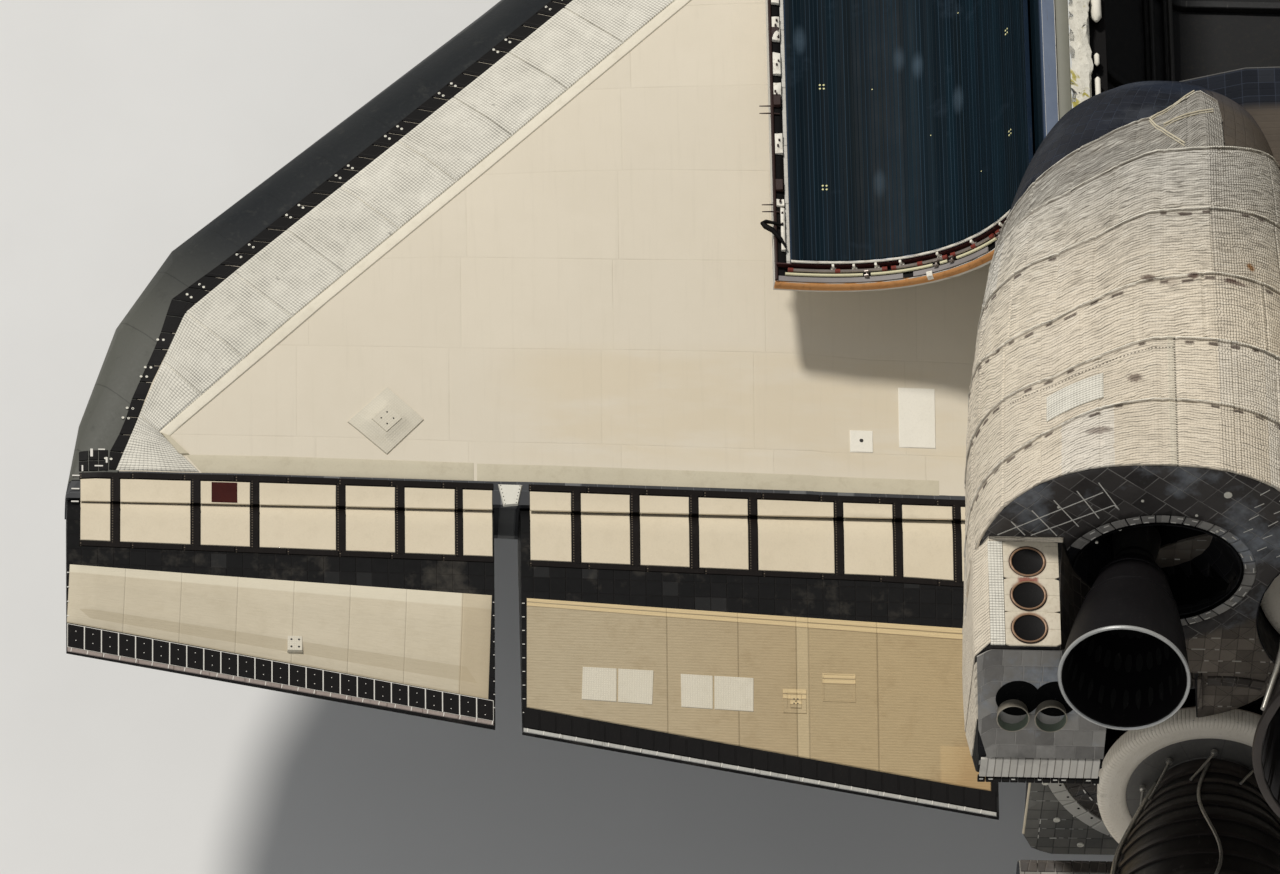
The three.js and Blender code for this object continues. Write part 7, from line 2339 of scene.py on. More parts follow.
        # bore: shallow flutes
        n = 240
        ss = np.linspace(167.0, 62.4, 26)
        verts, cc = [], []
        for s in ss:
            for i in range(n):
                a = 2 * math.pi * i / n
                r = g2(s) - 0.14 - (0.10 if i % 2 else 0.0)
                verts.append(o + d * s + (u * math.cos(a) + v * math.sin(a)) * r)
                cc.append((a * 40, s, 0.0))
        faces = [tuple(reversed(q)) for q in grid_faces(n, len(ss), wrap_u=True)]
        back = [o + d * s + (u * math.cos(2 * math.pi * i / n) + v * math.sin(2 * math.pi * i / n)) * (g2(s) + 0.3) for s in ss for i in range(n)]
        m = len(verts)
        faces2 = [tuple(i + m for i in reversed(q)) for q in faces]
        rim = []
        for k in (0, len(ss) - 1):
            for i in range(n):
                a, b = k * n + i, k * n + (i + 1) % n
                rim.append((a, b, b + m, a + m) if k == 0 else (b, a, a + m, b + m))
        I.add(verts + back, faces + faces2 + rim, cc + cc, 0)
        I.lathe(o, d, [(12.4, 62.3), (11.8, 61.6), (0.01, 60.4)], 60)
        # feed pipes, actuator-like struts round the throat, tied to the bell
        for k, (a0, rad, s0, s1) in enumerate(((20, 0.9, 70, 160), (95, 0.7, 70, 150), (160, 1.1, 70, 163), (215, 0.7, 72, 140), (300, 1.0, 70, 158))):
            pts = []
            for s in np.linspace(s0, s1, 24):
                a = math.radians(a0 + 7 * math.sin((s - s0) * 0.07))
                pts.append(o + d * s + (u * math.cos(a) + v * math.sin(a)) * (f(s) + rad + 0.9))
            S.tube(pts, rad, 12)
        for k in range(9):
            a = math.radians(k * 40 + 11)
            p0 = o + d * 69.4 + (u * math.cos(a) + v * math.sin(a)) * 25.0
            p1 = o + d * 79.0 + (u * math.cos(a + 0.22) + v * math.sin(a + 0.22)) * 25.6
            p2 = o + d * 84.0 + (u * math.cos(a + 0.32) + v * math.sin(a + 0.32)) * 26.8
            S.tube(along_line([p0, p1, p2], 12), 0.55, 10)
            S.lathe(p0 - d * 1.2, d, [(1.3, 0.2), (1.3, 1.6), (0.4, 1.8)], 12)
        O.make("bell_" + key, body, "engine_bell", [M["bell_hot"]], 40)
        H.make("bell_hoops_" + key, body, "engine_bell", [M["bell_hoop"]], 40)
        I.make("bell_bore_" + key, body, "engine_bell", [M["bell_in"]], 30)
        S.make("bell_pipes_" + key, body, "engine_bell", [M["silver"]], 40)

    # small ring fasteners and clusters on the base
    F, K = Builder(), Builder()
    for y, z in ((88, 398), (79, 401), (99, 396), (104, 352), (108, 330), (102, 306), (92, 290), (20, 300), (14, 402), (60, 412), (75, 418), (52, 424)):
        F.lathe((1512.5, y, z), (1, 0, 0), [(1.3, 0), (1.3, 0.45), (0.8, 0.55), (0.7, 0.3), (0.01, 0.3)], 18)
    for _ in range(150):
        y, z = rng.uniform(4, 112), rng.uniform(285, 490)
        p = np.array([1512.5, y, z])
        _, i = engine_hole(p, 62.5)
        if i or y > base_half(z) - 2:
            continue
        horizontal = rng.random() > 0.4
        yy, zz = round(y / 6) * 6, round(z / 6) * 6
        c = (1512.6, y, zz) if horizontal else (1512.6, yy, z)
        K.block(c, [(0, 1, 0), (0, 0, 1), (1, 0, 0)], (rng.uniform(0.5, 1.5), 0.16, 0.2) if horizontal else (0.16, rng.uniform(0.5, 1.5), 0.2), 0.05)
    F.pair("base_fasteners_{s}", "airframe", "base_tile", M["white_metal"], 30)
    K.pair("base_fillers_{s}", "airframe", "base_tile", M["tick"], 30)
    # pale edge strip down the side of the base
    B = Builder()
    pts = [(1512.0, base_half(z) - 0.1, z) for z in np.linspace(296, 404, 40)]
    B.tube(pts, 0.55, 10)
    B.pair("base_edge_{s}", "airframe", "base_tile", M["seal_panel"], 40)


def lower_brown(p):
    return p[2] > 372 + 0.25 * abs(p[1] - 60)


base_details()


def flap_details():
    M = MATS
    # tile skins over both faces of the body flap and its trailing edge row
    FX, FZ, FR = 1532.0, 291.0, 9.0

    def upper(x):
        if x < FX:
            return FZ + math.sqrt(max(0, FR ** 2 - (x - FX) ** 2))
        return FZ + FR + (287.5 - FZ - FR) * (x - FX) / 81.0

    def lower(x):
        if x < FX:
            return FZ - math.sqrt(max(0, FR ** 2 - (x - FX) ** 2))
        return FZ - FR + (286.0 - FZ + FR) * (x - FX) / 81.0

    for side, fn, sgn in (("upper", upper, 1), ("lower", lower, -1)):
        B = Builder()
        xs = np.r_[np.linspace(FX - 8.4, FX, 8), np.linspace(FX + 3, 1612.6, 28)]
        ys = np.linspace(-115.8, 115.8, 80)
        top, bot, cc = [], [], []
        for x in xs:
            z = fn(x)
            e = 1e-2
            n = unit((-(fn(x + e) - fn(x - e)) / (2 * e), 0, 1)) * sgn
            for y in ys:
                top.append(np.array([x, y, z]) + n * 0.22)
                bot.append(np.array([x, y, z]) - n * 0.3)
                cc.append((x, y, 0.0))
        if sgn < 0:
            # turn the sheet so that its faces point down
            nu = len(ys)
            order = [j * nu + (nu - 1 - i) for j in range(len(xs)) for i in range(nu)]
            top, bot, cc = [top[i] for i in order], [bot[i] for i in order], [cc[i] for i in order]
        shell(B, top, bot, len(ys), len(xs), cc)
        B.make("flap_%s_skin" % side, "body_flap", "flap_tile", [M["flap_top"]], 30)
    B, K = Builder(), Builder()
    for i in range(36):
        y = -115.6 + (i + 0.5) * 231.2 / 36
        B.block((1611.0, y, 286.8), [(0, 1, 0), (0, 0, 1), (1, 0, 0)], (3.1, 0.95, 2.4), 0.3, tag=float(i))
        B.block((1529.5, y, 300.0), [(0, 1, 0), (0, 0, 1), (1, 0, 0)], (3.1, 0.5, 2.6), 0.25, tag=float(i))
    for s in (-1, 1):
        for i in range(11):
            x = 1537 + i * 6.6
            B.block((x, s * 115.9, (upper(x) + lower(x)) / 2), [(1, 0, 0), (0, 0, 1), (0, 1, 0)], (3.15, (upper(x) - lower(x)) / 2 - 0.2, 0.5), 0.2, tag=float(i))
    for x, y in ((1560, -70), (1560, 70), (1590, -30), (1590, 30), (1548, 0), (1600, 95), (1600, -95)):
        K.lathe((x, y, upper(x) + 0.15), (0, 0, 1), [(1.1, 0), (1.1, 0.3), (0.7, 0.4), (0.6, 0.25), (0.01, 0.25)], 16)
    B.make("flap_edge_tiles", "body_flap", "flap_tile", [M["base_dark"]], 30)
    K.make("flap_fasteners", "body_flap", "flap_tile", [M["white_metal"]], 30)


flap_details()


# ------------------------------------------------------------------ nose, cabin, sides, belly, tail, bay and gear
def rest_mats():
    M = MATS
    M["frame_tile"] = mat_tiles("window_frame_tiles", srgb(18, 19, 20), srgb(38, 39, 41), srgb(60, 60, 60), 4.0, odds=0.1)
    M["seal_black"] = mat_plain("seal_black", srgb(14, 14, 15), srgb(28, 28, 29), 0.6, 2.0)
    M["vent_white"] = mat_cloth("vent_door", srgb(200, 197, 188), srgb(220, 217, 208), srgb(140, 130, 110), 2.0)
    M["chrome"] = mat_metal("strut_chrome", srgb(176, 178, 180), srgb(214, 215, 216), 0.16, 0.95, 2.0)
    M["hose"] = mat_plain("hose", srgb(26, 26, 27), srgb(46, 45, 44), 0.6, 3.0)
    M["brake"] = mat_metal("brake_stack", srgb(70, 66, 62), srgb(112, 106, 98), 0.45, 0.6, 2.0)
    # the bay's ribs, fittings and foil get near-black colours as painted shade of the unlit bay
    M["bay_rib"] = mat_metal("bay_ribs", srgb(12, 12, 13), srgb(28, 28, 27), 0.7, 0.1, 1.0)
    M["bay_grey"] = mat_metal("bay_fittings", srgb(22, 22, 22), srgb(46, 45, 42), 0.6, 0.2, 1.0)
    M["bay_foil"] = mat_cloth("bay_foil", srgb(9, 9, 10), srgb(22, 22, 22), srgb(40, 35, 26), 2.0)
    M["tread"] = mat_plain("tyre_tread", srgb(22, 22, 23), srgb(42, 41, 41), 0.82, 3.0)
    M["fin_edge"] = mat_tiles("fin_edge_tiles", srgb(150, 147, 139), srgb(198, 195, 186), srgb(84, 80, 74), 6.0, 0.7, 0.3, odds=0.2)
    M["alu"] = mat_metal("machined_metal", srgb(150, 151, 150), srgb(190, 190, 188), 0.35, 0.8, 2.0)


rest_mats()


def stick(B, drape, c, d, up, hw, hh, t=0.35, n=(8, 8), sink=0.3, hole=None, tag=0.0, bevel=0.25, mat=0, round_=0.0):
    """A plate laid on a surface: cast from c along d, half width hw, half height hh; hole leaves a share open."""
    c, d = np.asarray(c, float), unit(d)
    w = unit(np.cross(d, up))
    h = np.cross(w, d)
    w, h = unit(w), unit(h)

    def at(a, b):
        p = c + w * a + h * b
        hit, nor = drape.cast(p, d)
        if hit is None:
            q, nor = drape.near(p + d * last[0])
            hit = p + d * ((q - p) @ d)
        else:
            last[0] = (hit - p) @ d
        return hit

    last = [40.0]
    at(0, 0)
    if hole is None:
        us = np.r_[-1, -1 + bevel / hw, np.linspace(-1 + 2 * bevel / hw, 1 - 2 * bevel / hw, n[0]), 1 - bevel / hw, 1] * hw
        vs = np.r_[-1, -1 + bevel / hh, np.linspace(-1 + 2 * bevel / hh, 1 - 2 * bevel / hh, n[1]), 1 - bevel / hh, 1] * hh
        top, bot, cc = [], [], []
        for b in vs:
            for a in us:
                e = min(hw - abs(a), hh - abs(b))
                p = at(a, b)
                top.append(p - d * (t if e > 1e-6 else t * 0.4))
                bot.append(p + d * sink)
                cc.append((a, b, tag))
        shell(B, top, bot, len(us), len(vs), cc, mat=mat)
        return
    m = 48
    top, bot, cc = [], [], []
    for k, f in enumerate((0.0, 0.12, 0.5, 0.88, 1.0)):
        for i in range(m):
            q = 2 * math.pi * i / m
            cq, sq = math.cos(q), math.sin(q)
            e = 2 / (2 + 6 * (1 - round_))
            a, b = math.copysign(abs(cq) ** e, cq), math.copysign(abs(sq) ** e, sq)
            g = hole + (1 - hole) * f
            p = at(a * hw * g, b * hh * g) if hole > 0 else at(a * hw * max(g, 0.02), b * hh * max(g, 0.02))
            top.append(p - d * (t if 0 < k < 4 else t * 0.5))
            bot.append(p + d * sink)
            cc.append((q * hw, g * hw, tag))
    shell(B, top, bot, m, 5, cc, wrap=True, mat=mat)


def port_hole(R, K, drape, c, d, r, long=1.0, up=(1, 0, 0)):
    """A flush thruster port: pale ring, and a flat well painted near-black as the shade inside it."""
    hit, nor = drape.cast(c, d)
    if hit is None:
        return
    n = unit(nor)
    if n @ np.asarray(d) > 0:
        n = -n
    stick(R, drape, c, d, up, r * 1.22, r * 1.22 * long, 0.3, hole=0.84, round_=1.0)
    stick(K, drape, c, d, up, r * 1.02, r * 1.02 * long, 0.12, hole=0.0, round_=1.0)


def nose_details():
    M = MATS
    D = Drape("forward_fuselage", "forward_rcs_module", "nose_cap", "mid_fuselage", "aft_fuselage")
    DF = Drape("forward_fuselage")
    F, P = Builder(), Builder()
    for x, y, z, yaw, w, h in ((441, 15, 464, 6, 25, 24), (447, 44, 460, 34, 27, 25), (461, 68, 452, 62, 25, 24)):
        a, e = math.radians(yaw), math.radians(28)
        d = np.array([-math.cos(e) * math.cos(a), math.cos(e) * math.sin(a), math.sin(e)])
        up = np.array([math.sin(e) * math.cos(a), -math.sin(e) * math.sin(a), math.cos(e)])
        c = np.array([x, y, z]) + d * 40
        stick(F, DF, c, -d, up, w / 2 + 2.4, h / 2 + 2.4, 0.42, hole=0.80, sink=0.9)
    F.pair("window_frames", "airframe", "white_blanket", M["frame_tile"], 40)
    # overhead windows and bay windows
    F = Builder()
    stick(F, DF, (510, 17, 540), (0, 0, -1), (1, 0, 0), 12.2, 14.2, 0.4, hole=0.80, sink=0.9)
    stick(F, DF, (600, 19, 463.5), (-1, 0, 0), (0, 0, 1), 11.0, 10.4, 0.4, hole=0.80, sink=0.9)
    F.pair("overhead_window_frames", "airframe", "white_blanket", M["frame_tile"], 40)
    # thruster ports of the forward module
    R, K = Builder(), Builder()
    for x, y in ((333, 14), (347, 14), (340, 30)):
        port_hole(R, K, D, (x, y, 520), (0, 0, -1), 4.2, 1.25)
    for x, z in ((345, 366), (357, 352)):
        port_hole(R, K, D, (x, 160, z), (0, -1, 0), 4.4, 1.2)
    for y in (12,):
        port_hole(R, K, D, (250, y, 396), (0.75, 0, -0.66), 4.4, 1.4, (0, 0, 1))
    for x, y in ((350, 40), (362, 30)):
        port_hole(R, K, D, (x, y, 200), (0, 0.0, 1), 4.2, 1.3)
    R.pair("nose_port_rings", "airframe", "white_blanket", M["port_ring"], 40)
    K.pair("nose_port_wells", "airframe", "white_blanket", M["void"], 40)
    # single pieces on the port side: two star sensor doors ahead of the side windows, the doors painted near-black as
    # shade
    B, K = Builder(), Builder()
    for x, z in ((412, 420), (431, 432)):
        stick(B, D, (x, 160, z), (0, -1, -0.35), (0, 0, 1), 6.4, 5.6, 0.35, hole=0.76)
        stick(K, D, (x, 160, z), (0, -1, -0.35), (0, 0, 1), 4.7, 4.1, 0.1, (4, 4))
    B.make("sensor_door_frames", "airframe", "white_blanket", M["seal_black"], 40)
    K.make("sensor_doors", "airframe", "white_blanket", M["void"], 40)
    # side vents with their seals, and two small covers on top of the forward fuselage
    B, K = Builder(), Builder()
    for x, z, hw, hh in ((602, 398, 9, 5), (720, 398, 9, 5), (846, 398, 9, 5), (980, 398, 9, 5), (1110, 398, 9, 5), (1236, 398, 9, 5), (548, 396, 8, 5), (1330, 396, 8, 5)):
        stick(B, D, (x, 160, z), (0, -1, 0), (0, 0, 1), hw, hh, 0.3, (6, 5))
        stick(K, D, (x, 160, z), (0, -1, 0), (0, 0, 1), hw + 0.8, hh + 0.8, 0.2, hole=0.9)
    for x in (420, 560, 640, 900, 1180, 1380):
        stick(B, D, (x, 26, 640), (0, 0, -1), (1, 0, 0), 4, 4, 0.25, (4, 4)) if x < 577 else None
    B.pair("side_vents", "airframe", "white_blanket", M["vent_white"], 30)
    K.pair("side_vent_seals", "airframe", "white_blanket", M["seal_black"], 30)
    # hatch: ring seal, tiles, round window with its frame and fasteners
    DH = Drape("side_hatch")
    B, K, W = Builder(), Builder(), Builder()
    stick(K, DH, (505, 160, 358), (0, -1, 0), (0, 0, 1), 19.7, 19.7, 0.35, hole=0.94, round_=1.0)
    stick(B, DH, (505, 160, 358), (0, -1, 0), (0, 0, 1), 18.2, 18.2, 0.3, hole=0.42, round_=1.0)
    stick(K, DH, (505, 160, 358), (0, -1, 0), (0, 0, 1), 7.6, 7.6, 0.45, hole=0.72, round_=1.0)
    stick(W, DH, (505, 160, 358), (0, -1, 0), (0, 0, 1), 5.5, 5.5, 0.12, hole=0.0, round_=1.0)
    for k in range(16):
        q = 2 * math.pi * k / 16
        p = (505 + 6.6 * math.cos(q), 160, 358 + 6.6 * math.sin(q))
        hit, nor = DH.cast(p, (0, -1, 0))
        if hit is not None:
            K.lathe(hit + (0, 0.4, 0), (0, 1, 0), [(0.35, 0), (0.3, 0.2), (0.01, 0.25)], 10)
    B.make("hatch_tiles", "side_hatch", "hatch_skin", M["frame_tile"], 30)
    K.make("hatch_seals", "side_hatch", "hatch_skin", M["seal_black"], 30)
    W.make("hatch_window", "side_hatch", "hatch_skin", M["glass"], 30)
    # carbon cap: seal ring behind it
    B = Builder()
    xs = 266.2
    ring = []
    for i in range(96):
        q = 2 * math.pi * i / 96
        c = np.array([xs, 0, 336.0])
        d = np.array([0, math.cos(q), math.sin(q)])
        hit, nor = D.cast(c + d * 120, -d)
        if hit is not None:
            ring.append((hit, d))
    top, bot, cc = [], [], []
    for dx, h in ((-2.4, 0.1), (-2.0, 0.4), (2.0, 0.4), (2.4, 0.1)):
        for k, (p, d) in enumerate(ring):
            hit, nor = D.cast(np.array([xs + dx, 0, 336.0]) + d * 120, -d)
            p = hit if hit is not None else p
            top.append(p + d * h)
            bot.append(p - d * 0.4)
            cc.append((k, dx, 0))
    shell(B, top, bot, len(ring), 4, cc, wrap=True)
    B.make("nose_seal_ring", "airframe", "nose_carbon", M["frame_tile"], 40)


nose_details()


def belly_details():
    M = MATS
    D = Drape("forward_fuselage", "mid_fuselage", "aft_fuselage", "wing_port", "wing_starboard", "forward_rcs_module")
    # feed line doors, attach points and seals under the body
    B, K = Builder(), Builder()
    for x, y, hw, hh in ((1330, 46, 22, 24), (1240, 0, 0, 0)):
        if hw:
            stick(B, D, (x, y, 200), (0, 0, 1), (1, 0, 0), hw, hh, 0.3, (8, 8))
            stick(K, D, (x, y, 200), (0, 0, 1), (1, 0, 0), hw + 1.2, hh + 1.2, 0.2, hole=0.95)
    stick(K, D, (1152, 132, 200), (0, 0, 1), (1, 0, 0), 29, 56, 0.25, hole=0.965)
    stick(K, D, (1420, 60, 200), (0, 0, 1), (1, 0, 0), 5, 5, 0.5, hole=0.5, round_=1.0)
    B.pair("feed_doors", "airframe", "aft_skin", M["frame_tile"], 30)
    K.pair("belly_seals", "airframe", "aft_skin", M["seal_black"], 30)
    B = Builder()
    stick(B, D, (390, 0, 200), (0, 0, 1), (1, 0, 0), 6, 6, 0.5, hole=0.5, round_=1.0)
    stick(B, D, (452, 0, 200), (0, 0, 1), (1, 0, 0), 26, 50, 0.25, hole=0.96)
    B.make("nose_well_seal", "airframe", "white_blanket", M["seal_black"], 30)


belly_details()


def tail_details():
    M = MATS
    finR = lambda z: 13 + (5.5 - 13) * (z - 500) / 316
    le = lambda z: 1277 + (z - 500)
    te = lambda z: 1545.5 + (z - 500) * 0.4937
    rud = lambda z: 1483.5 + (z - 560) * 0.667

    def half(x, z):
        c, r, xr = te(z) - le(z), finR(z), rud(z)
        return np.interp(x, [le(z), le(z) + 0.06 * c, le(z) + 0.3 * c, xr - 2 * r, xr], [1, 0.36 * r, 0.82 * r, r, r])

    # leading edge tiles
    B = Builder()
    zs = np.linspace(504, 815.4, 53)
    for z0, z1 in zip(zs[:-1], zs[1:]):
        top, bot, cc = [], [], []
        for z in (z0 + 0.12, z0 + 0.5, z1 - 0.5, z1 - 0.12):
            edge = 0.25 if z in (z0 + 0.12, z1 - 0.12) else 0.5
            for s in (-1, -0.85, -0.6, -0.35, -0.15, 0, 0.15, 0.35, 0.6, 0.85, 1):
                dx = 15.0 * s * s
                x = le(z) + dx
                y = math.copysign(half(x, z), s) if abs(s) > 0.2 else s / 0.2 * 1.0
                n = unit((-(1 - abs(s)) - 0.15, math.copysign(abs(s) ** 0.5, s), 0.3 * (1 - abs(s))))
                top.append(np.array([x, y, z]) + n * edge)
                bot.append(np.array([x + 0.4, y * 0.9, z]))
                cc.append((dx, z, 0.0))
        shell(B, top, bot, 11, 4, cc)
    B.make("fin_edge_blocks", "airframe", "tail_blanket", M["fin_edge"], 30)
    # rudder line covers
    B = Builder()
    ahead = lambda z: rud(z) - 4.0 - 0.85 * finR(z)
    for side in (1, -1):
        B.tube([(ahead(z), side * (half(ahead(z), z) + 0.1), z) for z in np.linspace(568, 790, 60)], 0.5, 10)
        for z in (566.0, 791.8):
            B.tube([(x, side * (half(x, z) + 0.05), z) for x in np.linspace(ahead(z) - 9, ahead(z), 8)], 0.45, 8)
    B.make("rudder_line_covers", "airframe", "tail_blanket", M["seal_black"], 40)
    # panel skins on the speedbrake: raised sheets with rivet rows
    D = Drape("speedbrake_panel_port")
    B, R, K = Builder(), Builder(), Builder()
    for z0, z1 in zip(np.linspace(570, 788, 9)[:-1], np.linspace(570, 788, 9)[1:]):
        for v0, v1 in ((0.06, 0.5), (0.5, 0.92)):
            top, bot, cc = [], [], []
            for k, z in enumerate(np.r_[z0 + 0.15, z0 + 0.5, np.linspace(z0 + 1, z1 - 1, 5), z1 - 0.5, z1 - 0.15]):
                xa, xb = rud(z) + 4, te(z) - 2
                for j, t in enumerate(np.r_[0, 0.02, np.linspace(0.05, 0.95, 6), 0.98, 1]):
                    x = xa + (xb - xa) * (v0 + (v1 - v0) * t)
                    e = 0.1 if k in (0, 8) or j in (0, 9) else 0.28
                    hit, nor = D.cast((x, 60, z), (0, -1, 0))
                    y = hit[1] if hit is not None else 3.0
                    top.append((x, y + e, z))
                    bot.append((x, y - 0.3, z))
                    cc.append((x, z, 0.0))
            shell(B, top, bot, 10, 9, cc)
        z = (z0 + z1) / 2
        for t in np.linspace(0.08, 0.9, 12):
            x = rud(z0 + 1.6) + 4 + (te(z0 + 1.6) - 6 - rud(z0 + 1.6)) * t
            hit, nor = D.cast((x, 60, z0 + 1.6), (0, -1, 0))
            if hit is not None:
                R.lathe(hit + np.array([0, 0.25, 0]), (0, 1, 0), [(0.3, 0), (0.25, 0.14), (0.01, 0.18)], 8)
    B.pair("speedbrake_skins", "speedbrake_{s}", "tail_blanket", M["fin"], 40)
    R.pair("speedbrake_rivets", "speedbrake_{s}", "tail_blanket", M["dot_dark"], 40)
    # chute housing door rim and lower skirt
    B = Builder()
    for side in (1, -1):
        pts = [(x, side * (w + 0.15), z) for x, w, z in ((1472, 19.2, 542), (1505, 19.9, 540), (1540, 20.2, 537), (1555.6, 17.2, 531))]
        B.tube(along_line(pts, 30), 0.4, 8)
    ring = [(1556.3, y, z) for y, z in ((-16, 508), (16, 508), (16, 531), (14, 534), (-14, 534), (-16, 531), (-16, 508))]
    B.tube(along_line(ring, 60), 0.45, 8)
    B.make("chute_door_seal", "airframe", "tail_blanket", M["seal_black"], 40)


tail_details()


def bay_details():
    M = MATS
    # every piece of the bay is coloured near-black as painted shade
    sec = np.array([[-90, 413], [-90, 386], [-78, 338], [-46, 306], [46, 306], [78, 338], [90, 386], [90, 413]], float)
    line = along_line(sec, 60)
    cen = np.array([0, 372.0])

    def rib(B, x0, x1, depth, t=0.0):
        top, bot, cc = [], [], []
        for x, k in ((x0, 0.3), (x0 + 0.3, 1.0), (x1 - 0.3, 1.0), (x1, 0.3)):
            for i, p in enumerate(line):
                q = line[min(i + 1, 59)] - line[max(i - 1, 0)]
                n = unit((-q[1], q[0]))
                if n @ (cen - p) < 0:
                    n = -n
                pp = p + n * depth * (k if k == 1 else 0.9)
                top.append((x, pp[0], pp[1]))
                pb = p - n * 0.3
                bot.append((x, pb[0], pb[1]))
                cc.append((x, float(i) * 4, t))
        shell(B, top, bot, 60, 4, cc)

    B = Builder()
    for x in np.arange(582, 1304, 55.4):
        rib(B, x, x + 3.2, 3.4)
    B.make("bay_ribs", "airframe", "bay_liner", M["bay_rib"], 30)
    B = Builder()
    for k, x in enumerate(np.arange(585.4, 1300, 55.4)):
        x1 = min(x + 51.6, 1305.6)
        us = np.linspace(x, x1, 16)
        top, bot, cc = [], [], []
        for j, xx in enumerate(us):
            for i, p in enumerate(line):
                q = line[min(i + 1, 59)] - line[max(i - 1, 0)]
                n = unit((-q[1], q[0]))
                if n @ (cen - p) < 0:
                    n = -n
                h = 0.9 + 0.35 * math.sin(0.35 * i + k) * math.sin(xx * 0.23) + 0.2 * math.sin(1.3 * i + xx * 0.7)
                if j in (0, 15):
                    h = 0.2
                top.append((xx, p[0] + n[0] * h, p[1] + n[1] * h))
                bot.append((xx, p[0] - n[0] * 0.3, p[1] - n[1] * 0.3))
                cc.append((xx, float(i) * 4, 0.0))
        shell(B, top, bot, 60, 16, cc)
    B.make("bay_liner_sheets", "airframe", "bay_liner", M["bay_foil"], 40)
    # wire trays on the floor corners, keel fittings
    B, K = Builder(), Builder()
    for y, z in ((52, 313), (60, 320), (82, 356), (86, 370)):
        for r, off in ((1.5, 0.0), (0.9, 2.6)):
            B.tube([(x, y - 2.2 - off * 0.5, z + 1.6 + off + 0.5 * math.sin(x * 0.03)) for x in np.linspace(583, 1301, 90)], r, 8)
    for x in np.arange(609, 1300, 55.4):
        K.block((x, 0, 310.5), [(1, 0, 0), (0, 1, 0), (0, 0, 1)], (7, 5, 4), 0.8)
        K.block((x, 0, 315.5), [(1, 0, 0), (0, 1, 0), (0, 0, 1)], (3, 3.4, 1.6), 0.5)
    B.pair("bay_lines", "airframe", "bay_liner", M["bay_grey"], 40)
    K.make("keel_fittings", "airframe", "bay_liner", M["bay_grey"], 30)
    # bulkheads: stiffeners, round hatch ahead, round covers behind
    B, K, F = Builder(), Builder(), Builder()
    for y in (-72, -54, -36, 36, 54, 72):
        B.block((578.2, y, 372), [(0, 1, 0), (0, 0, 1), (1, 0, 0)], (1.0, 56, 1.6), 0.4)
        B.block((1304.8, y, 372), [(0, 1, 0), (0, 0, 1), (1, 0, 0)], (1.0, 56, 1.6), 0.4)
    for z in (330, 364, 430):
        B.block((577.9, 0, z), [(0, 1, 0), (0, 0, 1), (1, 0, 0)], (86 if z > 340 else 62, 0.9, 1.3), 0.4)
        B.block((1305.1, 0, z), [(0, 1, 0), (0, 0, 1), (1, 0, 0)], (86 if z > 340 else 62, 0.9, 1.3), 0.4)
    K.lathe((577.2, 0, 385), (1, 0, 0), [(22, 0), (22, 3.5), (20, 4.4), (18.6, 3.6), (18.2, 1.0)], 64)
    K.lathe((577.2, 0, 385), (1, 0, 0), [(18.4, 0.6), (15, 2.4), (8, 3.4), (0.01, 3.7)], 64)
    for y, z, r in ((-34, 395, 9), (34, 395, 9), (0, 420, 12), (0, 350, 8)):
        F.lathe((1305.9, y, z), (-1, 0, 0), [(r, 0), (r, 1.6), (r * 0.8, 2.4), (r * 0.3, 2.9), (0.01, 2.9)], 40)
    B.make("bulkhead_stiffeners", "airframe", "bay_liner", M["bay_rib"], 30)
    K.make("airlock_hatch", "airframe", "bay_liner", M["bay_grey"], 40)
    F.make("aft_bulkhead_covers", "airframe", "bay_liner", M["bay_foil"], 40)


bay_details()


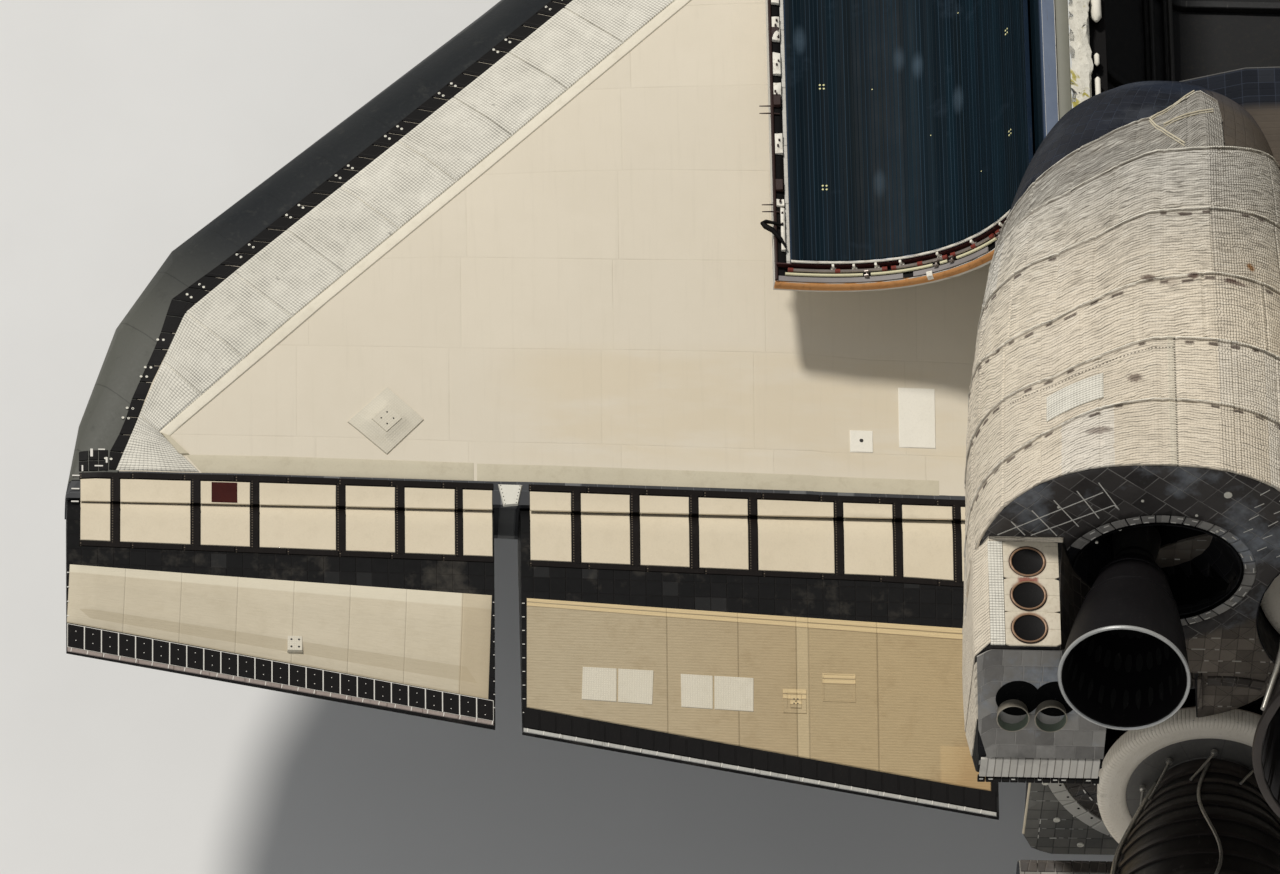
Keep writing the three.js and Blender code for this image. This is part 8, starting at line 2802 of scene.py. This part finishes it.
def gear_details():
    M = MATS
    tan, cosp = math.tan(math.radians(3.6)), math.cos(math.radians(3.6))
    floor_z = lambda x: 290 - 3073.5 / 25.4 / cosp + (1172 - x) * tan
    mz, nz = floor_z(1172) + 22.25 / cosp, floor_z(473) + 16 / cosp

    def tyre(r, w, grooves):
        p = [(r * 0.52, -w * 0.37), (r * 0.60, -w * 0.43), (r * 0.74, -w * 0.49), (r * 0.86, -w * 0.50), (r * 0.93, -w * 0.455), (r * 0.975, -w * 0.37), (r * 0.995, -w * 0.28)]
        for k in range(grooves):
            s = -w * 0.22 + w * 0.44 * k / (grooves - 1)
            p += [(r * 0.999, s - 0.5), (r * 0.999, s - 0.28), (r - 0.42, s - 0.2), (r - 0.42, s + 0.2), (r * 0.999, s + 0.28), (r * 0.999, s + 0.5)]
        p += [(a, -b) for a, b in reversed(p[:7])]
        return p

    wheels = [("port", 1), ("starboard", -1)]
    for side, s in wheels:
        for inout, k in (("outboard", 1), ("inboard", -1)):
            B, H, K = Builder(), Builder(), Builder()
            c = np.array([1172, s * (136 + k * 15.5), mz])
            B.lathe(c, (0, 1, 0), tyre(22.25, 16, 5), 120)
            out = s * k
            d = np.array([0, out, 0])
            H.lathe(c, d, [(11.7, 4.5), (11.9, 5.9), (11.3, 6.1), (10.6, 5.2), (9.8, 4.9), (9.0, 5.3)], 64)
            H.lathe(c, d, [(9.0, 4.6), (7.6, 5.0), (5.4, 5.3), (3.6, 6.2), (2.4, 6.4), (2.2, 6.9), (0.01, 7.0)], 64)
            for i in range(12):
                q = 2 * math.pi * i / 12
                H.lathe(c + np.array([7.0 * math.cos(q), 0, 7.0 * math.sin(q)]) + d * 4.9, d, [(0.55, 0), (0.55, 0.75), (0.35, 0.9), (0.01, 0.9)], 8)
            # hub holes: small near-black domes, painted shade standing in for the holes
            for i in range(6):
                q = 2 * math.pi * (i + 0.5) / 6
                K.lathe(c + np.array([9.4 * math.cos(q), 0, 9.4 * math.sin(q)]) + d * 5.0, d, [(0.9, 0), (0.8, 0.25), (0.01, 0.2)], 14)
            B.make(f"tread_{inout}_{side}", f"main_wheels_{side}", "tyre", M["tread"], 35)
            H.make(f"hub_{inout}_{side}", f"main_wheels_{side}", "gear_metal", M["alu"], 35)
            K.make(f"hub_holes_{inout}_{side}", f"main_wheels_{side}", "gear_metal", M["seal_black"], 35)
        # leg skins: chrome piston, cylinder with bands, torque links, brake lines
        y = s * 136.0
        C, L, T, Q = Builder(), Builder(), Builder(), Builder()
        C.lathe((1172, y, mz + 6.5), (0, 0, 1), [(4.3, 0), (4.32, 37)], 48)
        L.lathe((1172, y, mz + 43.6), (0, 0, 1), [(4.4, 0), (6.6, 0), (6.9, 0.8), (6.9, 3.2), (6.4, 4.0), (6.4, 20), (6.8, 20.4), (6.8, 22.4), (6.4, 22.8), (6.4, 317 - mz - 43.6)], 48)
        for k in (-1, 1):
            T.block((1179.4, y + k * 2.6, mz + 15), [(0.32, 0, 0.95), (0, 1, 0), (0.95, 0, -0.32)], (11, 0.55, 1.5), 0.3)
            T.block((1179.4, y + k * 2.6, mz + 36), [(-0.30, 0, 0.95), (0, 1, 0), (0.95, 0, 0.30)], (11, 0.55, 1.5), 0.3)
        T.lathe((1184, y - 4, mz + 25.5), (0, 1, 0), [(1.9, 0), (1.9, 8), (0.01, 8.1)], 20)
        for k in (-1, 1):
            pts = [(1172 + 5.2, y + k * 3.4, mz + 2), (1180, y + k * 5.0, mz + 12), (1188.5, y + k * 3.0, mz + 26), (1181, y + k * 4.2, mz + 42), (1177.5, y + k * 4.4, mz + 52), (1176.6, y + k * 4.6, mz + 70), (1176.4, y + k * 4.6, 315)]
            Q.tube(along_line(pts, 40), 0.42, 8)
            T.lathe((1172, y + k * 4.0, mz), (0, k, 0), [(7.6, 0), (8.0, 0.5), (8.0, 3.2), (7.2, 3.6), (4.0, 3.8)], 48)
        C.make(f"leg_piston_{side}", "airframe", "gear_metal", M["chrome"], 40)
        L.make(f"leg_cylinder_{side}", "airframe", "gear_metal", M["gear"], 40)
        T.make(f"leg_links_{side}", "airframe", "gear_metal", M["brake"], 35)
        Q.make(f"leg_hoses_{side}", "airframe", "gear_metal", M["hose"], 40)

    B, H, K = Builder(), Builder(), Builder()
    for k in (-1, 1):
        c = np.array([473, k * 9.5, nz])
        B.lathe(c, (0, 1, 0), tyre(16, 8.8, 3), 96)
        d = np.array([0, k, 0])
        H.lathe(c, d, [(8.4, 2.4), (8.6, 3.3), (8.1, 3.5), (7.5, 2.9), (6.8, 2.7)], 56)
        H.lathe(c, d, [(6.8, 2.5), (5.2, 2.8), (3.4, 3.2), (2.0, 3.6), (1.8, 4.0), (0.01, 4.1)], 56)
        for i in range(10):
            q = 2 * math.pi * i / 10
            H.lathe(c + np.array([4.6 * math.cos(q), 0, 4.6 * math.sin(q)]) + d * 2.8, d, [(0.4, 0), (0.4, 0.6), (0.01, 0.65)], 8)
    B.make("nose_treads", "nose_wheels", "tyre", M["tread"], 35)
    H.make("nose_hubs", "nose_wheels", "gear_metal", M["alu"], 35)
    C, L, T = Builder(), Builder(), Builder()
    C.lathe((473, 0, nz + 5), (0, 0, 1), [(3.2, 0), (3.22, 23.5)], 40)
    T.lathe((473, 0, nz + 28.6), (0, 0, 1), [(5.5, 0), (5.7, 0.6), (5.7, 4.6), (5.5, 5.2)], 40)
    for k in (-1, 1):
        T.block((479.2, k * 2.0, nz + 11), [(0.35, 0, 0.94), (0, 1, 0), (0.94, 0, -0.35)], (6.4, 0.4, 1.0), 0.2)
        T.block((479.6, k * 2.0, nz + 23), [(-0.32, 0, 0.95), (0, 1, 0), (0.95, 0, 0.32)], (6.4, 0.4, 1.0), 0.2)
    C.make("nose_piston", "nose_steering", "gear_metal", M["chrome"], 40)
    T.make("nose_links", "nose_steering", "gear_metal", M["brake"], 35)
    L.lathe((473, 0, nz + 34.5), (0, 0, 1), [(4.8, 0), (5.2, 0.6), (5.2, 3), (4.8, 3.6), (4.8, 18), (5.1, 18.4), (5.1, 20), (4.8, 20.4), (4.8, 307 - nz - 34.5)], 40)
    for k in (-1, 1):
        L.tube(along_line([(468, k * 3.2, nz + 38), (467.4, k * 3.4, nz + 60), (466, k * 3.4, 304)], 20), 0.35, 8)
        L.lathe((466.8, k * 6.6, nz + 44), (-1, 0, 0), [(3.2, 0), (3.6, 0.4), (3.6, 2.2), (3.3, 2.6), (3.0, 2.5), (0.01, 2.2)], 32)
    L.make("nose_cylinder", "airframe", "gear_metal", M["gear"], 40)

    # gear doors: inner frames and hinge arms, outer tiles come from the surface pattern
    for name, xa, xb, y, z1, z0, tilt, t, n in (("main", 1101, 1203, 158.8, 279, 226, 12, 2.6, 8), ("nose", 408, 497, 23.6, 282, 254, 4, 1.8, 7)):
        B, K = Builder(), Builder()
        down = unit((0, tilt, z0 - z1))
        inward = unit((0, (z0 - z1), -tilt))
        c1, c0 = np.array([0, y, z1]), np.array([0, y + tilt, z0])
        mid = (c1 + c0) / 2
        length = np.linalg.norm(c1 - c0)
        for i in range(n):
            x = xa + (xb - xa) * (i + 0.5) / n
            B.block(np.array([x, 0, 0]) + mid + inward * 0.7, [(1, 0, 0), down, inward], (0.9, length / 2 - 2.5, 0.9), 0.3)
        for f in (0.08, 0.5, 0.92):
            B.block(np.array([(xa + xb) / 2, 0, 0]) + c1 + (c0 - c1) * f + inward * 0.6, [(1, 0, 0), down, inward], ((xb - xa) / 2 - 2, 0.8, 0.8), 0.3)
        for f in (0.15, 0.85):
            x = xa + (xb - xa) * f
            K.tube(along_line([(x, y - 1.5, z1 + 4), (x, y - 2.4, z1 - 3), (x, y - 1.0, z1 - 9)], 12), 1.1, 10)
        B.pair(f"{name}_door_frames", "airframe", "gear_door_tile", M["vent_white"], 30)
        K.pair(f"{name}_door_arms", "airframe", "gear_door_tile", M["alu"], 40)


gear_details()
